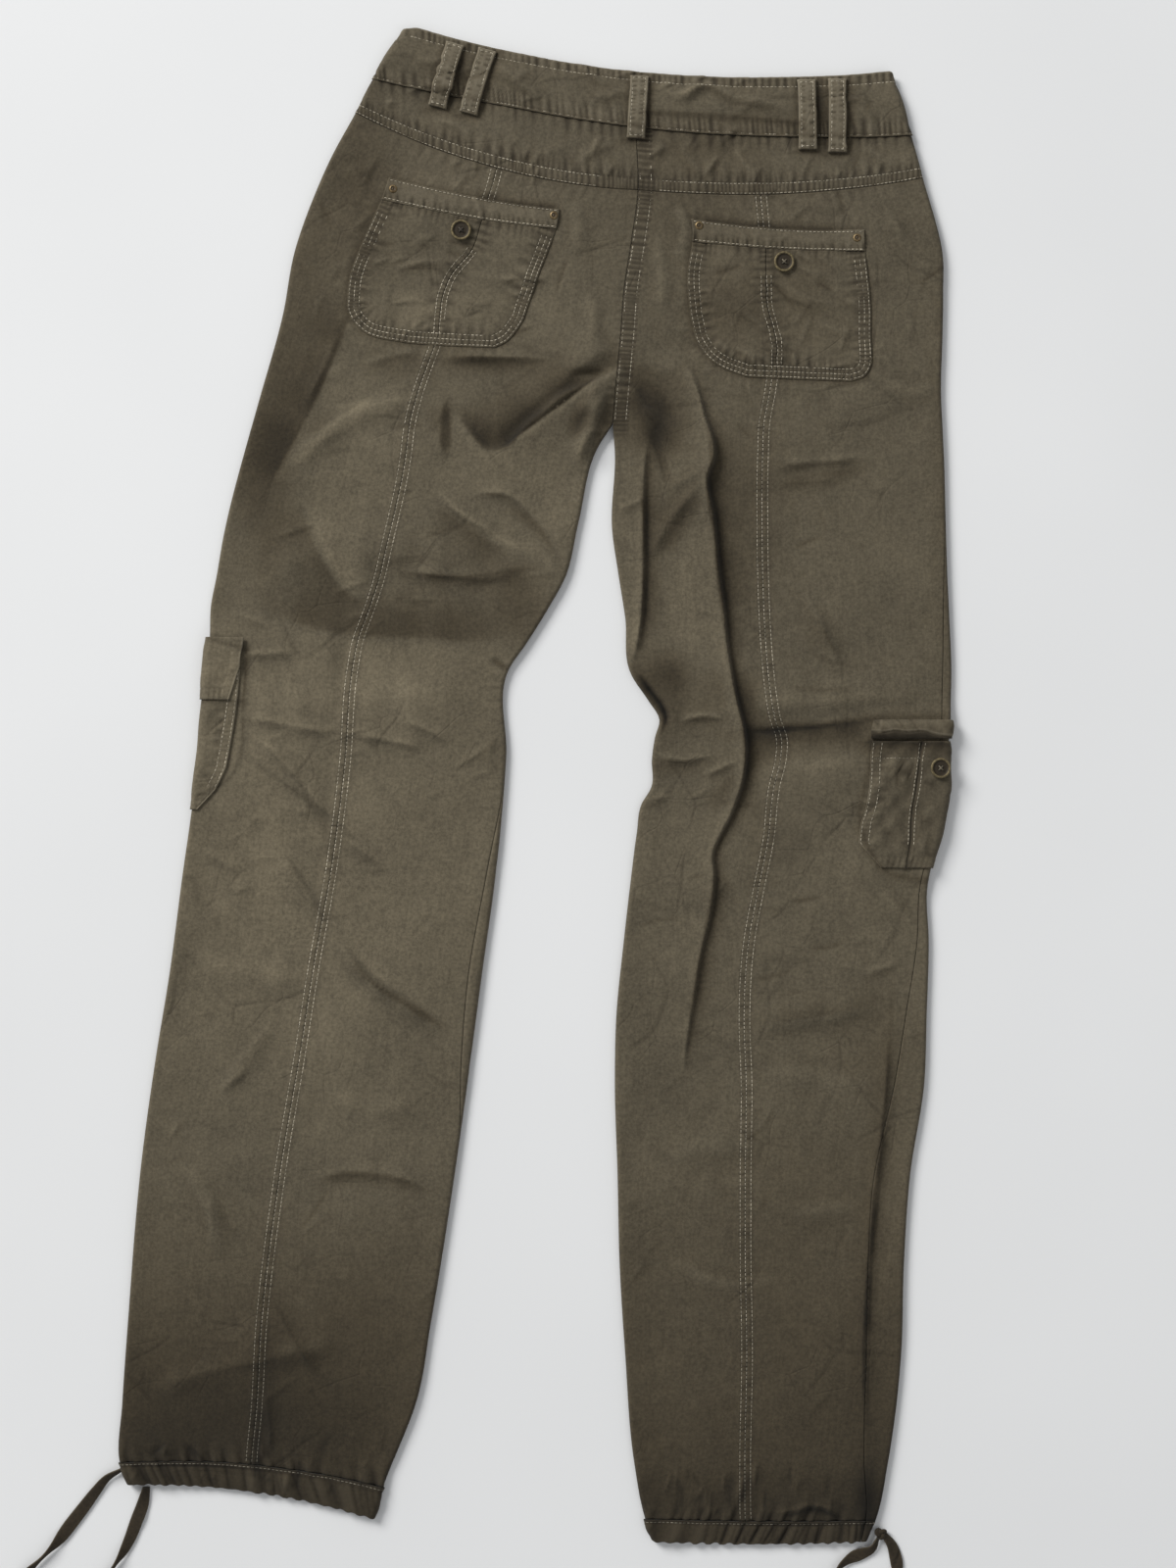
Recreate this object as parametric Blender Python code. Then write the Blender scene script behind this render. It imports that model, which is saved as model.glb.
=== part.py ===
"""Straight-leg cotton cargo trousers, laid flat on their front with the back up.

Each half of the garment is a flattened tube of cloth, worked out from a table of sections that
runs from the waist's top edge to the hem. A place on it is "down" (millimetres from the waist)
and "around" (millimetres of cloth from the fold at the side: positive over the back, negative
under the front). Panels are walls cut from that tube, a small gap apart at their seams, and
pockets, loops and buttons are the same points moved out.

X runs to the wearer's right, Y to the waist and Z up from the surface that the trousers lie on.
"""

import math

import bmesh
import bpy
import numpy as np

MM = 0.001

# Cloth
CLOTH = 1.2  # wall of one layer
BAND = 2.0  # waistband and hem casings, folded double
GAP = 0.3  # between two pieces at a seam
OVER_GAP = 0.5  # under a pocket or flap that lies on a panel
LAID_HEIGHT = 3.9  # outside of the back layer above the surface, in the legs
SEAT_EXTRA = 0.9  # more height where the seat and waist have more layers
EDGE_PUFF = 1.4  # more height near a fold that isn't pressed
PUFF_REACH = 14.0
LEAST_HEIGHT = 3.1
ROLL = 3.0  # half width of the fold at the side of a leg
HALF_EDGE = 2.6  # height of the middle of that fold
ROLL_ARC = math.pi / 2 * math.sqrt((ROLL**2 + HALF_EDGE**2) / 2)

# Places down the garment
BAND_SEAM = 41.0
YOKE_SEAM = 80.0
CROTCH = 260.0
LEFT_CASING, LEFT_HEM = 1018.0, 1042.0
RIGHT_CASING, RIGHT_HEM = 1055.0, 1071.0

BAND_PROUD = 0.8  # how far the waistband and casings stand out of the panels
POCKET_BAND = 1.7  # wall of the folded band along a back pocket's opening

# Fly on the front
FLY_WIDTH = 36.0
FLY_STRAIGHT = 170.0
FLY_END = 206.0

# Small pieces
LOOP_WIDTH = 13.0
LOOP_WALL = 1.5
LOOP_BOW = 1.4
BUTTON_RADIUS = 7.5
BUTTON_WALL = 2.6
BUTTON_HOLE = 0.9
CARGO_BUTTON_RISE = 0.9  # it lies across the curve at the side of the leg
RIVET_RADIUS = 2.9
TIE_RADIUS = 2.6
KNOT_RADIUS = 4.4
TIE_CLEAR = 0.15  # between a drawcord end and the surface under it

# Sections of the two halves. Columns: down, x and y of the side fold, x and y of the centre
# seam or inner fold, how far the section bows towards the hem, x of the seam down the middle
# of the leg, and how far the side seam and the inseam lie round onto the back.
LEFT_SECTIONS = (
    (0, -97, 552, 70.5, 518, 4.3, -13, 0, 0),
    (41, -122, 512.5, 70, 477, 2.1, -26, 0, 0),
    (80, -134.5, 488, 71.5, 432, 12.1, -31.3, 0, 0),
    (115, -155.5, 448.5, 67, 396.5, 10, -42.7, 0, 0),
    (155, -178, 389.5, 61.5, 360.5, 7.1, -63, 0, 0),
    (190, -187, 342, 59, 328.5, 5, -72.4, 0, 0),
    (238, -203.5, 282.5, 55, 285.5, 2.1, -89.5, 0, 0),
    (260, -210, 259.5, 53, 262, 0, -94.7, 0, 0),
    (280, -217, 234.5, 42, 244.5, 0, -97.3, 0, 0),
    (335, -230, 182, 28, 190, 0, -108.2, 0, 0),
    (370, -235.5, 150.5, 18.5, 150.5, 0, -116.4, 0, 0),
    (392, -239.5, 129.5, 6.5, 128.5, 0, -123.4, 0, 0),
    (418, -240, 104.5, -10, 102, 0, -132.6, 0, 0),
    (437, -242, 84.5, -22, 84.5, 0, -136.1, 0, 0),
    (500, -248, 20, -24.5, 20, 0, -141.2, 0, 0),
    (585, -260, -65, -32, -65, 0, -152.2, 0, 8),
    (657, -269.5, -137, -42, -137, 0, -165.1, 0, 11),
    (721, -280, -201.5, -50.5, -201.5, 0, -175.3, 0, 8),
    (790, -289.5, -270, -60, -270, 0, -186.9, 0, 0),
    (913, -300, -393, -79.5, -393, 0, -202.4, 0, 0),
    (970, -304, -450, -90.5, -451.5, 0, -205.8, 0, 0),
    (1018, -306, -493.5, -114, -511.5, -7.1, -210, 0, 0),
    (1042, -300, -509.5, -120.5, -534.5, -7.1, -210.5, 0, 0),
)
RIGHT_SECTIONS = (
    (0, 255.5, 518, 70.5, 518, 4.3, 151.9, 0, 0),
    (41, 270.5, 471.5, 70, 477, 3.6, 156.2, 0, 0),
    (80, 279, 440.5, 71.5, 432, 7.1, 160.7, 0, 0),
    (115, 292, 393, 67, 396.5, 5.7, 164.2, 0, 0),
    (155, 293.5, 357, 61.5, 360.5, 4.3, 165.4, 0, 0),
    (190, 293, 325, 59, 328.5, 2.9, 170.6, 0, 0),
    (238, 292, 282, 55, 285.5, 0, 167.3, 0, 0),
    (260, 293, 260.5, 53, 262, 0, 163.2, 0, 0),
    (280, 294, 240.5, 54.5, 241.5, 0, 162.3, 0, 0),
    (335, 295.5, 185.5, 52.5, 185.5, 0, 161.9, 2, 0),
    (367, 296.5, 153.5, 57, 153.5, 0, 162.4, 4, 0),
    (399, 298, 121.5, 62, 121.5, 0, 163.5, 6, 0),
    (442, 299.5, 78.5, 67, 78.5, 0, 166.5, 8, 0),
    (460, 299, 60.5, 79, 60.5, 0, 168.6, 8, 0),
    (474, 298.5, 46.5, 87, 46.5, 0, 171.5, 8, 0),
    (485, 297.5, 35, 84, 35, 0, 175.5, 8, 0),
    (503, 297, 18, 81.5, 18, 0, 175.2, 8, 0),
    (523, 297, -2.5, 81, -2.5, 0, 170.3, 8, 0),
    (535, 295.5, -14.5, 74, -14.5, 0, 168.8, 8, 0),
    (556, 291, -35.5, 70.5, -35.5, 0, 167, 7, 0),
    (595, 282, -75, 65.5, -75, 0, 159.5, 7, 0),
    (635, 283, -114.5, 61, -114.5, 0, 152.2, 10, 0),
    (691, 281.5, -170.5, 55.5, -170.5, 0, 148.8, 17, 0),
    (735, 280, -215.5, 54.5, -215.5, 0, 150.3, 23, 0),
    (805, 269.5, -285, 56.5, -285, 0, 149.6, 28, 0),
    (870, 265, -350, 58, -350, 0, 149.7, 28, 0),
    (935, 263, -414.5, 62, -414.5, 0, 150.8, 27, 0),
    (1013, 253.5, -493, 68.5, -493, 0, 149.3, 19, 0),
    (1055, 244.5, -535.5, 76.5, -534.5, 1.4, 149.7, 9, 0),
    (1071, 238, -551, 82, -551, 2.1, 150.6, 6, 0),
)

# Rows that a leg's panels have, besides even ones between: along the curve of the fly, at the
# crotch, at the cargo pockets and, on the right leg, through the folds at the knee.
ROW_STEP = 60
SEAT_STOPS = (120, 170, 190, 204.6, 225, 260)
LEFT_STOPS = (
    *SEAT_STOPS, 280, 307, 335, 370, 398, 415, 437, 461, 476, 508, 540, 556, 610, 657,
)
RIGHT_STOPS = (
    *SEAT_STOPS, 280, 310, 335, 367, 399, 425, 442, 460, 474, 488, 500, 512, 525, 538, 556,
    584, 600, 617, 635, 663, 691, 735,
)

# The largest folds of the back. Columns: height of the crest (negative for a trough), reach to
# the left and to the right of someone walking along it, and its path on the garment.
FOLDS = (
    # inner thigh of the right leg, from the seat past the knee
    (11, 4.5, 17, ((112, 292), (125, 236), (122, 222), (129, 159), (136, 98), (144, 54))),
    (14, 5, 20, ((140, 75), (148, 38), (148.5, 20), (146, 0), (138, -23), (123, -56))),
    (8, 5, 18, ((132, -40), (124, -60), (127.5, -72), (117, -121), (106, -190))),
    (7, 7, 8, ((77, 240), (76, 189), (76, 148), (74, 114), (69, 80))),
    (-4, 5, 9, ((77, 72), (92, 46), (87, 30))),
    (6, 8, 6, ((95, 72), (104, 46), (132, 46))),
    (5, 7, 6, ((86, 20), (104, 17), (128, 21))),
    (4, 9, 5, ((76, -12), (95, -10))),
    (-1.6, 9, 9, ((152, 39), (178, 39), (234, 46))),
    # the waistband gapes to the right of the centre
    (3.5, 6, 5, ((80, 509), (101, 499), (121, 507), (138, 499), (184, 489))),
    # seat and thighs, drawn towards the crotch
    (4, 6, 9, ((49, 296), (14, 279), (-24, 252), (-60, 240))),
    (-1.6, 8, 8, ((46, 305), (-30, 267), (-62, 268))),
    (2.6, 7, 10, ((88, 262), (95, 232), (118, 212))),
    (2.2, 8, 5, ((-73, 212), (-60, 197), (-33, 182))),
    (-1.2, 9, 9, ((-100, 155), (-46, 149), (-10, 155))),
    (2, 5, 12, ((-216, 44), (-184, 5), (-152, -27))),
    (2.6, 5, 12, ((-147, -114), (-115, -150), (-88, -167), (-64, -183))),
    # outer calf of the right leg, a pleat beside the side seam
    (4, 5, 6, ((256, -150), (251, -226), (245, -285), (238, -354), (235, -414), (238, -505))),
)

FOLD_FADE = (-0.08, 0.25)  # shares of a fold's length over which each end rises

# Cargo pockets and their flaps lie partly under the leg and lift it. Columns: down, and layers
# under the leg there; the reach is how far they go under the front.
LEFT_PAD = ((398, 0), (415, 2), (461, 2), (476, 1), (540, 1), (556, 0))
LEFT_PAD_REACH = 86
RIGHT_PAD = ((460, 0), (474, 2), (488, 2), (500, 1), (584, 1), (600, 0))
RIGHT_PAD_REACH = 52
PAD_SLOPE = 16
PAD_LAYER = OVER_GAP + CLOTH + 0.05

# Back pockets, a row for each line across. Columns: x and y at the left and at the right, how
# far the line bows towards the hem, and where the pocket's own seam crosses it (0 to 1).
LEFT_POCKET = (
    (-111.4, 440.7, 12.1, 417.9, 2.5, 0.58),
    (-116.4, 424.3, 10, 403.5, 2.5, 0.57),
    (-127.9, 397.9, 3.2, 383.6, 1, 0.59),
    (-137.9, 372.1, -1.4, 370.7, 0, 0.54),
    (-140.3, 352.1, -5, 358.6, 0, 0.514),
    (-139.3, 342.1, -9.3, 346.4, 0, 0.514),
    (-132.9, 332.9, -13.2, 335.7, 0, 0.497),
    (-121.4, 325.7, -22.9, 322.9, 1, 0.475),
    (-95, 320.7, -33, 317.1, 0.5, 0.33),
)
RIGHT_POCKET = (
    (110, 410.7, 235.7, 402.9, 3, 0.43),
    (110.7, 394, 236.4, 387.1, 2, 0.426),
    (107.1, 370.7, 238.6, 370.7, 1, 0.435),
    (108.6, 345.7, 240.7, 348.6, 0, 0.43),
    (110.7, 334.3, 240.7, 325.7, 0, 0.456),
    (113.9, 322.1, 241.4, 312.9, 0, 0.457),
    (122.1, 310, 240.7, 303.6, 0, 0.42),
    (133.6, 302.1, 235.7, 296.1, 0.5, 0.378),
    (150, 296.1, 226.4, 292.9, 0, 0.29),
)

# Cargo pockets and flaps. Columns: down, and around at the edge on the back, at the pocket's own
# seam where it has one, and at the edge under the front.
LEFT_CARGO_POCKET = (
    (438, 26, -80),
    (461, 26, -80),
    (476, 25, -81),
    (508, 22.5, -82),
    (524, 17, -76),
    (538.5, 5.5, -64),
)
LEFT_CARGO_FLAP = ((416, 27, -81), (437, 25.5, -82), (459.5, 20, -82))
RIGHT_CARGO_FLAP = ((474, 57, -48), (478, 57, -48), (482.5, 57.5, -48), (487, 57.5, -48))
FLAP_ROLL = (1.4, 3.6, 3.6, 1.8)  # how far the right flap, rolled up, stands out at each row
FLAP_TAPER = (1, 1, 1, 1, 1, 1, 1, 0.8, 0.6, 0.4, 0.1, 0, 0, 0, 0)  # and from back to front
RIGHT_CARGO_POCKET = (
    (489, 57, 21, -46),
    (500, 58, 22.5, -46),
    (519, 59, 25, -46),
    (538, 59.5, 26, -46),
    (549, 60.5, 24.5, -46),
    (563, 59, 21.5, -42),
    (581, 38, 20, -36),
)

# Belt loops: x and y of the middle of the upper and the lower end.
BELT_LOOPS = (
    (-62, 538, -75, 492),
    (-38.6, 533.5, -52.5, 487),
    (72.5, 514.5, 69.6, 469),
    (193.6, 511.5, 194.5, 461),
    (216.1, 512.5, 216.1, 459),
)

BUTTONS = (("back_pocket_button_left", -59.3, 402.5), ("back_pocket_button_right", 177.1, 379.3))
RIVETS = ((-108.3, 432.1), (7.9, 413.2), (115.7, 405.7), (230.4, 396.7))
CARGO_BUTTON = (290, 11.5)

# Drawcord ends, as points along each on the surface, from the casing to the free end.
TIES = {
    "tie_left_outer": (
        (-309.5, -502), (-315.5, -505.5), (-323, -514.5), (-332, -526.5), (-342, -539.5),
        (-351.5, -552), (-361, -562), (-371, -571.5), (-381, -584), (-386, -598),
    ),
    "tie_left_inner": (
        (-287.3, -515.5), (-289.3, -524.3), (-294.3, -537.9), (-298.6, -549.3), (-304.3, -560.7),
        (-311.4, -571.4), (-319, -584), (-323, -600),
    ),
    "tie_right_inner": (
        (245.2, -550.4), (242, -556.8), (234, -560.8), (225, -564.5), (217, -571.5), (213, -584),
        (207, -597),
    ),
    "tie_right_outer": (
        (252, -548.4), (255.8, -553.6), (259, -563), (260.5, -573), (261, -588), (266, -603),
    ),
}
KNOT_AT = (248, -545.4)

COLOURS = {
    "cloth": (0.16, 0.137, 0.094),
    "seam_cloth": (0.17, 0.146, 0.102),
    "tape": (0.13, 0.11, 0.075),
    "button": (0.075, 0.055, 0.035),
    "brass": (0.42, 0.30, 0.14),
}


def smooth(stations, values, at):
    """A cubic through the rows, whose slope at a row is that of its two neighbours."""
    slopes = np.gradient(values, stations)
    row = np.clip(np.searchsorted(stations, at, side="right") - 1, 0, len(stations) - 2)
    step = stations[row + 1] - stations[row]
    u = (at - stations[row]) / step
    start = (1 + 2 * u) * (1 - u) ** 2 * values[row] + u * (1 - u) ** 2 * step * slopes[row]
    end = u**2 * (3 - 2 * u) * values[row + 1] + u**2 * (u - 1) * step * slopes[row + 1]
    return start + end


def ease(value, start, end):
    """0 before start, 1 past end, and a soft S between."""
    u = np.clip((value - start) / (end - start), 0, 1)
    return u * u * (3 - 2 * u)


def fold_height(x, y, height, left, right, path):
    """A ridge along a path: a bell across it, broader on one side, that fades to both ends."""
    points = np.array(path, float)
    starts = points[:-1]
    runs = points[1:] - starts
    lengths = np.hypot(runs[:, 0], runs[:, 1])
    travelled = np.concatenate([[0], np.cumsum(lengths)])
    nearest = np.full(np.shape(x), 1e9)
    side = np.zeros(np.shape(x))
    along = np.zeros(np.shape(x))
    for start, run, length, before in zip(starts, runs, lengths, travelled):
        dx = x - start[0]
        dy = y - start[1]
        u = np.clip((dx * run[0] + dy * run[1]) / length**2, 0, 1)
        distance = np.hypot(dx - u * run[0], dy - u * run[1])
        closer = distance < nearest
        nearest = np.where(closer, distance, nearest)
        side = np.where(closer, run[0] * dy - run[1] * dx, side)
        along = np.where(closer, (before + u * length) / travelled[-1], along)
    reach = np.where(side > 0, left, right)
    fade = ease(along, *FOLD_FADE) * ease(1 - along, *FOLD_FADE)
    return height * np.exp(-((nearest / reach) ** 2)) * fade


def closed_at(down):
    """0 above the crotch, where the halves join at the centre seams, and 1 where the leg is a tube."""
    return ease(down, CROTCH, CROTCH + 16)


class Half:
    """One half of the garment, from its table of sections."""

    def __init__(self, sections, pad, reach):
        self.rows = np.array(sections, float)
        self.pad = np.array(pad, float)
        self.reach = reach
        self.side_columns = 3 if self.rows[:, 7].max() == 0 else 7
        self.inner_columns = 3 if self.rows[:, 8].max() == 0 else 6

    def column(self, number, down):
        return smooth(self.rows[:, 0], self.rows[:, number], down)

    def inner_column(self, number, down):
        """The centre seam and the inner fold are two curves that meet at the crotch."""
        seat = self.rows[self.rows[:, 0] <= CROTCH]
        leg = self.rows[self.rows[:, 0] >= CROTCH]
        above = smooth(seat[:, 0], seat[:, number], np.minimum(down, CROTCH))
        below = smooth(leg[:, 0], leg[:, number], np.maximum(down, CROTCH))
        return np.where(down < CROTCH, above, below)

    def line(self, down):
        """Both ends of the section at this place, and its width."""
        outer = np.stack([self.column(1, down), self.column(2, down)], -1)
        inner = np.stack([self.inner_column(3, down), self.inner_column(4, down)], -1)
        span = inner - outer
        return outer, span, np.hypot(span[..., 0], span[..., 1])

    def girth(self, down):
        """Millimetres of cloth from the side fold over the back to the inner edge."""
        return self.line(down)[2] + (1 + closed_at(down)) * (ROLL_ARC - ROLL)

    def seam_around(self, down):
        """Where the seam down the middle of the leg is, in millimetres around."""
        outer, span, width = self.line(down)
        share = (self.column(6, down) - outer[..., 0]) / span[..., 0]
        return share * width + ROLL_ARC - ROLL

    def lift(self, down, lap):
        """How far the cargo pocket under the leg raises it."""
        layers = np.interp(down, self.pad[:, 0], self.pad[:, 1])
        return PAD_LAYER * layers * np.interp(lap, (self.reach, self.reach + PAD_SLOPE), (1, 0))

    def height(self, x, y, down, across, width, closed):
        puff = np.exp(-((across / PUFF_REACH) ** 2))
        puff = puff + closed * np.exp(-(((width - across) / PUFF_REACH) ** 2))
        high = LAID_HEIGHT + SEAT_EXTRA * (1 - ease(down, 60, 420)) + EDGE_PUFF * puff
        from_edge = np.where(closed > 0.5, np.minimum(across, width - across), across)
        level = 0.15 + 0.85 * ease(from_edge, 0, PUFF_REACH)
        for fold in FOLDS:
            high = high + level * fold_height(x, y, *fold)
        return LEAST_HEIGHT + np.logaddexp(0, 3 * (high - LEAST_HEIGHT)) / 3

    def place(self, down, around):
        """The point on the outside of the cloth at this place, in millimetres."""
        down, around = np.broadcast_arrays(np.asarray(down, float), np.asarray(around, float))
        outer, span, width = self.line(down)
        closed = closed_at(down)
        girth = width + (1 + closed) * (ROLL_ARC - ROLL)
        lap = np.abs(around)
        past = (lap > girth) & (closed > 0.5)
        lap = np.where(past, 2 * girth - lap, lap)
        upper = (around >= 0) != past
        side_angle = np.clip(lap / ROLL_ARC, 0, 1) * math.pi / 2
        inner_arc = np.maximum(closed * ROLL_ARC, 1e-6)
        inner_angle = np.clip((girth - lap) / inner_arc, 0, 1) * math.pi / 2
        turning = (girth - lap < inner_arc) & (closed > 0)
        across = lap - (ROLL_ARC - ROLL)
        across = np.where(lap < ROLL_ARC, ROLL * (1 - np.cos(side_angle)), across)
        across = np.where(turning, width - closed * ROLL * (1 - np.cos(inner_angle)), across)
        rise = np.sin(side_angle) * (1 - closed * (1 - np.sin(inner_angle)))
        share = across / width
        x = outer[..., 0] + span[..., 0] * share
        y = outer[..., 1] + span[..., 1] * share - self.column(5, down) * 4 * share * (1 - share)
        low = self.lift(down, lap)
        high = low + self.height(x, y, down, across, width, closed)
        middle = low + HALF_EDGE
        z = np.where(upper, middle + (high - middle) * rise, middle + (low - middle) * rise)
        return np.stack([x, y, z], -1)

    def out(self, down, around):
        """The direction out of the cloth at this place."""
        step_down = self.place(down + 0.5, around) - self.place(down - 0.5, around)
        step_around = self.place(down, around + 0.3) - self.place(down, around - 0.3)
        sign = -1 if self.rows[0, 1] < self.rows[0, 3] else 1
        normal = sign * np.cross(step_around, step_down)
        return normal / np.linalg.norm(normal, axis=-1, keepdims=True)

    def find(self, x, y):
        """Down and around, on the back, of a place given by x and y."""
        down = np.interp(-np.asarray(y, float), -self.rows[:, 4], self.rows[:, 0])
        for _ in range(14):
            outer, span, width = self.line(down)
            share = (x - outer[..., 0]) * span[..., 0] + (y - outer[..., 1]) * span[..., 1]
            share = share / width**2
            share = np.clip(share, 0, 1)
            level = outer[..., 1] + span[..., 1] * share
            level = level - self.column(5, down) * 4 * share * (1 - share)
            down = np.clip(down + 0.9 * (level - y), 0, self.rows[-1, 0])
        return down, share * width + ROLL_ARC - ROLL


LEFT = Half(LEFT_SECTIONS, LEFT_PAD, LEFT_PAD_REACH)
RIGHT = Half(RIGHT_SECTIONS, RIGHT_PAD, RIGHT_PAD_REACH)


def skin_at(x, y):
    """Points on the back's outside and the directions out, for places given by x and y."""
    x, y = np.broadcast_arrays(np.asarray(x, float), np.asarray(y, float))
    down, around = LEFT.find(x, y)
    points, normals = LEFT.place(down, around), LEFT.out(down, around)
    down, around = RIGHT.find(x, y)
    on_right = (x > np.interp(-y, -LEFT.rows[:8, 4], LEFT.rows[:8, 3]))[..., None]
    points = np.where(on_right, RIGHT.place(down, around), points)
    normals = np.where(on_right, RIGHT.out(down, around), normals)
    return points, normals


def material(slot):
    made = bpy.data.materials.get(slot) or bpy.data.materials.new(slot)
    made.use_nodes = True
    shader = made.node_tree.nodes["Principled BSDF"]
    shader.inputs["Base Color"].default_value = (*COLOURS[slot], 1)
    shader.inputs["Roughness"].default_value = {"button": 0.4, "brass": 0.35}.get(slot, 0.9)
    shader.inputs["Metallic"].default_value = 1.0 if slot == "brass" else 0.0
    made.diffuse_color = (*COLOURS[slot], 1)
    return made


def add_object(name, verts, faces, slot):
    """A closed mesh from points in millimetres, with its faces pointing out."""
    mesh = bpy.data.meshes.new(name)
    mesh.from_pydata([tuple(point) for point in np.asarray(verts) * MM], [], faces)
    work = bmesh.new()
    work.from_mesh(mesh)
    if work.calc_volume(signed=True) < 0:
        bmesh.ops.reverse_faces(work, faces=work.faces)
    work.to_mesh(mesh)
    work.free()
    mesh.materials.append(material(slot))
    made = bpy.data.objects.new(name, mesh)
    bpy.context.collection.objects.link(made)
    return made


def wall(name, outside, inside, slot="cloth"):
    """The closed wall between two grids of points of the same size, split alike on both sides."""
    rows, columns = outside.shape[:2]
    count = rows * columns
    number = np.arange(count).reshape(rows, columns)
    falling = np.linalg.norm(outside[1:, 1:] - outside[:-1, :-1], axis=-1)
    rising = np.linalg.norm(outside[1:, :-1] - outside[:-1, 1:], axis=-1)
    faces = []
    for i in range(rows - 1):
        for j in range(columns - 1):
            a, b, c, d = (int(n) for n in number[i : i + 2, j : j + 2].ravel())
            split = ((a, b, d), (a, d, c)) if falling[i, j] < rising[i, j] else ((a, b, c), (b, d, c))
            for face in split:
                faces.append(face)
                faces.append(tuple(n + count for n in reversed(face)))
    rim = [*number[0, :-1], *number[:-1, -1], *number[-1, :0:-1], *number[:0:-1, 0]]
    for a, b in zip(rim, rim[1:] + rim[:1]):
        faces.append((int(a), int(a) + count, int(b) + count, int(b)))
    verts = np.concatenate([outside.reshape(-1, 3), inside.reshape(-1, 3)])
    return add_object(name, verts, faces, slot)


def spread(start, end, shares):
    """Columns between two edges that change down the garment."""
    start = np.asarray(start, float)[:, None]
    end = np.asarray(end, float)[:, None]
    return start + (end - start) * np.asarray(shares)[None, :]


def rows_through(stops, step):
    """Rows through every stop, with even ones between where two stops are far apart."""
    rows = [stops[0]]
    for stop in stops[1:]:
        count = math.ceil((stop - rows[-1]) / step - 0.01)
        rows.extend(np.linspace(rows[-1], stop, count + 1)[1:])
    return np.array(rows)


def inset(rows):
    """The same rows, with half a gap kept at both ends."""
    return np.array([rows[0] + GAP / 2, *rows[1:-1], rows[-1] - GAP / 2])


def back_fold(turn):
    """Columns of a back panel, from its seam over the fold to where the cloth lies level."""
    third = ROLL_ARC / 3
    columns = [turn + GAP / 2]
    columns += [np.maximum(third * k, turn + 1.2 * k) for k in (1, 2, 3)]
    return np.stack(columns, -1)


def front_fold(turn, count):
    """Columns of a front panel, from where it lies level round the fold to its seam."""
    return spread(0 * turn - ROLL_ARC, turn - GAP / 2, np.linspace(0, 1, count))


def panel(name, half, downs, around, thickness=CLOTH, proud=0.0, slot="cloth"):
    """A panel of the tube over a grid. A proud panel stands that far out of the tube."""
    down = np.broadcast_to(np.asarray(downs, float)[:, None], around.shape)
    skin, out = half.place(down, around), half.out(down, around)
    return wall(name, skin + out * proud, skin + out * (proud - thickness), slot)


def back_half(half, downs, count):
    """Columns from the side fold to the centre seam, above the crotch."""
    fold = back_fold(0 * downs)
    level = spread(fold[:, -1], half.girth(downs) - GAP / 2, np.linspace(0, 1, count)[1:])
    return np.concatenate([fold, level], 1)


def front_leg(half, downs, fly=None):
    """Columns of the front, from its side seam under the leg to its inseam or the fly."""
    side = front_fold(half.column(7, downs), half.side_columns)[:, ::-1]
    level = np.broadcast_to([-half.reach, -half.reach - PAD_SLOPE], (len(downs), 2))
    girth = half.girth(downs)
    inner = -girth[:, None] - front_fold(half.column(8, downs), half.inner_columns)
    if fly is not None:
        above = downs < FLY_END
        inner = np.where(above[:, None], inner + (fly + GAP)[:, None], inner)
    return np.concatenate([side, level, inner], 1)


def build_waist():
    downs = inset(rows_through((0, BAND_SEAM), 14))
    left = back_half(LEFT, downs, 9)
    left[:, -1] = LEFT.girth(downs)
    right = back_half(RIGHT, downs, 11)[:, -2::-1]
    down_left = np.broadcast_to(downs[:, None], left.shape)
    down_right = np.broadcast_to(downs[:, None], right.shape)
    skin = np.concatenate([LEFT.place(down_left, left), RIGHT.place(down_right, right)], 1)
    out = np.concatenate([LEFT.out(down_left, left), RIGHT.out(down_right, right)], 1)
    wall("waistband_back", skin + out * BAND_PROUD, skin + out * (BAND_PROUD - BAND), "seam_cloth")
    for side, half in (("left", LEFT), ("right", RIGHT)):
        panel(f"waistband_front_{side}", half, downs, front_leg(half, downs), slot="seam_cloth")
        yoke = inset(rows_through((BAND_SEAM, YOKE_SEAM), 14))
        panel(f"back_yoke_{side}", half, yoke, back_half(half, yoke, 7))


def fly_edge(down):
    """Width of the fly: straight, then a curve in to the centre front."""
    u = np.clip((down - FLY_STRAIGHT) / (FLY_END - FLY_STRAIGHT), 0, 1)
    return FLY_WIDTH * np.sqrt(1 - u**2)


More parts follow.
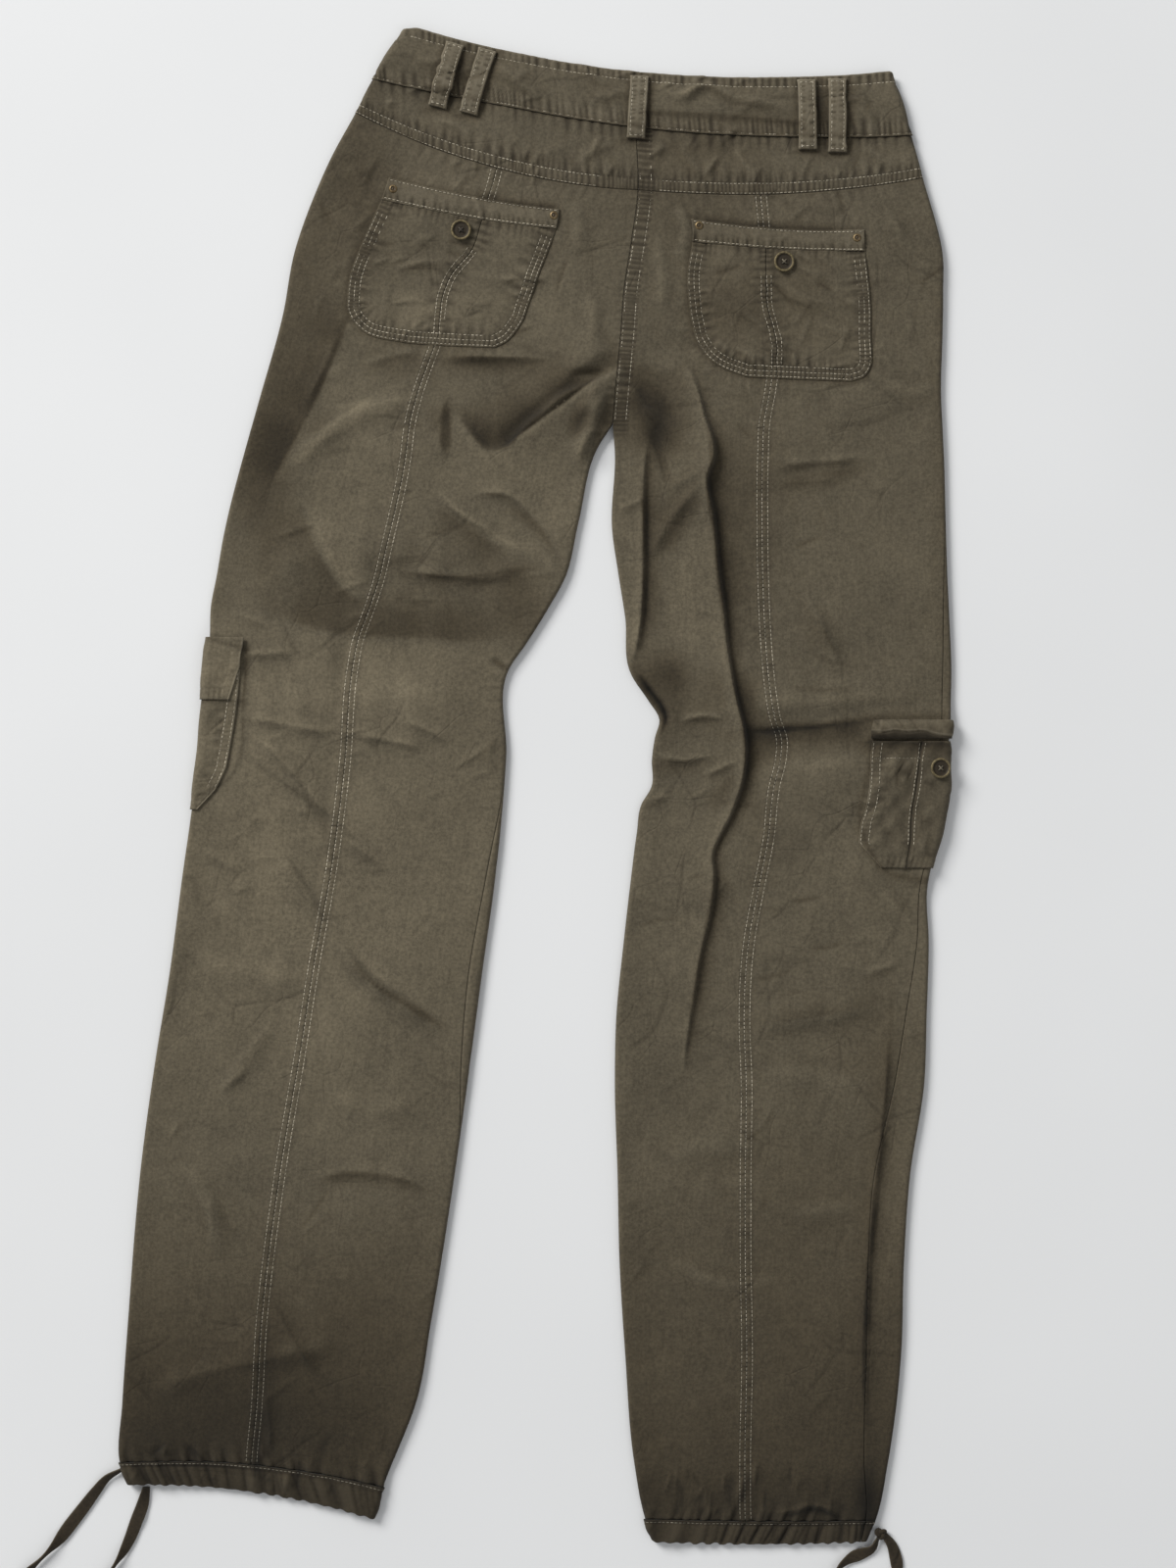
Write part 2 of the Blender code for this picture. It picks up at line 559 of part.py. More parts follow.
def build_leg(side, half, stops, casing, hem, inner_columns):
    rows = rows_through((YOKE_SEAM, *stops, casing), ROW_STEP)
    downs = inset(rows)
    middle = half.seam_around(downs)
    side_fold = back_fold(half.column(7, downs))
    outer = spread(side_fold[:, -1], middle - GAP / 2, np.linspace(0, 1, 6)[1:])
    panel(f"back_leg_outer_{side}", half, downs, np.concatenate([side_fold, outer], 1))
    inner_fold = half.girth(downs)[:, None] - back_fold(half.column(8, downs))
    inner = spread(inner_fold[:, -1], middle + GAP / 2, np.linspace(0, 1, inner_columns)[1:])
    panel(f"back_leg_inner_{side}", half, downs, np.concatenate([inner_fold, inner], 1))
    front = inset(np.concatenate([[BAND_SEAM], rows]))
    fly = fly_edge(front) if side == "left" else None
    panel(f"front_leg_{side}", half, front, front_leg(half, front, fly))
    if side == "left":
        downs = front[front < FLY_END]
        girth = half.girth(downs)
        panel("fly", half, downs, spread(GAP / 2 - girth, fly_edge(downs) - GAP / 2 - girth, [0, 0.5, 1]))
    band = inset(rows_through((casing, hem), 12))
    side_fold = back_fold(half.column(7, band))
    inner_fold = half.girth(band)[:, None] - back_fold(half.column(8, band))[:, ::-1]
    middle = spread(side_fold[:, -1], inner_fold[:, 0], np.linspace(0, 1, 8)[1:-1])
    around = np.concatenate([side_fold, middle, inner_fold], 1)
    panel(f"hem_casing_back_{side}", half, band, around, BAND, BAND_PROUD, "seam_cloth")
    panel(f"hem_casing_front_{side}", half, band, front_leg(half, band), slot="seam_cloth")


def build_legs():
    build_leg("left", LEFT, LEFT_STOPS, LEFT_CASING, LEFT_HEM, 6)
    build_leg("right", RIGHT, RIGHT_STOPS, RIGHT_CASING, RIGHT_HEM, 9)


def pocket_grid(table, first, last, start, end, columns):
    """x and y of a pocket between two of its rows and between two shares of its width."""
    rows = np.array(table[first : last + 1])
    share = spread(start[first : last + 1], end[first : last + 1], np.linspace(0, 1, columns))
    x = rows[:, 0:1] + (rows[:, 2:3] - rows[:, 0:1]) * share
    y = rows[:, 1:2] + (rows[:, 3:4] - rows[:, 1:2]) * share - rows[:, 4:5] * 4 * share * (1 - share)
    return x, y


def on_the_back(name, x, y, inside, outside, slot="cloth"):
    points, normals = skin_at(x, y)
    return wall(name, points + normals * outside, points + normals * inside, slot)


def build_back_pockets():
    sides = (("left", LEFT_POCKET, "outer", "inner"), ("right", RIGHT_POCKET, "inner", "outer"))
    for side, table, first, second in sides:
        rows = np.array(table)
        width = np.hypot(rows[:, 2] - rows[:, 0], rows[:, 3] - rows[:, 1])
        seam = rows[:, 5]
        nothing = 0 * seam
        slack = GAP / 2 / width
        x, y = pocket_grid(table, 0, 1, nothing, nothing + 1, 9)
        y[1] += GAP
        on_the_back(f"back_pocket_band_{side}", x, y, GAP, GAP + POCKET_BAND, "seam_cloth")
        x, y = pocket_grid(table, 1, 8, nothing, seam - slack, 5)
        on_the_back(f"back_pocket_{first}_{side}", x, y, GAP, GAP + CLOTH)
        x, y = pocket_grid(table, 1, 8, seam + slack, nothing + 1, 5)
        on_the_back(f"back_pocket_{second}_{side}", x, y, GAP, GAP + CLOTH)


def build_belt_loops():
    for number, (top_x, top_y, low_x, low_y) in enumerate(BELT_LOOPS, 1):
        run = np.array([low_x - top_x, low_y - top_y])
        length = np.hypot(*run)
        aside = np.array([-run[1], run[0]]) / length * LOOP_WIDTH / 2
        share = np.linspace(0, 1, 7)[:, None]
        x = top_x + run[0] * share + aside[0] * np.array([[-1, 1]])
        y = top_y + run[1] * share + aside[1] * np.array([[-1, 1]])
        points, normals = skin_at(x, y)
        raised = BAND_PROUD + GAP + LOOP_BOW * np.sin(math.pi * share[..., None]) ** 0.6
        outside = points + normals * (raised + LOOP_WALL)
        wall(f"belt_loop_{number}", outside, points + normals * raised, "seam_cloth")


def turned(name, profile, slot, at, out, segments=20):
    """A solid of revolution about its own upright, set on the cloth at a point."""
    across = np.cross([0, 1, 0], out)
    across = across / np.linalg.norm(across)
    along = np.cross(out, across)
    angles = np.linspace(0, 2 * math.pi, segments, endpoint=False)
    verts = [at + out * profile[0][1]]
    for radius, high in profile[1:-1]:
        for angle in angles:
            verts.append(at + radius * (math.cos(angle) * across + math.sin(angle) * along) + out * high)
    verts.append(at + out * profile[-1][1])
    rings = len(profile) - 2
    faces = []
    for n in range(segments):
        after = (n + 1) % segments
        faces.append((0, 1 + after, 1 + n))
        for ring in range(rings - 1):
            base = 1 + ring * segments
            faces.append((base + n, base + after, base + after + segments, base + n + segments))
        base = 1 + (rings - 1) * segments
        faces.append((base + n, base + after, len(verts) - 1))
    return add_object(name, verts, faces, slot)


def button(name, at, out):
    """A four-hole button with a raised rim and a dished middle."""
    r, h = BUTTON_RADIUS, BUTTON_WALL
    profile = [(0, 0), (r * 0.7, 0), (r * 0.97, h * 0.35), (r, h * 0.62), (r * 0.93, h), (r * 0.8, h),
               (r * 0.66, h * 0.7), (0, h * 0.66)]
    made = turned(name, profile, "button", at, out)
    across = np.cross([0, 1, 0], out)
    across = across / np.linalg.norm(across)
    along = np.cross(out, across)
    for number in range(4):
        angle = math.pi / 4 + number * math.pi / 2
        centre = at + BUTTON_RADIUS * 0.24 * (math.cos(angle) * across + math.sin(angle) * along)
        drill = [(0, -1), (BUTTON_HOLE, -1), (BUTTON_HOLE, h + 1), (0, h + 1)]
        cutter = turned(f"{name}_drill_{number}", drill, "button", centre, out, 7)
        cutter.hide_render = True
        cutter.display_type = "WIRE"
        cut = made.modifiers.new(f"hole_{number}", "BOOLEAN")
        cut.operation = "DIFFERENCE"
        cut.object = cutter
    return made


def build_fasteners():
    for name, x, y in BUTTONS:
        points, normals = skin_at(x, y)
        button(name, points + normals * (POCKET_BAND + OVER_GAP), normals)
    points, normals = skin_at(*CARGO_BUTTON)
    button("cargo_button_right", points + normals * (OVER_GAP + CLOTH + CARGO_BUTTON_RISE), normals)
    for number, (x, y) in enumerate(RIVETS, 1):
        points, normals = skin_at(x, y)
        r = RIVET_RADIUS
        profile = [(0, 0), (r * 0.9, 0), (r, 0.5), (r * 0.8, 1.2), (r * 0.4, 1.5), (0, 1.4)]
        at = points + normals * (POCKET_BAND + 2 * GAP + 0.05)
        turned(f"back_rivet_{number}", profile, "brass", at, normals, 12)


def side_patch(name, half, table, back_count, front_count, inside, outside, slot="cloth"):
    """A piece that wraps the side of a leg. Its rows: down, around at its back and at its front edge."""
    rows = np.array(table, float)
    third = ROLL_ARC / 3
    fold = np.broadcast_to(third * np.array([3, 2, 1, 0, -1.5, -3]), (len(rows), 6))
    back = spread(rows[:, 1], fold[:, 0], np.linspace(0, 1, back_count))[:, :-1]
    front = spread(fold[:, -1], rows[:, 2], np.linspace(0, 1, front_count))[:, 1:]
    around = np.concatenate([back, fold, front], 1)
    down = np.broadcast_to(rows[:, 0:1], around.shape)
    skin, out = half.place(down, around), half.out(down, around)
    return wall(name, skin + out * outside, skin + out * inside, slot)


def build_cargo_pockets():
    first = OVER_GAP
    second = 2 * OVER_GAP + CLOTH
    side_patch("cargo_pocket_left", LEFT, LEFT_CARGO_POCKET, 4, 4, first, first + CLOTH)
    side_patch("cargo_flap_left", LEFT, LEFT_CARGO_FLAP, 4, 4, second, second + CLOTH, "seam_cloth")
    down, back, seam, front = np.array(RIGHT_CARGO_POCKET, float).T
    around = spread(back, seam + GAP / 2, np.linspace(0, 1, 4))
    rows = np.broadcast_to(down[:, None], around.shape)
    skin, out = RIGHT.place(rows, around), RIGHT.out(rows, around)
    wall("cargo_pocket_inner_right", skin + out * (first + CLOTH), skin + out * first)
    outer = np.stack([down, seam - GAP / 2, front], 1)
    side_patch("cargo_pocket_outer_right", RIGHT, outer, 3, 3, first, first + CLOTH)
    raised = first + CLOTH + np.outer(FLAP_ROLL, FLAP_TAPER)[..., None]
    side_patch("cargo_flap_right", RIGHT, RIGHT_CARGO_FLAP, 6, 5, first, raised, "seam_cloth")


def build_ties():
    """Drawcord ends: a plain tube along each, on a smooth curve through its points."""
    for name, route in TIES.items():
        points = np.array(route, float)
        travelled = np.concatenate([[0], np.cumsum(np.hypot(*np.diff(points, axis=0).T))])
        count = round(travelled[-1] / (TIE_RADIUS * 4)) + 1
        at = np.linspace(0, travelled[-1], count)
        x = smooth(travelled, points[:, 0], at)
        y = smooth(travelled, points[:, 1], at)
        curve = bpy.data.curves.new(name, "CURVE")
        curve.dimensions = "3D"
        curve.bevel_depth = TIE_RADIUS * MM
        curve.bevel_resolution = 2
        curve.use_fill_caps = True
        line = curve.splines.new("POLY")
        line.points.add(count - 1)
        for point, px, py in zip(line.points, x, y):
            point.co = (px * MM, py * MM, (TIE_RADIUS + TIE_CLEAR) * MM, 1)
        curve.materials.append(material("tape"))
        bpy.context.collection.objects.link(bpy.data.objects.new(name, curve))
    r = KNOT_RADIUS
    angles = np.linspace(-math.pi / 2, math.pi / 2, 7)
    profile = [(r * math.cos(angle), r * 0.8 * math.sin(angle)) for angle in angles]
    at = np.array([*KNOT_AT, r * 0.8 + TIE_CLEAR])
    turned("tie_knot_right", profile, "tape", at, np.array([0.0, 0.0, 1.0]), 12)


def main():
    for old in list(bpy.data.objects):
        bpy.data.objects.remove(old)
    build_waist()
    build_legs()
    build_back_pockets()
    build_belt_loops()
    build_cargo_pockets()
    build_fasteners()
    build_ties()


main()
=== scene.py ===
# %% [markdown]
# # Cargo trousers laid flat, back side up
# The object is a pair of olive-brown cotton trousers that lie on a pale surface. The solids that
# carry its size are already made. This lesson gives them their looks: a thin cloth shell with
# creases on each solid, puckered seams, thread, buttons, rivets and flat drawcord ends.

# %% Load the frame
import math

import bpy
import numpy as np
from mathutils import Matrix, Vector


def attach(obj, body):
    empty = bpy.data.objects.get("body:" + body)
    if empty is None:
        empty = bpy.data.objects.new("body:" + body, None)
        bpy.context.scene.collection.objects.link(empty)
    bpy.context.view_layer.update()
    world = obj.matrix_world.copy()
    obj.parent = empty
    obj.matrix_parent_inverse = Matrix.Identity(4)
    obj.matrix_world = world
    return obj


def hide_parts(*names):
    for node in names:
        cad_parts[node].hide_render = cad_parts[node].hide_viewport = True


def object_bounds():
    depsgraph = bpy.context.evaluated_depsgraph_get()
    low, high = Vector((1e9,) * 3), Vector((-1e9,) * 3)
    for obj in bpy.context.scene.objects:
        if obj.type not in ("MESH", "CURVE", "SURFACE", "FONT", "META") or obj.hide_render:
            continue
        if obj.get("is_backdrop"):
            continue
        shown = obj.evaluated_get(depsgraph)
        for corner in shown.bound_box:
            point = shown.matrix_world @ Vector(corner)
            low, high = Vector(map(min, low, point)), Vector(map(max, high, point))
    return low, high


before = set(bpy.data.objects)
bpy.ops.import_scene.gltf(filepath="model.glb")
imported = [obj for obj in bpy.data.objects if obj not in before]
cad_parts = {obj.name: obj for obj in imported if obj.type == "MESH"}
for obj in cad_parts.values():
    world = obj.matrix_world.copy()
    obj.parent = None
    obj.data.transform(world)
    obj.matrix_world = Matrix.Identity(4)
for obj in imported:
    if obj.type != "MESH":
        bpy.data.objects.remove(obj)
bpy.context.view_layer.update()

MM = 0.001

# %% [markdown]
# ## The camera
# The trousers are seen from straight above. A camera that looks down -Z needs no rotation at all:
# that is how Blender's camera points when its rotation is zero. Its height follows from the
# length that has to fill the picture and from the lens, by similar triangles.

# %% Camera over the trousers
VIEW_LENGTH = 1143.0
VIEW_MIDDLE_X = 35.0
LENS = 60.0
SENSOR = 36.0


def put_in_scene(name, data):
    """A new object at the origin."""
    made = bpy.data.objects.new(name, data)
    bpy.context.scene.collection.objects.link(made)
    return made


def add_camera():
    """Height above the surface = length in view times lens over sensor."""
    data = bpy.data.cameras.new("camera")
    data.lens, data.sensor_width, data.clip_end = LENS, SENSOR, 20
    camera = put_in_scene("camera", data)
    camera.location = (VIEW_MIDDLE_X * MM, 0, VIEW_LENGTH * LENS / SENSOR * MM)
    bpy.context.scene.camera = camera
    print("camera height", round(camera.location.z, 3), "m")


add_camera()

# %% [markdown]
# ## Meshes from grids
# Almost every piece of cloth is a sheet, so its mesh is a grid of points with rows and columns.
# A wall is two such grids, one for each face of the cloth, joined round the rim. Blender takes
# whole numpy arrays through foreach_set, which is far quicker than adding points one by one.

# %% Helpers for grids and pieces
PIECES = []
SLOTS = {}


def mesh_from(name, points, *faces):
    """A mesh from points in millimetres and arrays of faces, each with as many corners as columns."""
    mesh = bpy.data.meshes.new(name)
    mesh.vertices.add(len(points))
    mesh.vertices.foreach_set("co", (np.asarray(points, float) * MM).astype(np.float32).ravel())
    corners = np.concatenate([part.ravel() for part in faces])
    sizes = np.concatenate([np.full(len(part), part.shape[1]) for part in faces])
    mesh.loops.add(len(corners))
    mesh.loops.foreach_set("vertex_index", corners.astype(np.int32))
    mesh.polygons.add(len(sizes))
    mesh.polygons.foreach_set("loop_start", (np.cumsum(sizes) - sizes).astype(np.int32))
    mesh.update(calc_edges=True)
    mesh.validate()
    return mesh


def grid_quads(rows, columns, closed=False):
    """Corner numbers of every cell of a grid. A closed grid joins its last column to its first."""
    number = np.arange(rows * columns).reshape(rows, columns)
    if closed:
        number = np.concatenate([number, number[:, :1]], 1)
    corners = (number[:-1, :-1], number[:-1, 1:], number[1:, 1:], number[1:, :-1])
    return np.stack(corners, -1).reshape(-1, 4)


def signed_volume(points, *faces):
    """Six times the volume, positive where the faces point out: a fan of tetrahedra per face."""
    total = 0.0
    for part in faces:
        for k in range(1, part.shape[1] - 1):
            first, second, third = (points[part[:, j]] for j in (0, k, k + 1))
            total += (np.cross(first, second) * third).sum()
    return float(total)


def add_piece(name, points, faces, nodes, slot, **attributes):
    """An object at the origin that rides on the body, stands for its solids and names its slot."""
    faces = faces if isinstance(faces, tuple) else (faces,)
    if signed_volume(np.asarray(points, float), *faces) < 0:
        faces = tuple(part[:, ::-1] for part in faces)
    mesh = mesh_from(name, points, *faces)
    mesh.polygons.foreach_set("use_smooth", np.full(len(mesh.polygons), True))
    for title, values in attributes.items():
        values = np.asarray(values, np.float32)
        kind, key = ("FLOAT", "value") if values.ndim == 1 else ("FLOAT_VECTOR", "vector")
        mesh.attributes.new(title, kind, "POINT").data.foreach_set(key, values.ravel())
    piece = put_in_scene(name, mesh)
    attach(piece, "root")
    if nodes:
        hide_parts(*nodes)
    PIECES.append(piece)
    SLOTS[name] = slot
    return piece


def by_threes(columns):
    """More columns, halfway between the widest apart, until their steps can be taken by threes."""
    columns = np.atleast_2d(columns)
    while (columns.shape[1] - 1) % 3:
        at = np.abs(np.diff(columns, axis=1)).mean(0).argmax()
        middle = (columns[:, at] + columns[:, at + 1]) / 2
        columns = np.insert(columns, at + 1, middle, axis=1)
    return columns


def add_wall(name, outside, inside, nodes, slot, **attributes):
    """A fine grid for the face that shows and every third row and column of one for the face that
    doesn't, joined round the rim by faces of six corners into one closed cloth wall."""
    rows, columns = outside.shape[:2]
    count = rows * columns
    number = np.arange(count).reshape(rows, columns)
    few = np.arange(((rows + 2) // 3) * ((columns + 2) // 3)).reshape((rows + 2) // 3, -1) + count
    fine, coarse = (np.concatenate([grid[0, :-1], grid[:-1, -1], grid[-1, :0:-1], grid[:0:-1, 0]])
                    for grid in (number, few))
    fine = np.append(fine, fine[0])
    sides = (fine[0:-1:3], coarse, np.roll(coarse, -1), fine[3::3], fine[2::3], fine[1::3])
    points = np.concatenate([outside.reshape(-1, 3), inside[::3, ::3].reshape(-1, 3)])
    both = {}
    for title, values in attributes.items():
        values = np.asarray(values, float).reshape(rows, columns, -1)
        thin = values[::3, ::3].reshape(few.size, -1)
        both[title] = np.concatenate([values.reshape(count, -1), thin]).squeeze()
    quads = np.concatenate([grid_quads(rows, columns), grid_quads(*few.shape)[:, ::-1] + count])
    return add_piece(name, points, (quads, np.stack(sides, -1)), nodes, slot, **both)


# %% Helpers for curves
def ease(value, start, end):
    """0 before start, 1 past end, and 3u^2 - 2u^3 between."""
    u = np.clip((value - start) / (end - start), 0, 1)
    return u * u * (3 - 2 * u)


def bell(value, width):
    """exp(-(value / width)^2): 1 at nothing, and all but gone at twice the width."""
    return np.exp(-((value / width) ** 2))


def unit(vectors):
    """Each vector divided by its own length."""
    return vectors / np.linalg.norm(vectors, axis=-1, keepdims=True)


def smooth(stations, values, at):
    """A cubic through the stations whose slope at each is that of its two neighbours."""
    slopes = np.gradient(values, stations)
    row = np.clip(np.searchsorted(stations, at, side="right") - 1, 0, len(stations) - 2)
    step = stations[row + 1] - stations[row]
    u = (at - stations[row]) / step
    start = (1 + 2 * u) * (1 - u) ** 2 * values[row] + u * (1 - u) ** 2 * step * slopes[row]
    end = u**2 * (3 - 2 * u) * values[row + 1] + u**2 * (u - 1) * step * slopes[row + 1]
    return start + end


def travelled(points):
    """Length of a path up to each of its points."""
    return np.append(0, np.cumsum(np.linalg.norm(np.diff(points, axis=0), axis=1)))


def walked_to(at, points, values=None):
    """The places at some lengths along a path, or other values given for each of its points."""
    length = travelled(points)
    values = points if values is None else values
    return np.stack([np.interp(at, length, column) for column in values.T], -1)


def through(points, step):
    """Points a step apart on a smooth curve through a few given ones."""
    points = np.asarray(points, float)
    length = travelled(points)
    at = np.linspace(0, length[-1], max(2, round(length[-1] / step) + 1))
    return np.stack([smooth(length, points[:, k], at) for k in range(points.shape[1])], -1)


def rounds(count):
    """Angles all the way round, one for each column of a tube."""
    return np.linspace(0, 2 * math.pi, count, endpoint=False)[None, :]


def beside(run):
    """Directions to the side of a path and up from it, from its directions along."""
    side = unit(np.cross(unit(run), [0.0, 0.0, 1.0]))
    return side, np.cross(side, unit(run))


print("helpers ready")

# %% [markdown]
# ## The drawcord ends
# Each hem has a cord of folded cloth tape whose two ends come out at the side. They are limp, lie
# on the surface and twist as they go. A flat tube along a smooth path gives both the width of the
# tape and its twist: the ring of the tube is a flattened circle that turns about the path.

# %% Drawcord ends
# For each end: x and y of its route, how far its start reaches back into the hem, how far it is
# turned over at points along it, in degrees, and the share of its width there.
TIES = {
    "tie_left_outer": (
        (-309.5, -502, -315.5, -505.5, -323, -514.5, -332, -526.5, -342, -539.5, -351.5, -552,
         -361, -562, -371, -571.5, -381, -584, -386, -598), 6.5,
        (55, 15, 0, 10, 60, 15, 0), (0.5, 0.8, 1, 1, 0.5, 0.9, 1)),
    "tie_left_inner": (
        (-287.3, -515.5, -289.3, -524.3, -294.3, -537.9, -298.6, -549.3, -304.3, -560.7,
         -311.4, -571.4, -319, -584, -323, -600), 4.0,
        (40, 0, 0, 20, 65, 10, 0), (0.7, 1, 1, 0.8, 0.5, 1, 1)),
    "tie_right_inner": (
        (245.2, -550.4, 242, -556.8, 234, -560.8, 225, -564.5, 217, -571.5, 213, -584, 207, -597),
        2.0, (60, 20, 0, 30, 60, 0, 0), (0.5, 0.8, 1, 0.7, 0.6, 1, 1)),
    "tie_right_outer": (
        (252, -548.4, 255.8, -553.6, 259, -563, 260.5, -573, 261, -588, 266, -603), 2.0,
        (40, 10, 0, 40, 0, 0), (0.6, 0.9, 1, 0.7, 1, 1)),
}
KNOT_AT = (248, -545.4, 3.25)
KNOT_TUBE = 1.55
TAPE_WIDTH = 9.0
TAPE_THICK = 1.7


def capped(rings):
    """Points and faces of a tube whose ends are closed by a small fan of flat quads."""
    count, sides = rings.shape[:2]
    caps = []
    for start, turn in ((0, 1), ((count - 1) * sides, -1)):
        for k in range(sides // 2 - 1):
            cap = [start + k, start + k + 1, start + sides - 2 - k, start + sides - 1 - k]
            caps.append(cap[::turn])
    quads = grid_quads(count, sides, closed=True)
    return rings.reshape(-1, 3), np.concatenate([quads, np.array(caps)])


def add_tie(name, route, tucked, turns, widths, sides=14):
    """Rings of flattened circles round the route, each turned about it by an angle."""
    points = np.reshape(route, (-1, 2)).astype(float)
    back = points[0] - points[1]
    points[0] += back / np.hypot(*back) * tucked
    path = through(points, 2.5)
    at, share = np.linspace(0, 1, len(turns)), np.linspace(0, 1, len(path))
    turn = smooth(at, np.array(turns, float), share)
    width = TAPE_WIDTH * smooth(at, np.array(widths, float), share)
    high = TAPE_THICK / 2 + 0.25 + (width / 2) * np.abs(np.sin(np.radians(turn)))
    path = np.column_stack([path, high])
    side, rise = beside(np.gradient(path, axis=0))
    angle = rounds(sides)
    flat, tall = (np.sign(wave) * np.abs(wave) ** 0.7 for wave in (np.cos(angle), np.sin(angle)))
    across, above = width[:, None] / 2 * flat, TAPE_THICK / 2 * tall
    turn = np.radians(turn)[:, None]
    sideways = across * np.cos(turn) - above * np.sin(turn)
    upwards = across * np.sin(turn) + above * np.cos(turn)
    rings = path[:, None] + sideways[..., None] * side[:, None] + upwards[..., None] * rise[:, None]
    verts, quads = capped(rings)
    along = np.repeat(travelled(path), sides)
    cloth = np.stack([np.tile(np.linspace(-1, 1, sides), len(path)) * 4, along, 0 * along], -1)
    fade = np.abs(np.cos(np.pi * np.tile(np.linspace(0, 2, sides), len(path)))) ** 6
    return add_piece(name + "_tape", verts, quads, [name], "tape", cloth=cloth, fade=fade), path


def add_knot(count=72, sides=12):
    """A trefoil, the path of an overhand knot, pressed flat, with a round tube along it."""
    t = np.linspace(0, 2 * math.pi, count + 1)[:-1]
    x, y, z = np.sin(t) + 2 * np.sin(2 * t), np.cos(t) - 2 * np.cos(2 * t), -np.sin(3 * t)
    path = np.stack([x * 1.15, y, z * 1.35], -1) + KNOT_AT
    side, rise = beside(np.roll(path, -1, 0) - np.roll(path, 1, 0))
    angle = rounds(sides)[..., None]
    rings = path[:, None] + KNOT_TUBE * (np.cos(angle) * side[:, None] + np.sin(angle) * rise[:, None])
    quads = grid_quads(count + 1, sides, closed=True) % (count * sides)
    along = np.repeat(np.linspace(0, 60, count), sides)
    cloth = np.stack([np.tile(np.linspace(-4, 4, sides), count), along, 0 * along], -1)
    add_piece("tie_knot", rings.reshape(-1, 3), quads, ["tie_knot_right"], "tape", cloth=cloth,
              fade=0 * along)


add_knot()
for name, tie in TIES.items():
    piece, path = add_tie(name, *tie)

# %% [markdown]
# ## The form of each half
# A trouser leg laid flat is a tube pressed flat. A place on its cloth has two coordinates: "down",
# millimetres from the waist's top edge, and "around", millimetres of cloth from the fold at the
# side, positive over the back and negative under the front. A table of sections says where both
# edges of the flat tube are, and a smooth cubic runs through its rows. The solids use the same
# table, so the shell lies on them with no fitting.

# %% Sizes and sections
CLOTH = 1.2  # wall of one layer
BAND = 2.0  # waistband and hem casings, folded double
GAP = 0.3  # between two pieces at a seam
LAID_HEIGHT = 3.9  # outside of the back layer above the surface, in the legs
SEAT_EXTRA = 0.9  # more height where the seat and waist have more layers
EDGE_PUFF = 1.4  # more height near a fold that isn't pressed
PUFF_REACH = 14.0
LEAST_HEIGHT = 3.1
ROLL = 3.0  # half width of the fold at the side of a leg
HALF_EDGE = 2.6  # height of the middle of that fold
ROLL_ARC = math.pi / 2 * math.sqrt((ROLL**2 + HALF_EDGE**2) / 2)
BAND_SEAM = 41.0
YOKE_SEAM = 80.0
CROTCH = 260.0
LEFT_CASING, LEFT_HEM = 1018.0, 1042.0
RIGHT_CASING, RIGHT_HEM = 1055.0, 1071.0
BAND_PROUD = 0.8  # how far the waistband and casings stand out of the panels
OVER = 0.5  # under a pocket or flap that lies on a panel
SHELL = 1.0  # wall of one layer of cloth

# Columns: down, x and y of the side fold, x and y of the centre seam or inner fold, how far the
# section bows towards the hem, x of the seam down the middle of the leg, and how far the side
# seam and the inseam lie round onto the back.
LEFT_SECTIONS = (
    (0, -97, 552, 70.5, 518, 4.3, -13, 0, 0), (41, -122, 512.5, 70, 477, 2.1, -26, 0, 0),
    (80, -134.5, 488, 71.5, 432, 12.1, -31.3, 0, 0),
    (115, -155.5, 448.5, 67, 396.5, 10, -42.7, 0, 0),
    (155, -178, 389.5, 61.5, 360.5, 7.1, -63, 0, 0), (190, -187, 342, 59, 328.5, 5, -72.4, 0, 0),
    (238, -203.5, 282.5, 55, 285.5, 2.1, -89.5, 0, 0), (260, -210, 259.5, 53, 262, 0, -94.7, 0, 0),
    (280, -217, 234.5, 42, 244.5, 0, -97.3, 0, 0), (335, -230, 182, 28, 190, 0, -108.2, 0, 0),
    (370, -235.5, 150.5, 18.5, 150.5, 0, -116.4, 0, 0),
    (392, -239.5, 129.5, 6.5, 128.5, 0, -123.4, 0, 0),
    (418, -240, 104.5, -10, 102, 0, -132.6, 0, 0), (437, -242, 84.5, -22, 84.5, 0, -136.1, 0, 0),
    (500, -248, 20, -24.5, 20, 0, -141.2, 0, 0), (585, -260, -65, -32, -65, 0, -152.2, 0, 8),
    (657, -269.5, -137, -42, -137, 0, -165.1, 0, 11),
    (721, -280, -201.5, -50.5, -201.5, 0, -175.3, 0, 8),
    (790, -289.5, -270, -60, -270, 0, -186.9, 0, 0),
    (913, -300, -393, -79.5, -393, 0, -202.4, 0, 0),
    (970, -304, -450, -90.5, -451.5, 0, -205.8, 0, 0),
    (1018, -306, -493.5, -114, -511.5, -7.1, -210, 0, 0),
    (1042, -300, -509.5, -120.5, -534.5, -7.1, -210.5, 0, 0),
)
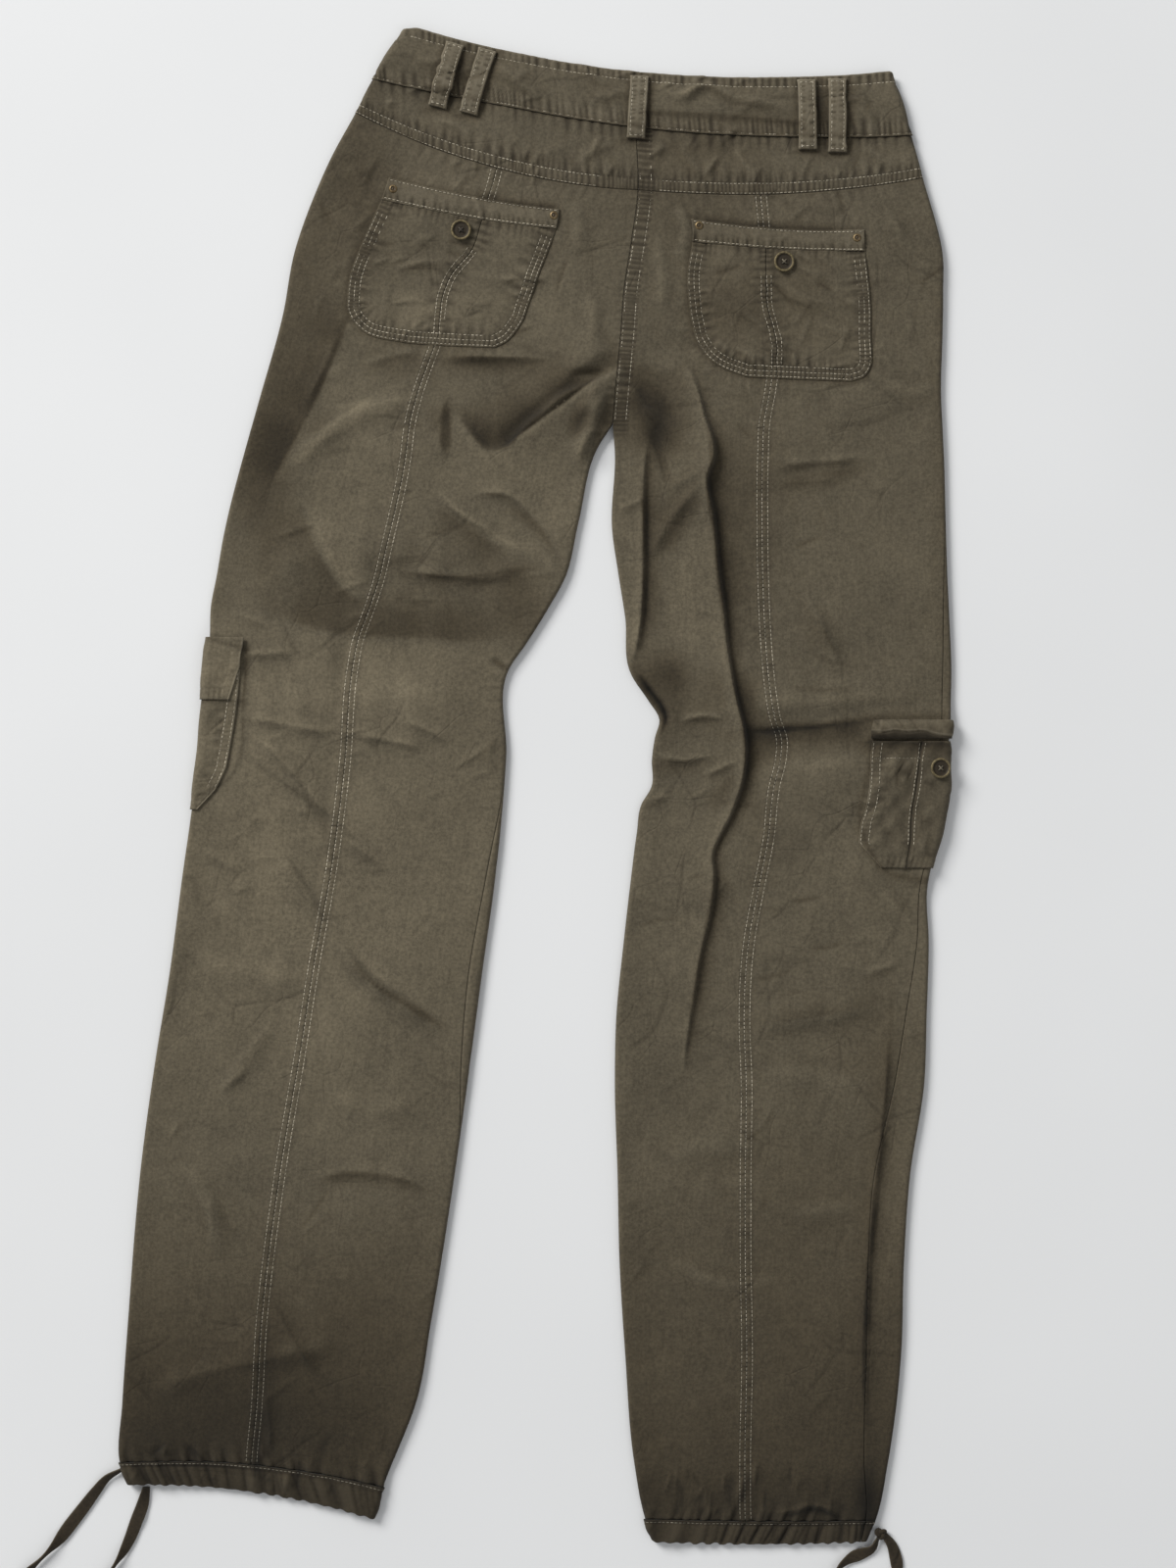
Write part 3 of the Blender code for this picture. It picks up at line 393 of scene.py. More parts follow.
RIGHT_SECTIONS = (
    (0, 255.5, 518, 70.5, 518, 4.3, 151.9, 0, 0), (41, 270.5, 471.5, 70, 477, 3.6, 156.2, 0, 0),
    (80, 279, 440.5, 71.5, 432, 7.1, 160.7, 0, 0), (115, 292, 393, 67, 396.5, 5.7, 164.2, 0, 0),
    (155, 293.5, 357, 61.5, 360.5, 4.3, 165.4, 0, 0), (190, 293, 325, 59, 328.5, 2.9, 170.6, 0, 0),
    (238, 292, 282, 55, 285.5, 0, 167.3, 0, 0), (260, 293, 260.5, 53, 262, 0, 163.2, 0, 0),
    (280, 294, 240.5, 54.5, 241.5, 0, 162.3, 0, 0),
    (335, 295.5, 185.5, 52.5, 185.5, 0, 161.9, 2, 0),
    (367, 296.5, 153.5, 57, 153.5, 0, 162.4, 4, 0), (399, 298, 121.5, 62, 121.5, 0, 163.5, 6, 0),
    (442, 299.5, 78.5, 67, 78.5, 0, 166.5, 8, 0), (460, 299, 60.5, 79, 60.5, 0, 168.6, 8, 0),
    (474, 298.5, 46.5, 87, 46.5, 0, 171.5, 8, 0), (485, 297.5, 35, 84, 35, 0, 175.5, 8, 0),
    (503, 297, 18, 81.5, 18, 0, 175.2, 8, 0), (523, 297, -2.5, 81, -2.5, 0, 170.3, 8, 0),
    (535, 295.5, -14.5, 74, -14.5, 0, 168.8, 8, 0), (556, 291, -35.5, 70.5, -35.5, 0, 167, 7, 0),
    (595, 282, -75, 65.5, -75, 0, 159.5, 7, 0), (635, 283, -114.5, 61, -114.5, 0, 152.2, 10, 0),
    (691, 281.5, -170.5, 55.5, -170.5, 0, 148.8, 17, 0),
    (735, 280, -215.5, 54.5, -215.5, 0, 150.3, 23, 0),
    (805, 269.5, -285, 56.5, -285, 0, 149.6, 28, 0), (870, 265, -350, 58, -350, 0, 149.7, 28, 0),
    (935, 263, -414.5, 62, -414.5, 0, 150.8, 27, 0),
    (1013, 253.5, -493, 68.5, -493, 0, 149.3, 19, 0),
    (1055, 244.5, -535.5, 76.5, -534.5, 1.4, 149.7, 9, 0),
    (1071, 238, -551, 82, -551, 2.1, 150.6, 6, 0),
)

# Cargo pockets lie partly under the leg and lift it. Columns: down, and layers under the leg.
LEFT_PAD = ((398, 0), (415, 2), (461, 2), (476, 1), (540, 1), (556, 0))
LEFT_PAD_REACH = 86
RIGHT_PAD = ((460, 0), (474, 2), (488, 2), (500, 1), (584, 1), (600, 0))
RIGHT_PAD_REACH = 52
PAD_SLOPE = 16
PAD_LAYER = 1.75

# %% [markdown]
# ## Folds and creases
# A fold in cloth is a ridge along a path. Across it the height is a bell that may be broad on one
# side and steep on the other, and along it the height rises from nothing and dies away again,
# a little unevenly. Sharp pressed creases use the same bell with a smaller power, which gives it
# a pointed top. All ridges add up on a raster of heights one millimetre apart, and the cloth
# reads its height from that. This costs one pass over the raster, not one for each panel.

# %% Large folds, with a height at every point of their paths
# Each row: reach to the left and to the right of someone who walks along it, power, and then x,
# y and height of each point.
GREAT_FOLDS = (
    # inner thigh of the right leg, from the seat past the knee
    (1.8, 20, 1.15, 106, 304, 0, 112, 293, 3, 119, 269, 5, 126, 236, 8, 121, 224, 7.5, 125, 199, 7,
     129, 159, 6.5, 133, 128, 6.5, 136, 98, 6.5, 140, 73, 7, 144, 54, 8, 148, 39, 8.5, 149, 21, 8,
     147, 4, 7, 143, -10, 6.5, 138, -23, 6, 131, -36, 5, 125, -51, 4, 126, -64, 4.5, 124, -91, 4.2,
     117, -121, 3.8, 111, -159, 3.2, 106, -191, 2.4, 104, -214, 0),
    (1.5, 12, 1.1, 78, 250, 0, 76, 232, 2.5, 75, 189, 3.6, 75, 148, 3.6, 73, 118, 4, 70, 100, 4, 66,
     86, 0),
    # from the centre of the seat out over the left thigh: a slope, a valley and a full fold
    (9, 17, 1.8, 50, 322, 0, 41, 314, 4, 26, 300, 5, 11, 289, 5, -16, 269, 4, -46, 250, 0),
    (22, 3, 1.4, 62, 303, 0, 50, 296, 5.5, 34, 289, 7, 16, 281, 7.5, 3, 270, 7, -13, 256, 6, -24,
     244, 5.5, -36, 242, 5, -51, 256, 4.5, -63, 271, 0),
)

# %% Creases, the same height all along until they fade
# Each row: height (negative for a trough), reach to the left and to the right, power, and then x
# and y of each point.
CREASES = (
    # inner right thigh and knee
    (-5, 3, 3, 1.6, 72, 79, 79, 70, 92, 47, 87, 35), (3, 5, 6, 1.6, 94, 214, 109, 223, 125, 232),
    (4, 5, 7, 1.6, 78, 161, 93, 189, 106, 206, 120, 224), (-3, 5, 5, 2, 81, 259, 88, 239, 94, 218),
    (3.5, 5, 5, 1.6, 64, 289, 74, 275, 85, 259), (-3, 9, 9, 2, 74, 294, 86, 279, 99, 260),
    (3, 5, 4, 1.6, 101, 46, 118, 49, 136, 47), (3, 6, 4, 1.6, 84, 20, 102, 17, 129, 22),
    (2.5, 5, 4, 1.6, 119, 6, 144, 17), (2.5, 6, 4, 1.6, 74, -13, 95, -9),
    (2.5, 6, 4, 1.6, 56, 199, 78, 207),
    # right thigh and knee
    (4, 26, 12, 2, 140, 60, 170, 60, 215, 62, 256, 66, 300, 70),
    (3.6, 14, 36, 2, 140, 6, 170, 8, 215, 12, 240, 16, 256, 18),
    (-3, 2.6, 3, 1.3, 146, 38, 178, 39, 205, 42, 240, 47),
    (2.5, 11, 4, 1.6, 169, 230, 199, 234, 227, 236, 244, 239),
    (1.5, 6, 4, 1.6, 168, 219, 196, 221, 226, 222), (2.4, 7, 5, 1.6, 191, 139, 203, 116, 220, 90),
    (1.6, 4, 5, 1.6, 196, 131, 208, 107, 221, 79),
    # right calf
    (3.5, 22, 11, 2, 149, -174, 183, -171, 214, -166, 255, -157),
    (2.4, 12, 22, 2, 156, -211, 183, -212, 233, -220, 249, -223),
    (2, 5, 4, 1.5, 235, -139, 264, -129), (2, 5, 6, 1.5, 249, -77, 261, -90, 274, -105),
    (2.4, 16, 14, 2, 92, -271, 128, -263, 171, -266),
    (2, 10, 14, 2, 178, -314, 206, -309, 235, -311),
    (1.8, 8, 10, 2, 99, -350, 135, -364, 178, -359),
    (1.6, 6, 6, 1.6, 106, -443, 121, -464, 126, -493),
    (4, 5, 6, 1.6, 256, -150, 251, -226, 245, -285, 238, -354, 235, -414, 238, -505),
    # left seat and crotch
    (2, 6, 8, 1.5, -144, 334, -158, 300, -175, 267),
    (2.2, 7, 5, 1.6, -128, 305, -108, 311, -85, 315), (3, 9, 4, 1.6, -75, 310, -29, 310, 14, 309),
    (-2.6, 3, 3, 1.4, 50, 303, 34, 290, 19, 279, -8, 259, -34, 240),
    (-3, 5, 5, 2, 21, 296, 35, 299, 52, 296), (3, 5, 5, 1.6, 44, 291, 36, 279, 26, 263),
    (7, 9, 12, 2, 47, 292, 40, 268, 34, 248, 25, 224),
    (2.2, 4, 10, 1.6, -69, 284, -72, 261, -71, 233),
    (3, 13, 10, 2, -76, 282, -108, 276, -134, 268, -161, 250, -192, 224),
    (3.2, 10, 5, 1.4, -76, 215, -62, 199, -49, 190, -30, 181),
    (2.6, 9, 5, 1.5, -51, 209, -24, 210, -4, 194, 12, 170),
    (2.6, 13, 5, 1.7, -105, 156, -72, 151, -46, 149, -6, 156),
    # left thigh and knee
    (2, 7, 6, 1.6, -155, 174, -149, 154, -142, 140, -122, 133),
    (4.4, 30, 32, 2, -226, 160, -165, 166, -122, 168, -60, 166, -10, 158),
    (4, 26, 50, 2, -236, 50, -165, 58, -122, 60, -79, 62, -36, 66),
    (2, 6, 5, 1.5, -226, 125, -211, 120, -196, 114), (-2.5, 4, 4, 1.6, -36, 92, -22, 83),
    (2.2, 7, 4, 1.6, -218, 94, -197, 94, -174, 96),
    (2.6, 11, 5, 1.6, -219, 49, -186, 43, -164, 39, -140, 36),
    (2.4, 9, 4, 1.6, -135, 36, -108, 31, -82, 25), (2.2, 8, 4, 1.6, -99, 46, -82, 39, -64, 30),
    (2.4, 8, 7, 1.4, -214, 41, -194, 23, -172, -1, -149, -30),
    (2.2, 7, 5, 1.5, -144, -39, -129, -49, -111, -62), (2.6, 5, 5, 1.5, -24, 41, -37, 22, -24, 7),
    # left calf
    (2, 6, 5, 1.5, -246, -48, -231, -56, -217, -66),
    (2.2, 6, 6, 1.5, -190, -53, -177, -72, -161, -96),
    (2, 6, 5, 1.5, -194, -122, -185, -136, -176, -151),
    (4.2, 5, 11, 1.5, -151, -107, -133, -132, -115, -150, -88, -167, -61, -185),
    (3, 9, 6, 1.6, -191, -169, -209, -194, -234, -226),
    (2.2, 10, 5, 1.5, -165, -288, -144, -283, -126, -283, -101, -287, -75, -299),
    (2.8, 6, 6, 1.4, -195, -371, -179, -400, -159, -435), (2, 5, 5, 1.5, -232, -223, -211, -206),
    (2.4, 5, 6, 1.5, -201, -439, -196, -466, -197, -491),
    (2.6, 5, 3, 1.6, 168, -531, 184, -528, 198, -524, 210, -527, 224, -535),
    (2.4, 15, 14, 2, -286, -443, -251, -431, -209, -422),
    (2.4, 13, 12, 2, -199, -417, -172, -411, -144, -406),
    (2.2, 14, 16, 2, -251, -129, -215, -136, -158, -143),
    (2, 12, 14, 2, -158, -221, -122, -236, -79, -229),
    (1.8, 8, 9, 2, -258, -271, -240, -307, -235, -350),
    # waistband and yokes
    (3.5, 6, 5, 1.7, 80, 509, 101, 499, 121, 508, 138, 499, 159, 495, 186, 489),
    (2, 6, 4, 1.6, -91, 527, -79, 524, -64, 529), (2.2, 7, 4, 1.6, -86, 510, -74, 506, -61, 507),
    (2, 6, 5, 1.6, -33, 524, -19, 511, 1, 497), (2.2, 5, 5, 1.6, 26, 523, 38, 514, 48, 506),
    (1.8, 6, 5, 1.6, 64, 500, 51, 503, 35, 494), (1.8, 5, 6, 1.6, 56, 466, 39, 460, 26, 449),
    (1.4, 5, 5, 1.6, 35, 471, 14, 463, -4, 457), (1.6, 6, 5, 1.6, 101, 466, 109, 451, 122, 439),
    (1.6, 5, 6, 1.6, 141, 464, 151, 450, 168, 437), (1.4, 5, 5, 1.6, 234, 464, 244, 457, 254, 449),
    (1.6, 6, 6, 1.6, -79, 484, -58, 476, -46, 464),
    # back pockets and the seat between them
    (1.6, 8, 8, 1.7, -105, 374, -79, 379, -51, 376), (1.4, 7, 7, 1.7, -52, 370, -22, 366, 4, 369),
    (2.2, 6, 5, 1.6, -111, 366, -112, 350, -108, 336),
    (1.8, 6, 7, 1.6, 116, 364, 139, 349, 163, 335), (1.6, 6, 6, 1.6, 126, 322, 141, 309),
    (1.6, 6, 6, 1.6, 172, 366, 181, 358, 219, 346), (1.5, 6, 6, 1.6, 198, 336, 214, 329, 232, 325),
    (1.8, 9, 9, 2, 24, 425, 29, 404, 26, 384), (1.6, 8, 8, 2, 84, 400, 89, 364, 86, 336),
    (1.6, 8, 9, 2, 34, 357, 39, 336, 35, 317), (2, 7, 7, 2, 99, 421, 106, 403, 102, 384),
    (1.6, 6, 6, 1.6, -142, 450, -132, 436, -128, 418),
    (1.8, 7, 8, 1.6, 253, 418, 264, 400, 275, 384), (2, 8, 9, 2, 249, 293, 271, 286, 291, 289),
)

# %% The raster of heights
CREASE_GAIN = 0.9
FIELD_X = np.arange(-330, 320, 1.0)
FIELD_Y = np.arange(-575, 570, 1.0)
FIELD = np.zeros((len(FIELD_Y), len(FIELD_X)))


def crease(field, left, right, power, points):
    """Adds height * exp(-(distance / reach)^power) along a smooth path through the points."""
    path = through(points, 5.0)
    margin = 2.6 * max(left, right) + 2
    (x0, y0), (x1, y1) = path[:, :2].min(0) - margin, path[:, :2].max(0) + margin
    i0, i1 = np.searchsorted(FIELD_X, (x0, x1))
    j0, j1 = np.searchsorted(FIELD_Y, (y0, y1))
    x, y = np.meshgrid(FIELD_X[i0:i1], FIELD_Y[j0:j1])
    nearest, side, height = np.full(x.shape, 1e9), np.zeros(x.shape), np.zeros(x.shape)
    for start, run in zip(path, np.diff(path, axis=0)):
        size = math.hypot(run[0], run[1])
        u = np.clip(((x - start[0]) * run[0] + (y - start[1]) * run[1]) / size**2, 0, 1)
        dx, dy = x - start[0] - u * run[0], y - start[1] - u * run[1]
        distance = np.hypot(dx, dy)
        closer = distance < nearest
        nearest = np.where(closer, distance, nearest)
        side = np.where(closer, (run[0] * dy - run[1] * dx) / size, side)
        height = np.where(closer, start[2] + u * run[2], height)
    reach = right + (left - right) * ease(side, -0.7, 0.7)
    field[j0:j1, i0:i1] += height * np.exp(-((nearest / reach) ** power))


def even_crease(field, height, left, right, power, points, phase):
    """The same, with a height that rises from nothing, wavers and dies away."""
    path = through(np.reshape(points, (-1, 2)), 6.0)
    length = travelled(path)
    share = length / length[-1]
    waver = 1 + 0.18 * np.sin(length / 9 + phase) + 0.12 * np.sin(length / 4.3 + 2 * phase)
    rise = ease(share, 0, 0.28) * ease(1 - share, 0, 0.35)
    crease(field, left, right, power, np.column_stack([path, height * rise * waver]))


for left, right, power, *points in GREAT_FOLDS:
    crease(FIELD, left, right, power, np.reshape(points, (-1, 3)))
for number, (height, left, right, power, *path) in enumerate(CREASES):
    sharp = power if power > 1.9 else 0.6 + 0.45 * power
    even_crease(FIELD, CREASE_GAIN * height, 0.65 * left, 0.65 * right, sharp, path, number)
print("folds and creases:", len(GREAT_FOLDS) + len(CREASES), "highest", round(FIELD.max(), 1), "mm")

# %% [markdown]
# Between the creases the cloth is never quite level. A sum of waves with random directions and
# lengths gives it broad swells, and a second sum of shorter ones gives the small crumple of
# washed cotton. The random numbers come from a seeded generator, so each run is the same.

# %% Swells and crumple
def waves(seed, count, shortest, longest, amplitude):
    """Sum of sines whose directions and phases are random and whose lengths lie in a range."""
    pick = np.random.default_rng(seed)
    x, y = np.meshgrid(FIELD_X, FIELD_Y)
    total = np.zeros(x.shape)
    for _ in range(count):
        long = shortest * (longest / shortest) ** pick.random()
        angle = pick.random() * math.pi
        turn = 2 * math.pi * pick.random()
        slope = (x * math.cos(angle) + y * math.sin(angle)) * 2 * math.pi / long
        total += long / longest * np.sin(slope + turn)
    return amplitude * total / total.std()


patches = ease(waves(5, 10, 70, 150, 1.0), -0.8, 1.2)
SWELL = waves(1, 14, 60, 150, 0.6) + waves(2, 16, 28, 60, 0.16) * patches
# the absolute value of a wave has a sharp valley wherever the wave crosses nothing
SWELL += 0.3 * patches * np.minimum(np.abs(waves(3, 12, 30, 80, 1.0)), 1.0)
SWELL += waves(4, 30, 7, 20, 0.05)
FIELD += SWELL
print("swell from", round(SWELL.min(), 2), "to", round(SWELL.max(), 2), "mm")

# Areas where cotton keeps small pressed wrinkles. Columns: how many, their usual direction in
# degrees, longest, tallest, and the area's left, right, lower and upper edge.
WRINKLES = (
    (36, 60, 22, 1.0, -130, 280, 436, 476), (28, 20, 26, 0.9, -110, 250, 488, 520),
    (22, 15, 34, 0.7, -130, 10, 326, 404), (26, -30, 34, 0.9, 116, 238, 300, 384),
    (24, 70, 34, 0.6, -180, 290, 300, 440), (20, 10, 46, 0.6, -240, 20, 150, 300),
    (18, -20, 42, 0.6, 60, 290, 60, 300), (22, 20, 44, 0.6, -270, -40, -120, 150),
    (20, 10, 40, 0.6, 60, 280, -190, 60), (14, 40, 44, 0.5, -290, -70, -440, -120),
    (12, 50, 44, 0.5, 66, 250, -480, -190), (16, 60, 22, 0.9, 242, 292, -64, 22),
    (40, 85, 24, 0.9, -305, -115, -512, -478), (40, 85, 24, 0.9, 72, 240, -535, -502),
)
# a raster of the dye's wear and of painted light and shade, as a logarithm of how much lighter
DYE_AND_SHADE = np.zeros(FIELD.shape)


def add_wrinkles():
    """Short creases at random places, with directions that stray up to 50 degrees. Each has a line of
    painted shade along its foot, and a line on its crest painted lighter, partly wear and partly painted
    highlight."""
    draw = np.random.default_rng(17).random
    number = 0
    for many, usual, longest, tallest, left, right, low, high in WRINKLES:
        for _ in range(many):
            at = np.array([left + (right - left) * draw(), low + (high - low) * draw()])
            angle = math.radians(usual + 50 * (2 * draw() - 1) ** 3)
            bend = 0.5 * (draw() - 0.5)
            long = longest * (0.35 + 0.65 * draw())
            tall = 1.5 * tallest * (0.3 + 0.7 * draw()) * (1 if draw() < 0.75 else -1)
            steep, broad = 1.1 + 0.6 * draw(), 2.0 + 3.5 * draw()
            steps = []
            for share in (0, 0.33, 0.67, 1):
                ahead = angle + bend * (share - 0.5)
                steps.append(at + long * (share - 0.5) * np.array([math.cos(ahead), math.sin(ahead)]))
            even_crease(FIELD, tall, broad, steep, 1.15, steps, number)
            even_crease(DYE_AND_SHADE, 0.12 * tall, 0.8, 0.8, 1.2, steps, number)
            even_crease(DYE_AND_SHADE, -0.3 * abs(tall), 0.5, 2.0, 1.2, steps, number)
            number += 1
    return number


print("small wrinkles:", add_wrinkles())


def from_field(field, x, y):
    """Height at any place, weighed from the four nearest points of the raster."""
    u = np.clip(x - FIELD_X[0], 0, len(FIELD_X) - 1.001)
    v = np.clip(y - FIELD_Y[0], 0, len(FIELD_Y) - 1.001)
    i, j = u.astype(int), v.astype(int)
    u, v = u - i, v - j
    low = field[j, i] * (1 - u) + field[j, i + 1] * u
    high = field[j + 1, i] * (1 - u) + field[j + 1, i + 1] * u
    return low * (1 - v) + high * v


# %% [markdown]
# The stitching of a pocket draws the seat together all round it. So the outlines of the pockets
# are worked out here, and short creases leave them at uneven steps.

# %% Lines of the back pockets, and creases round them
# Nine lines across each pocket: x and y at its left, x and y at its right, how far it bows towards
# the hem, and where the pocket's own seam is.
LEFT_POCKET = (
    (-111.4, 440.7, 12.1, 417.9, 2.5, 0.58), (-116.4, 424.3, 10, 403.5, 2.5, 0.57),
    (-127.9, 397.9, 3.2, 383.6, 1, 0.59), (-137.9, 372.1, -1.4, 370.7, 0, 0.54),
    (-140.3, 352.1, -5, 358.6, 0, 0.514), (-139.3, 342.1, -9.3, 346.4, 0, 0.514),
    (-132.9, 332.9, -13.2, 335.7, 0, 0.497), (-121.4, 325.7, -22.9, 322.9, 1, 0.475),
    (-95, 320.7, -33, 317.1, 0.5, 0.33),
)
RIGHT_POCKET = (
    (110, 410.7, 235.7, 402.9, 3, 0.43), (110.7, 394, 236.4, 387.1, 2, 0.426),
    (107.1, 370.7, 238.6, 370.7, 1, 0.435), (108.6, 345.7, 240.7, 348.6, 0, 0.43),
    (110.7, 334.3, 240.7, 325.7, 0, 0.456), (113.9, 322.1, 241.4, 312.9, 0, 0.457),
    (122.1, 310, 240.7, 303.6, 0, 0.42), (133.6, 302.1, 235.7, 296.1, 0.5, 0.378),
    (150, 296.1, 226.4, 292.9, 0, 0.29),
)
POCKETS = {"left": LEFT_POCKET, "right": RIGHT_POCKET}
# x and y of the top and of the foot of each belt loop
BELT_LOOPS = ((-62, 538, -75, 492), (-38.6, 533.5, -52.5, 487), (72.5, 514.5, 69.6, 469),
              (193.6, 511.5, 194.5, 461), (216.1, 512.5, 216.1, 459))


def pocket_line(table, rows):
    """Columns of the table at fractional rows, on a smooth curve through the rows."""
    table = np.array(table)
    rows = np.asarray(rows, float)
    return np.stack([smooth(np.arange(len(table)), table[:, k], rows) for k in range(6)], -1)


def pocket_xy(table, rows, share):
    """x and y at rows and at shares of the width, on the bowed lines across the pocket."""
    line = pocket_line(table, rows)
    x = line[..., 0] + (line[..., 2] - line[..., 0]) * share
    y = line[..., 1] + (line[..., 3] - line[..., 1]) * share
    return x, y - line[..., 4] * 4 * share * (1 - share)


def line_at(table, rows, share):
    """The same, as rows of x and y."""
    return np.stack(pocket_xy(table, *np.broadcast_arrays(rows, share)), -1)


def outline_of(table):
    """The left side, the foot and the right side of a pocket as one line of x and y."""
    rows, share = np.linspace(1, 8, 43), np.linspace(0, 1, 16)[1:-1]
    return np.concatenate([line_at(table, rows, 0), line_at(table, 8, share), line_at(table, rows[::-1], 1)])


def seam_of(table):
    """The pocket's own seam, from the foot of its band down."""
    rows = np.linspace(1, 8, 22)
    return line_at(table, rows, pocket_line(table, rows)[:, 5])


def nearest_on(path, x, y):
    """Distance from x and y to a path, and how far along the path its nearest place is."""
    start, run = path[:-1], np.diff(path, axis=0)
    long = np.hypot(*run.T)
    run = run / long[:, None]
    dx, dy = x[..., None] - start[:, 0], y[..., None] - start[:, 1]
    along = np.clip(dx * run[:, 0] + dy * run[:, 1], 0, long)
    away = np.hypot(dx - along * run[:, 0], dy - along * run[:, 1])
    which = away.argmin(-1)[..., None]
    walked = along + travelled(path)[:-1]
    return tuple(np.take_along_axis(values, which, -1)[..., 0] for values in (away, walked))


def offset_line(path, inset):
    """A line inside a path that runs with its inside on the left; loops at corners are left out."""
    run = unit(np.gradient(path, axis=0))
    line = path + inset * np.stack([-run[:, 1], run[:, 0]], -1)
    return line[nearest_on(path, *line.T)[0] > abs(inset) - 0.25]


def add_pocket_creases(table, seed):
    """Creases that leave the outline and the opening, 5 to 14 mm long."""
    draw = np.random.default_rng(seed).random
    for path, away in ((outline_of(table), -1), (line_at(table, 0, np.linspace(0, 1, 12)), 1)):
        at = 3.0
        while at < travelled(path)[-1] - 3:
            root, ahead = walked_to(np.array([at, at + 1]), path)
            ahead = ahead - root
            side_way = away * np.array([-ahead[1], ahead[0]]) / np.hypot(*ahead)
            long = 5 + 9 * draw()
            lean = 0.7 * (draw() - 0.5) * ahead
            tip = root + (side_way + lean) * long
            tall = 0.35 + 0.5 * draw()
            even_crease(FIELD, tall, 2.2, 1.6, 1.4, (root, (root * 2 + tip) / 3, tip), at)
            at += 4.2 + 4.5 * draw()


add_pocket_creases(LEFT_POCKET, 5)
add_pocket_creases(RIGHT_POCKET, 6)
print("outline of the left pocket:", round(travelled(outline_of(LEFT_POCKET))[-1]), "mm")

# %% [markdown]
# Light and shade are painted into the dye here, along with its wear. Strokes beside the folds are painted
# shadow on their shaded side, crests are painted lighter and hollows darker, wide patches are painted
# lighter or darker, a painted shadow lies under the waistband, and the colour is darker towards the hems.

# %% Where the dye is worn, and where light and shade are painted
# Patches of painted light and shade. Columns: x and y of the middle, reach along x and y, and amount
# (0.3 is about a third lighter).
PATCHES = (
    (-175, -50, 100, 170, 0.34), (-60, -60, 60, 120, 0.12), (-195, -170, 70, 60, 0.1),
    (-133, 232, 34, 62, 0.22), (-180, 384, 34, 70, -0.3), (-60, 222, 40, 30, 0.18),
    (10, 205, 34, 44, 0.25), (4, 262, 30, 16, 0.12), (-60, 342, 90, 24, 0.16),
    (-100, 82, 80, 24, 0.22), (-120, 165, 60, 26, -0.1), (-150, 150, 30, 14, 0.3),
    (88, 268, 17, 30, -0.65), (-19, 268, 20, 14, -0.2), (-14, 128, 22, 26, -0.4),
    (-228, 78, 14, 24, 0.35), (-196, 180, 20, 60, -0.2), (165, 352, 60, 34, -0.25),
    (98, 196, 10, 20, -0.2), (66, 140, 12, 60, 0.2), (106, 150, 20, 70, 0.26),
    (92, 84, 16, 14, -0.5), (124, 66, 22, 18, -0.25), (235, -40, 60, 110, 0.08),
    (104, -40, 40, 110, 0.08), (92, 12, 22, 8, -0.3), (-200, -455, 60, 34, -0.3),
    (-262, -480, 40, 30, -0.25), (120, -420, 50, 90, 0.2), (200, -280, 70, 30, -0.12),
    (250, -470, 20, 60, -0.2), (-100, 160, 30, 12, -0.15), (54, 262, 16, 16, -0.4),
    (160, -30, 16, 60, -0.12), (-235, 20, 16, 40, 0.1), (-130, 435, 22, 60, -0.4),
    (110, 425, 60, 30, -0.17), (118, 462, 40, 14, -0.25), (-98, 306, 36, 12, -0.2),
    (90, 306, 12, 9, 0.3), (50, 308, 14, 10, -0.3), (88, 264, 12, 14, -0.3),
    (160, 210, 26, 50, -0.25), (-95, 118, 60, 13, -0.22), (190, 35, 66, 6, -0.25),
    (-215, -470, 100, 50, -0.3), (165, -330, 110, 80, -0.13), (296, 250, 12, 200, -0.16),
    (130, 340, 20, 16, -0.2), (-20, 380, 24, 60, 0.06), (-196, 230, 16, 60, -0.25),
    (86, 240, 10, 20, -0.3), (-285, -470, 24, 60, -0.25), (245, -190, 30, 40, -0.2),
    (-130, -390, 40, 40, -0.2), (270, 40, 36, 6, -0.25), (238, -523, 7, 22, -1.3),
    (268, -20, 22, 42, -0.14), (92, 78, 12, 10, -0.3), (-19, 150, 10, 10, -0.3),
    (160, 480, 80, 16, -0.08), (99, 71, 7, 16, -0.35), (152, 57, 5, 12, -0.4),
    (86, 259, 5, 14, -0.3), (70, 279, 8, 8, -0.35), (24, 293, 7, 8, -0.3), (-36, 257, 8, 10, -0.25),
    (-158, 257, 9, 12, -0.3), (-161, 306, 20, 16, 0.28), (-90, 344, 45, 12, 0.16),
    (-19, 230, 30, 18, 0.16), (107, 496, 26, 12, 0.25), (-197, -415, 10, 40, -0.35),
    (160, 2, 14, 14, 0.2), (-126, -150, 14, 16, 0.2), (200, 58, 60, 10, 0.12),
    (160, 38, 14, 7, -0.3), (231, 382, 14, 22, 0.18), (-90, 154, 14, 9, 0.22),
    (-197, -40, 14, 60, 0.16), (204, 492, 3.5, 12, -0.9), (-57, 518, 4, 9, -0.8),
)
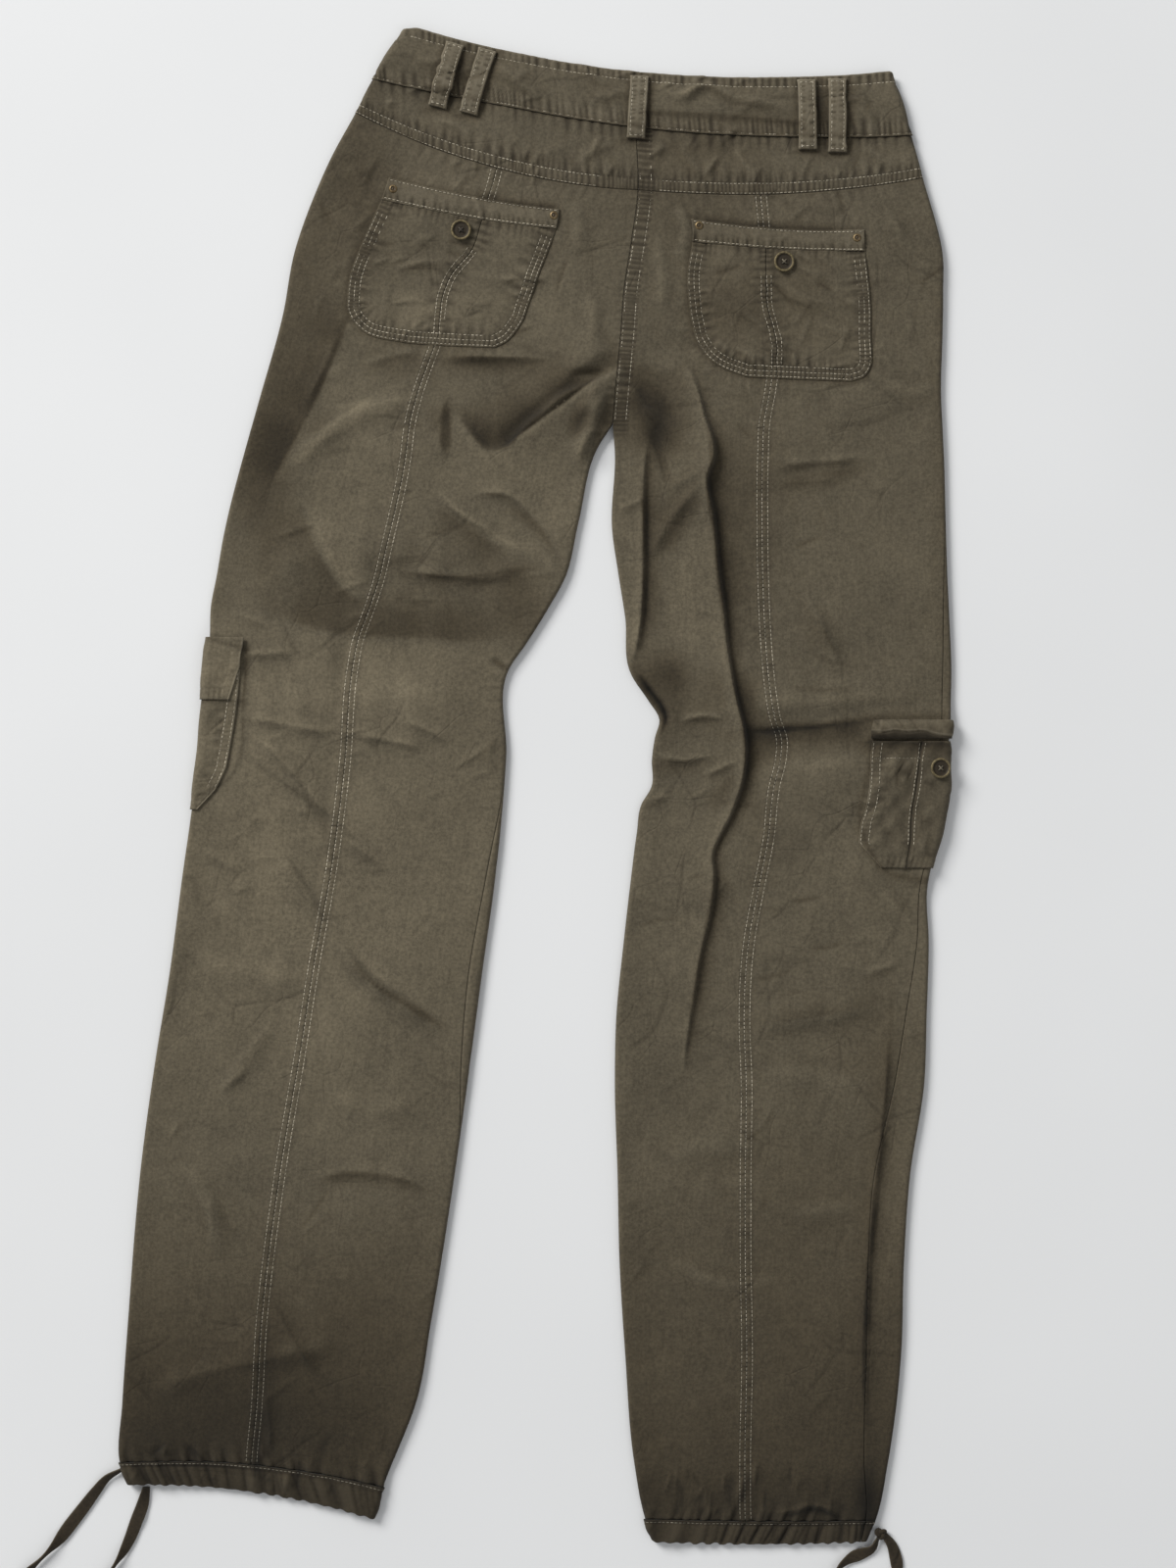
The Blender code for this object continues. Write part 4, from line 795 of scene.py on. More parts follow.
# Strokes of painted shadow beside the folds, and a few of painted light on crests. Each row: amount,
# reach to the left and to the right of someone who walks along, power, and then x and y of each point.
STROKES = (
    (-0.85, 14, 1.2, 1.3, 118, 276, 124, 236, 122, 214, 127, 177, 130, 144, 139, 80),
    (-0.7, 13, 1.2, 1.3, 138, 90, 144, 58, 148, 39, 149, 22, 147, 0, 138, -24),
    (-0.5, 8, 1.2, 1.3, 130, -34, 125, -52, 126, -70, 120, -105, 112, -150, 105, -208),
    (-0.65, 10, 1.2, 1.3, 71, 236, 75, 193, 75, 155, 74, 122, 67, 88),
    (-0.9, 9, 3, 1.3, 64, 94, 76, 68, 90, 49, 86, 26),
    (-0.4, 4, 9, 1.5, 84, 166, 100, 190, 110, 207, 120, 226),
    (-0.55, 13, 6, 1.5, 66, 312, 74, 280, 80, 256, 90, 228),
    (0.18, 2, 6, 1.5, 58, 288, 79, 268, 84, 246, 93, 220),
    (-0.35, 1.5, 6, 1.3, 168, 220, 199, 224, 224, 228, 246, 233),
    (-0.3, 1.2, 4, 1.3, 176, 71, 206, 69, 237, 70),
    (-1.1, 2.6, 8, 1.2, 143, 37, 165, 37, 181, 41, 206, 41, 256, 49),
    (-0.28, 3, 10, 1.5, 117, -19, 132, -4, 147, 12),
    (-0.75, 1.5, 30, 1.8, -132, 362, -150, 312, -164, 280, -180, 250, -194, 224, -208, 180),
    (0.32, 14, 2, 1.3, -172, 212, -164, 189, -155, 168, -142, 149, -118, 132),
    (-0.4, 2, 20, 1.6, -178, 205, -168, 180, -158, 160, -146, 142, -120, 125),
    (-0.5, 24, 3.5, 1.6, -212, 134, -177, 120, -136, 111, -86, 109, -41, 107, -8, 118),
    (0.22, 3, 3, 1.3, -198, 222, -171, 240, -148, 263, -119, 282, -88, 297),
    (-0.45, 5, 6, 1.6, -80, 311, -47, 307, -21, 305, 10, 310),
    (-0.7, 1.5, 8, 1.5, -68, 281, -66, 257, -66, 236),
    (-1.1, 17, 1.4, 1.4, -66, 274, -51, 257, -36, 243, -24, 245, -13, 257, 3, 271, 16, 282, 34, 290,
     54, 299),
    (0.3, 2.5, 2, 1.2, -76, 210, -53, 193, -29, 179, -13, 171, 9, 174),
    (-0.35, 1.5, 14, 1.6, -80, 205, -57, 187, -33, 173, -15, 164),
    (-0.8, 1.3, 1.5, 1.1, -106, 155, -79, 151, -54, 150, -31, 153, 6, 159),
    (-0.35, 3, 5, 1.4, -31, 206, -9, 193, 7, 175, 13, 155),
    (-0.4, 1.2, 1.2, 1.2, -52, 208, -34, 211, -19, 206),
    (-0.6, 6, 6, 1.6, 35, 275, 28, 262, 23, 249),
    (-0.35, 1.2, 3, 1.2, -224, 30, -194, 7, -151, -25, -113, -62),
    (-0.35, 1.2, 3, 1.2, -185, -50, -161, -89, -150, -113),
    (-0.5, 1.5, 6, 1.3, -153, -109, -129, -139, -94, -161, -58, -185),
    (0.2, 6, 1.2, 1.3, -149, -104, -125, -133, -92, -156, -58, -180),
    (-0.4, 1.3, 4, 1.2, -168, -291, -144, -283, -126, -283, -101, -287, -72, -300),
    (-0.4, 2, 2, 1.2, -197, -367, -179, -400, -157, -438),
    (-0.9, 1.2, 3, 1.2, 257, -140, 251, -226, 245, -285, 238, -354, 235, -414, 238, -510),
    (-0.6, 1, 1, 1.2, 250, -260, 241, -350, 238, -420, 240, -500),
    (-0.3, 8, 1.5, 1.4, 145, -176, 183, -171, 214, -166, 258, -157),
    (-0.3, 1.3, 8, 1.4, -290, -445, -251, -431, -205, -421, -140, -405),
    (-0.5, 1.2, 7, 1.3, -202, -440, -196, -466, -197, -496),
    (-0.7, 0.6, 1.6, 1.2, 172, -534, 184, -531, 198, -527, 210, -530, 224, -538),
    (-0.7, 1.0, 3, 1.2, -203, -470, -205, -490, -203, -512),
    (-0.6, 1.2, 3, 1.2, -262, -478, -250, -486, -240, -498),
    (-0.5, 1.2, 3, 1.2, -150, -470, -158, -484, -160, -500),
    (-0.5, 1.2, 3, 1.2, 100, -505, 104, -518, 102, -534),
    (-0.5, 1.2, 3, 1.2, 142, -500, 138, -516, 140, -532),
)
# Lines of painted shadow, as dark all along: amount, reach to the left and to the right, and x and y
# of each point. They lie under the waistband where it stands off, and round the cargo pockets and flaps.
SHADES = (
    (-0.7, 1.2, 3.5, 78, 488, 110, 487, 150, 484, 188, 480),
    (-0.5, 1.2, 3, 243, 26, 235, -36, 250, -62, 283, -70),
    (-1.4, 2, 5, 240, 31, 262, 30.5, 292, 30),
    (-0.6, 3, 1.2, 238, 47, 265, 48, 292, 48),
    (-0.5, 2.5, 1, -240, 105, -213, 97),
    (-0.9, 2, 1, -213, 97, -214, 78, -216, 60),
    (-0.5, 1, 3, -248, 61, -216, 60),
    (-0.45, 2.5, 1, -216, 56, -218, 21, -223, 8, -249, -9),
)
# painted shadow and light along the folds, from the table of strokes
for number, (amount, left, right, power, *path) in enumerate(STROKES):
    even_crease(DYE_AND_SHADE, 1.15 * amount, left, right, power, path, number)
for _, _, _, *path in GREAT_FOLDS[:2]:
    # a painted shadow line under the edge of a fold, three millimetres out from its crest
    even_crease(DYE_AND_SHADE, -0.9, 1.3, 1.1, 1.2, np.reshape(path, (-1, 3))[:, :2] + (3, 0), 0)
for number, (height, left, right, power, *path) in enumerate(CREASES):
    if power < 1.9:
        # a line on the crest painted lighter, partly wear and partly painted highlight, and painted shade
        # along its steep side
        even_crease(DYE_AND_SHADE, 0.1 * height, 0.8, 0.8, 1.2, path, number)
        steep = (2.2, 0.6) if left < right else (0.6, 2.2)
        even_crease(DYE_AND_SHADE, -0.24 * abs(height), *steep, 1.2, path, number)


def shade(amount, left, right, line):
    """Painted shade, the same darkening all along a line of x and y."""
    crease(DYE_AND_SHADE, left, right, 1.2, np.column_stack([line, np.full(len(line), amount)]))


# painted shadow round each back pocket's outline, along its opening and under its band
for table in POCKETS.values():
    shade(-0.4, 0.8, 2.2, outline_of(table)[::4])
    shade(-0.4, 2.4, 0.8, line_at(table, 0, np.linspace(0.02, 0.98, 5)))
    shade(-0.3, 0.8, 2.0, line_at(table, 1, np.linspace(0.02, 0.98, 5)))
# painted shade in the openings, which gape where the pockets are used most
shade(-0.8, 3.0, 0.8, line_at(LEFT_POCKET, 0, np.linspace(0.55, 0.97, 4)))
shade(-0.8, 3.0, 0.8, line_at(RIGHT_POCKET, 0, np.linspace(0.1, 0.8, 4)))
# painted shadow beside each belt loop and under its foot
for top_x, top_y, low_x, low_y in BELT_LOOPS:
    for away, amount, left, right in ((8, -0.8, 3, 1), (-7.5, -0.5, 1, 2)):
        shade(amount, left, right, ((top_x + away, top_y - 2), (low_x + away, low_y + 4)))
    shade(-0.6, 1.0, 3.0, ((low_x - 7, low_y - 0.5), (low_x + 7, low_y - 0.5)))
for amount, left, right, *line in SHADES:
    shade(amount, left, right, np.reshape(line, (-1, 2)))


def blurred(field, reach):
    """Running averages along both directions, twice, which is close to a bell."""
    for axis in (0, 1, 0, 1):
        width = [(reach + 1, reach) if k == axis else (0, 0) for k in (0, 1)]
        total = np.cumsum(np.pad(field, width, mode="edge"), axis)
        size, full = field.shape[axis], 2 * reach + 1
        field = (total.take(range(full, full + size), axis) - total.take(range(size), axis)) / full
    return field


# painted light and shade by the form, partly as wear: crests lighter and hollows darker
crests = (FIELD - blurred(FIELD, 2)) + 0.25 * (FIELD - blurred(FIELD, 6))
DYE_AND_SHADE += 0.16 * np.tanh(crests / 0.3)


def wash_and_shade_at(x, y):
    """Natural logarithm of how much lighter the colour is: the raster of dye and painted light and shade,
    wide bells of painted light and shade, and darker towards the hems.
    """
    total = from_field(DYE_AND_SHADE, x, y) - 0.85 * ease(-y, 250, 560) - 0.3 * ease(-y, 490, 520)
    for px, py, rx, ry, amount in PATCHES:
        total = total + amount * np.exp(-(((x - px) / rx) ** 2) - ((y - py) / ry) ** 2)
    return total


# what the colour at the left hem is scaled by, wear and painted shade together
print("dye at the left hem:", round(float(np.exp(wash_and_shade_at(np.array(-200.0), np.array(-500.0)))), 2))

# %% [markdown]
# ## Places on the cloth
# One class turns down and around into a point, for a whole grid at once. The fold at each side is
# half an ellipse, the back is the top of the flat tube with all its folds, and the front lies on
# the surface. Its directions out of the cloth come from small steps to either side.

# %% Half of the garment
def closed_at(down):
    """0 above the crotch, where the halves join at the centre seams, and 1 where a leg is a tube."""
    return ease(down, CROTCH, CROTCH + 16)


def bowed(low, span, bow, share):
    """A place on a line between two ends that bows in its middle by a distance."""
    return low + span * share - bow * 4 * share * (1 - share)


class Half:
    """One half of the garment, from its table of sections."""

    def __init__(self, side, sections, pad, reach, casing, hem):
        self.side, self.casing, self.hem, self.reach = side, casing, hem, reach
        self.rows, self.pad = np.array(sections, float), np.array(pad, float)
        self.sign = -1 if side == "left" else 1
        self.corner = 13 if side == "left" else 5  # radius of the waistband's upper corner

    def column(self, number, down):
        """A column of the table at this place, on the smooth cubic."""
        return smooth(self.rows[:, 0], self.rows[:, number], down)

    def inner_column(self, number, down):
        """The centre seam and the inner fold are two curves that meet at the crotch."""
        seat, leg = self.rows[self.rows[:, 0] <= CROTCH], self.rows[self.rows[:, 0] >= CROTCH]
        above = smooth(seat[:, 0], seat[:, number], np.minimum(down, CROTCH))
        below = smooth(leg[:, 0], leg[:, number], np.maximum(down, CROTCH))
        return np.where(down < CROTCH, above, below)

    def line(self, down):
        """One end of the section at this place, the way from it to the other end, and its width."""
        outer = np.stack([self.column(1, down), self.column(2, down)], -1)
        inner = np.stack([self.inner_column(3, down), self.inner_column(4, down)], -1)
        span = inner - outer
        return outer, span, np.hypot(span[..., 0], span[..., 1])

    def girth(self, down):
        """Millimetres of cloth from the side fold over the back to the inner edge."""
        return self.line(down)[2] + (1 + closed_at(down)) * (ROLL_ARC - ROLL)

    def back_edges(self, down):
        """Around at the side seam and at the inseam, where they show on the back."""
        return self.column(7, down), self.girth(down) - self.column(8, down)

    def front_edges(self, down):
        """The same two seams from the front, half a gap away from the back's edges."""
        return self.column(7, down) - GAP / 2, -self.girth(down) - self.column(8, down) + GAP / 2

    def seam_around(self, down):
        """Where the seam down the middle of the leg is, in millimetres around."""
        outer, span, width = self.line(down)
        share = (self.column(6, down) - outer[..., 0]) / span[..., 0]
        return share * width + ROLL_ARC - ROLL

    def lift(self, down, lap):
        """How far a cargo pocket under the leg raises it, softened over 10 mm."""
        layers = sum(np.interp(down + step, self.pad[:, 0], self.pad[:, 1]) for step in (-5, 0, 5))
        return PAD_LAYER * layers / 3 * ease(-lap, -self.reach - PAD_SLOPE, -self.reach)

    def height(self, x, y, down, across, width, closed):
        """Laid height, more at the seat, a puff at the folds and the raster's height, which fades at the
        edges. A smooth maximum, log(1 + e^3h) / 3, keeps the sum above the least height."""
        puff = bell(across, PUFF_REACH) + closed * bell(width - across, PUFF_REACH)
        high = LAID_HEIGHT + SEAT_EXTRA * (1 - ease(down, 60, 420)) + EDGE_PUFF * puff
        from_edge = np.where(closed > 0.5, np.minimum(across, width - across), across)
        level = 0.15 + 0.85 * ease(from_edge, 0, PUFF_REACH)
        high = high + level * from_field(FIELD, x, y)
        return LEAST_HEIGHT + np.logaddexp(0, 3 * (high - LEAST_HEIGHT)) / 3

    def place(self, down, around):
        """The point on the outside of the cloth at this place, in millimetres."""
        down, around = np.broadcast_arrays(np.asarray(down, float), np.asarray(around, float))
        outer, span, width = self.line(down)
        closed = closed_at(down)
        girth = width + (1 + closed) * (ROLL_ARC - ROLL)
        lap = np.abs(around)
        past = (lap > girth) & (closed > 0.5)
        lap = np.where(past, 2 * girth - lap, lap)
        upper = (around >= 0) != past
        side_angle = np.clip(lap / ROLL_ARC, 0, 1) * math.pi / 2
        inner_arc = np.maximum(closed * ROLL_ARC, 1e-6)
        inner_angle = np.clip((girth - lap) / inner_arc, 0, 1) * math.pi / 2
        turning = (girth - lap < inner_arc) & (closed > 0)
        across = lap - (ROLL_ARC - ROLL)
        across = np.where(lap < ROLL_ARC, ROLL * (1 - np.cos(side_angle)), across)
        across = np.where(turning, width - closed * ROLL * (1 - np.cos(inner_angle)), across)
        rise = np.sin(side_angle) * (1 - closed * (1 - np.sin(inner_angle)))
        share = across / width
        x = outer[..., 0] + span[..., 0] * share
        y = bowed(outer[..., 1], span[..., 1], self.column(5, down), share)
        low = self.lift(down, lap)
        high = low + self.height(x, y, down, across, width, closed)
        middle = low + HALF_EDGE
        under = low + 0.5 * np.clip(from_field(FRONT_FIELD, x, y), 0, 1) * rise
        return np.stack([x, y, middle + (np.where(upper, high, under) - middle) * rise], -1)

    def out(self, down, around):
        """The direction out of the cloth at this place."""
        step_down = self.place(down + 0.7, around) - self.place(down - 0.7, around)
        step_around = self.place(down, around + 0.4) - self.place(down, around - 0.4)
        return unit(self.sign * np.cross(step_around, step_down))

    def both(self, down, around):
        """Points and directions out."""
        return self.place(down, around), self.out(down, around)

    def find(self, x, y):
        """Down and around, on the back, of a place given by x and y, closing in by steps."""
        down = np.interp(-np.asarray(y, float), -self.rows[:, 4], self.rows[:, 0])
        for _ in range(14):
            outer, span, width = self.line(down)
            share = (x - outer[..., 0]) * span[..., 0] + (y - outer[..., 1]) * span[..., 1]
            share = np.clip(share / width**2, 0, 1)
            level = bowed(outer[..., 1], span[..., 1], self.column(5, down), share)
            down = np.clip(down + 0.9 * (level - y), 0, self.rows[-1, 0])
        return down, share * width + ROLL_ARC - ROLL


FRONT_FIELD = waves(7, 18, 30, 110, 0.4)
for number, (height, left, right, power, *path) in enumerate(CREASES[::3]):
    mirrored = np.reshape(path, (-1, 2)) + (9, -14)
    even_crease(FRONT_FIELD, 0.5, 0.7 * left, 0.7 * right, power, mirrored, number)
LEFT = Half("left", LEFT_SECTIONS, LEFT_PAD, LEFT_PAD_REACH, LEFT_CASING, LEFT_HEM)
RIGHT = Half("right", RIGHT_SECTIONS, RIGHT_PAD, RIGHT_PAD_REACH, RIGHT_CASING, RIGHT_HEM)
print("hem of the left leg is", round(float(LEFT.girth(1030.0)), 1), "mm wide when flat")


def skin_at(x, y):
    """Points on the back's outside and the directions out, for places given by x and y."""
    x, y = np.broadcast_arrays(np.asarray(x, float), np.asarray(y, float))
    on_right = (x > np.interp(-y, -LEFT.rows[:8, 4], LEFT.rows[:8, 3]))[..., None]
    left, right = LEFT.both(*LEFT.find(x, y)), RIGHT.both(*RIGHT.find(x, y))
    return tuple(np.where(on_right, b, a) for a, b in zip(left, right))


# %% [markdown]
# ## What sewing does to cloth
# Thread pulls a seam shorter than the cloth beside it, so the cloth puckers into small ribs across
# the seam, and washing fades the tops of those ribs, while the dips between them get painted shade.
# The ribs are made with a wave whose length wanders: its phase runs on unevenly, so no two ribs are the same.

# %% Ribs, seam bands and puckers
def uneven(at, length, seed):
    """A wave between -1 and 1 whose length and height wander along it."""
    a, b, c, d = np.random.default_rng(seed).random(4) * 2 * math.pi
    at = at / length
    phase = at + 0.55 * np.sin(at / 2.7 + a) / 2 + 0.4 * np.sin(at / 5.9 + b) / 2
    tall = 0.7 + 0.3 * np.sin(at / 3.3 * 2 + c) + 0.22 * np.sin(at / 1.9 * 2 + d)
    return np.sin(2 * math.pi * phase) * tall


def pinches(at, length, seed, width=0.23, least=0.25):
    """Sharp narrow dips, from least to 1 deep, at uneven steps: exp(-(steps to the dip / width)^1.3)."""
    a, b = np.random.default_rng(seed).random(2) * 2 * math.pi
    at = at / length
    phase = at + 0.5 * np.sin(at / 1.7 + a) + 0.9 * np.sin(at / 4.1 + b)
    near = np.round(phase)
    deep = least + (1 - least) * np.mod(43.7 * np.abs(np.sin(12.99 * near + seed)), 1)
    return deep * np.exp(-((np.abs(phase - near) / width) ** 1.3))


def band_across(distance, half_width, edge=1.2):
    """1 within a band beside a line, easing to 0 past its edge."""
    return 1 - ease(np.abs(distance), half_width - edge / 2, half_width + edge / 2)


def groove(distance, width=0.55):
    """A narrow dip along a stitch row."""
    return -bell(distance, width)


def grooves(distance, *rows, width=0.55):
    """Dips along several rows of stitches at these distances."""
    return sum(groove(distance - row, width) for row in rows)


def worn(fade):
    """Fade within its limits: above nothing the cloth is worn lighter, below nothing it is painted darker as
    shade in dips and folds.
    """
    return np.clip(fade, -0.4, 1)


TRIPLE = 3.9  # outer rows of the triple stitching from the seam


def leg_relief(half, down, around):
    """Raised seam bands, stitch grooves and puckers, and how faded the cloth is there, with painted shade in
    the dips.
    """
    distance = around - half.seam_around(down)
    band = band_across(distance, 5.3)
    pull = uneven(down, 8.5, 11 if half.side == "left" else 12)
    strong = 0.5 + 0.5 * ease(-down, -420, -260)
    relief = 0.28 * band + 0.13 * strong * pull * bell(distance, 8)
    relief = relief + 0.09 * strong * uneven(down, 3.3, 13) * band
    for row in (-TRIPLE, 0, TRIPLE):
        relief = relief + 0.22 * groove(distance - row)
    fade = band * (0.05 + 0.07 * strong * pull - 0.45 * pinches(down, 3.4, 14, 0.28))
    # puckers that hang from the yoke seam
    under = down - YOKE_SEAM
    hang = 0.45 * uneven(around, 9.5, 21) * bell(under, 9) * ease(under, -1, 3)
    reach = 4 + 4 * np.abs(uneven(around, 23, 23))
    hang = hang - 0.7 * pinches(around, 6.3, 22) * bell(under, reach) * ease(under, -1, 2)
    relief = relief + 0.5 * hang
    fade = fade + 0.2 * hang
    # gathers above the casing
    above, seen = half.casing - down, around > 0
    gather = 0.7 * uneven(around, 12.5, 31) * bell(above, 12)
    gather = gather - 1.2 * pinches(around + 0.12 * above, 7.4, 32) * bell(above, 8)
    relief = relief + 1.1 * gather * seen
    fade = fade + (0.35 * gather + 0.16 * bell(above, 5)) * seen
    # short ribs on the inseam, folded just round the inner edge
    inner = half.girth(down) - np.abs(around)
    rib = uneven(down, 7.2, 41) * bell(inner - 8, 6) * (down > CROTCH + 20)
    relief = relief + 0.14 * rib
    fade = fade + 0.04 * rib
    # centre seam of the seat: a band on its right with strong ribs
    seat = (1 - closed_at(down)) * seen
    if half.side == "right":
        wale = band_across(inner - 5.5, 5.8) * seat
        ribs = pinches(down, 3.9, 51, 0.28, 0.5)
        relief = relief + 0.4 * wale - 0.8 * ribs * wale
        relief = relief + 0.3 * grooves(inner, 1.4, 9.4) * seat
        fade = fade + wale * (0.18 - 1.1 * ribs)
    else:
        relief = relief + 0.35 * uneven(down, 6.4, 52) * bell(inner, 6) * seat
    # side seam of the right leg, where it shows on the back
    turn = half.column(7, down)
    relief = relief + ease(turn, 1.5, 5) * (0.3 * uneven(down, 8, 61) * bell(around - turn, 6))
    return relief, worn(fade)


def raised(skin, out, height):
    """Points moved out of the cloth by a height at each."""
    return skin + out * np.asarray(height)[..., None]


def sheet_of(half, down, around, relief, thickness, proud=0.0):
    """Outside and inside of a piece of the tube, raised along its own normals."""
    skin, out = half.both(*np.broadcast_arrays(down, around))
    outside = raised(skin, out, proud + relief)
    return outside, outside - out * thickness


def spread(start, end, shares):
    """Columns between two edges that change down the garment."""
    start, end = np.asarray(start, float)[:, None], np.asarray(end, float)[:, None]
    return start + (end - start) * np.asarray(shares)[None, :]


def rows_of(downs, columns):
    """The same number all along each row, in the shape of a grid of columns."""
    return np.broadcast_to(downs[:, None], columns.shape)


def stepped(first, last, fine, reach, coarse):
    """Numbers from first to last: fine steps within reach of both ends and coarse ones between."""
    head = np.arange(0, reach, fine)
    middle = np.linspace(first + reach, last - reach, max(2, round((last - first - 2 * reach) / coarse)))
    return np.concatenate([first + head, middle, last - head[::-1]])


def cut_of(outside):
    """Width, length and area in metres of the flat piece: longest rows, columns, and all cells."""
    across, along = (np.linalg.norm(np.diff(outside, axis=k), axis=-1).sum(k) for k in (1, 0))
    a, b = outside[1:, 1:] - outside[:-1, :-1], outside[1:, :-1] - outside[:-1, 1:]
    area = 0.5 * np.linalg.norm(np.cross(a, b), axis=-1).sum()
    return across.max() * MM, along.max() * MM, area * MM * MM


def add_cloth(name, outside, inside, slot, cloth, fade, held="laid", fullness=1.0, end="_cloth", **more):
    """A wall that stands for its solid; the size it was cut to is printed. Its
    cloth coordinates say how far each point is across and along the grain."""
    cloth = np.stack([*cloth, 0 * cloth[0]], -1)
    fade = fade + 0 * cloth[..., 0]
    piece = add_wall(name + end, outside, inside, [name], slot, cloth=cloth, fade=fade, **more)
    width, length, area = cut_of(outside)
    width = width * fullness
    print(f"{piece.name}: {width * 1000:.0f} x {length * 1000:.0f} mm, {area * 1e4:.0f} cm2")


# %% [markdown]
# ## Panels of the legs and seat
# The back of each leg is two panels that meet at the seam down its middle. Rows run across the leg,
# close together on the thigh with its many creases, and the columns are closer together at the
# seams, where the small ribs are. Each panel is a closed wall a millimetre thick, as the solids
# are, so it can be made without a hole.

# %% Back panels
KNEE = 600.0


def leg_rows(first, last, thigh, calf):
    """Rows a millimetre apart at both ends, with one step down to the knee and another below it."""
    ends = np.arange(0, 12, 1.0)
    upper, lower = np.arange(first + 12, KNEE, thigh), np.arange(KNEE, last - 12, calf)
    return by_threes(np.concatenate([first + ends, upper, lower, last - ends[::-1]]))[0]


def add_back_leg(half, part, columns, thigh, calf):
    """Columns 0.9 mm apart within 8 mm of both seams, and evenly spread between."""
    downs = leg_rows(YOKE_SEAM + GAP / 2, half.casing - GAP / 2, thigh, calf)
    middle = half.seam_around(downs)
    side_seam, inseam = half.back_edges(downs)
    start, end = (side_seam, middle) if part == "outer" else (middle, inseam)
    near = np.arange(0, 9, 0.9)[None, :]
    first = start[:, None] + GAP / 2 + near
    last = end[:, None] - GAP / 2 - near[:, ::-1]
    level = spread(first[:, -1], last[:, 0], np.linspace(0, 1, columns)[1:-1])
    around = by_threes(np.concatenate([first, level, last], 1))
    down = rows_of(downs, around)
    relief, fade = leg_relief(half, down, around)
    seam = np.stack([around - half.seam_around(down), down, np.ones_like(down)], -1)
    add_cloth(f"back_leg_{part}_{half.side}", *sheet_of(half, down, around, relief, SHELL), "cloth",
              (around, down), fade, seam=seam)


add_back_leg(LEFT, "outer", 80, 1.9, 2.5)
add_back_leg(LEFT, "inner", 98, 1.35, 2.3)
add_back_leg(RIGHT, "outer", 84, 1.8, 2.5)
add_back_leg(RIGHT, "inner", 102, 1.35, 2.1)

# %% Front panels and fly
FLY_WIDTH = 36.0
FLY_STRAIGHT = 170.0
FLY_END = 206.0


def fly_edge(down):
    """Width of the fly: straight, then a quarter of an ellipse in to the centre front."""
    u = np.clip((down - FLY_STRAIGHT) / (FLY_END - FLY_STRAIGHT), 0, 1)
    return FLY_WIDTH * np.sqrt(1 - u**2)


def add_plain(name, half, downs, around, fade=0.0, slot="cloth", relief=0.0, **more):
    """A piece of the hidden front, with little or no relief."""
    down = rows_of(downs, around)
    outside, inside = sheet_of(half, down, around, relief + 0 * down, SHELL)
    add_cloth(name, outside, inside, slot, (around, down), fade, **more)


def add_front_leg(half):
    """From the side seam round the fold, level under the leg, and round the inner fold. The left
    one is cut back at the centre by the width of the fly."""
    downs = stepped(BAND_SEAM + GAP / 2, half.casing - GAP / 2, 2.0, 8, 2.9)
    downs = np.sort(np.concatenate([downs, np.linspace(FLY_STRAIGHT + 0.1, FLY_END, 12)]))
    downs = by_threes(downs)[0]
    start, end = half.front_edges(downs)
    if half is LEFT:
        end = np.where(downs < FLY_END, end + fly_edge(downs) + GAP, end)
    turn = start[:, None] - np.linspace(0, 1, 22)[None, :] * (start[:, None] + ROLL_ARC + 1)
    back = np.linspace(1, 0, 7)[None, :] * (1 + (ROLL_ARC + half.column(8, downs))[:, None])
    inner = end[:, None] + back * np.maximum(closed_at(downs)[:, None], 0.3)
    level = spread(turn[:, -1], inner[:, 0], np.linspace(0, 1, 36)[1:-1])
    around = by_threes(np.concatenate([turn, level, inner], 1))
    add_plain(f"front_leg_{half.side}", half, downs, around)


def add_fly():
    """A strip from the centre front out to the fly's curved edge."""
    downs = by_threes(np.concatenate([np.arange(BAND_SEAM + GAP / 2, FLY_STRAIGHT, 4.0),
                                      np.linspace(FLY_STRAIGHT, FLY_END - GAP, 14)]))[0]
    girth = LEFT.girth(downs)
    edge = np.maximum(fly_edge(downs) - GAP / 2, 1.0)
    add_plain("fly", LEFT, downs, spread(GAP / 2 - girth, edge - girth, np.linspace(0, 1, 13)))


add_front_leg(LEFT)
add_front_leg(RIGHT)
add_fly()

# %% [markdown]
# ## Waistband, yokes and hem casings
# These pieces are cut double and pulled up short by their stitching, so they have the strongest
# ribs of all. The ribs grow from the stitch rows at the edges and die out in the middle.

# %% Waistband and yokes
BAND_ROWS = (6.8, 1.4)  # rows of stitches below the top edge and above the foot
YOKE_ROWS = (0.9, 7.2)  # rows above the yoke's seam


def waist_relief(x, down):
    """Fingers of cloth that hang from the top stitching and stand on the bottom seam; the dips between them
    are painted darker as shade.
    """
    low = BAND_SEAM - down
    hang = ease(down, 0.2, 1.6) * (1 - ease(down, 5.0, 9))
    stand = ease(low, 0.2, 1.5) * (1 - ease(low, 6, 14 + 3 * uneven(x, 11, 75)))
    dips = pinches(x, 5.0, 71, 0.27) * hang + pinches(x + 0.1 * low, 4.3, 73, 0.27) * stand
    soft = 0.4 * uneven(x, 8.3, 72) * (1 - ease(down, 7, 14))
    soft = soft + 0.5 * uneven(x, 8.9, 74) * (1 - ease(low, 9, 20))
    rows = groove(down - BAND_ROWS[0], 0.5) + groove(low - BAND_ROWS[1], 0.5)
    edge = band_across(down, 1.2) + band_across(low, 1.0)
    puff = np.sin(math.pi * np.clip((down - 6) / 26, 0, 1))
    relief = 0.25 * (hang + stand) - 0.95 * dips + 0.6 * soft + 0.35 * rows + 0.15 * edge + 0.9 * puff
    return relief, worn(0.3 * (hang + stand) - 1.2 * dips + 0.2 * soft + 0.45 * edge)


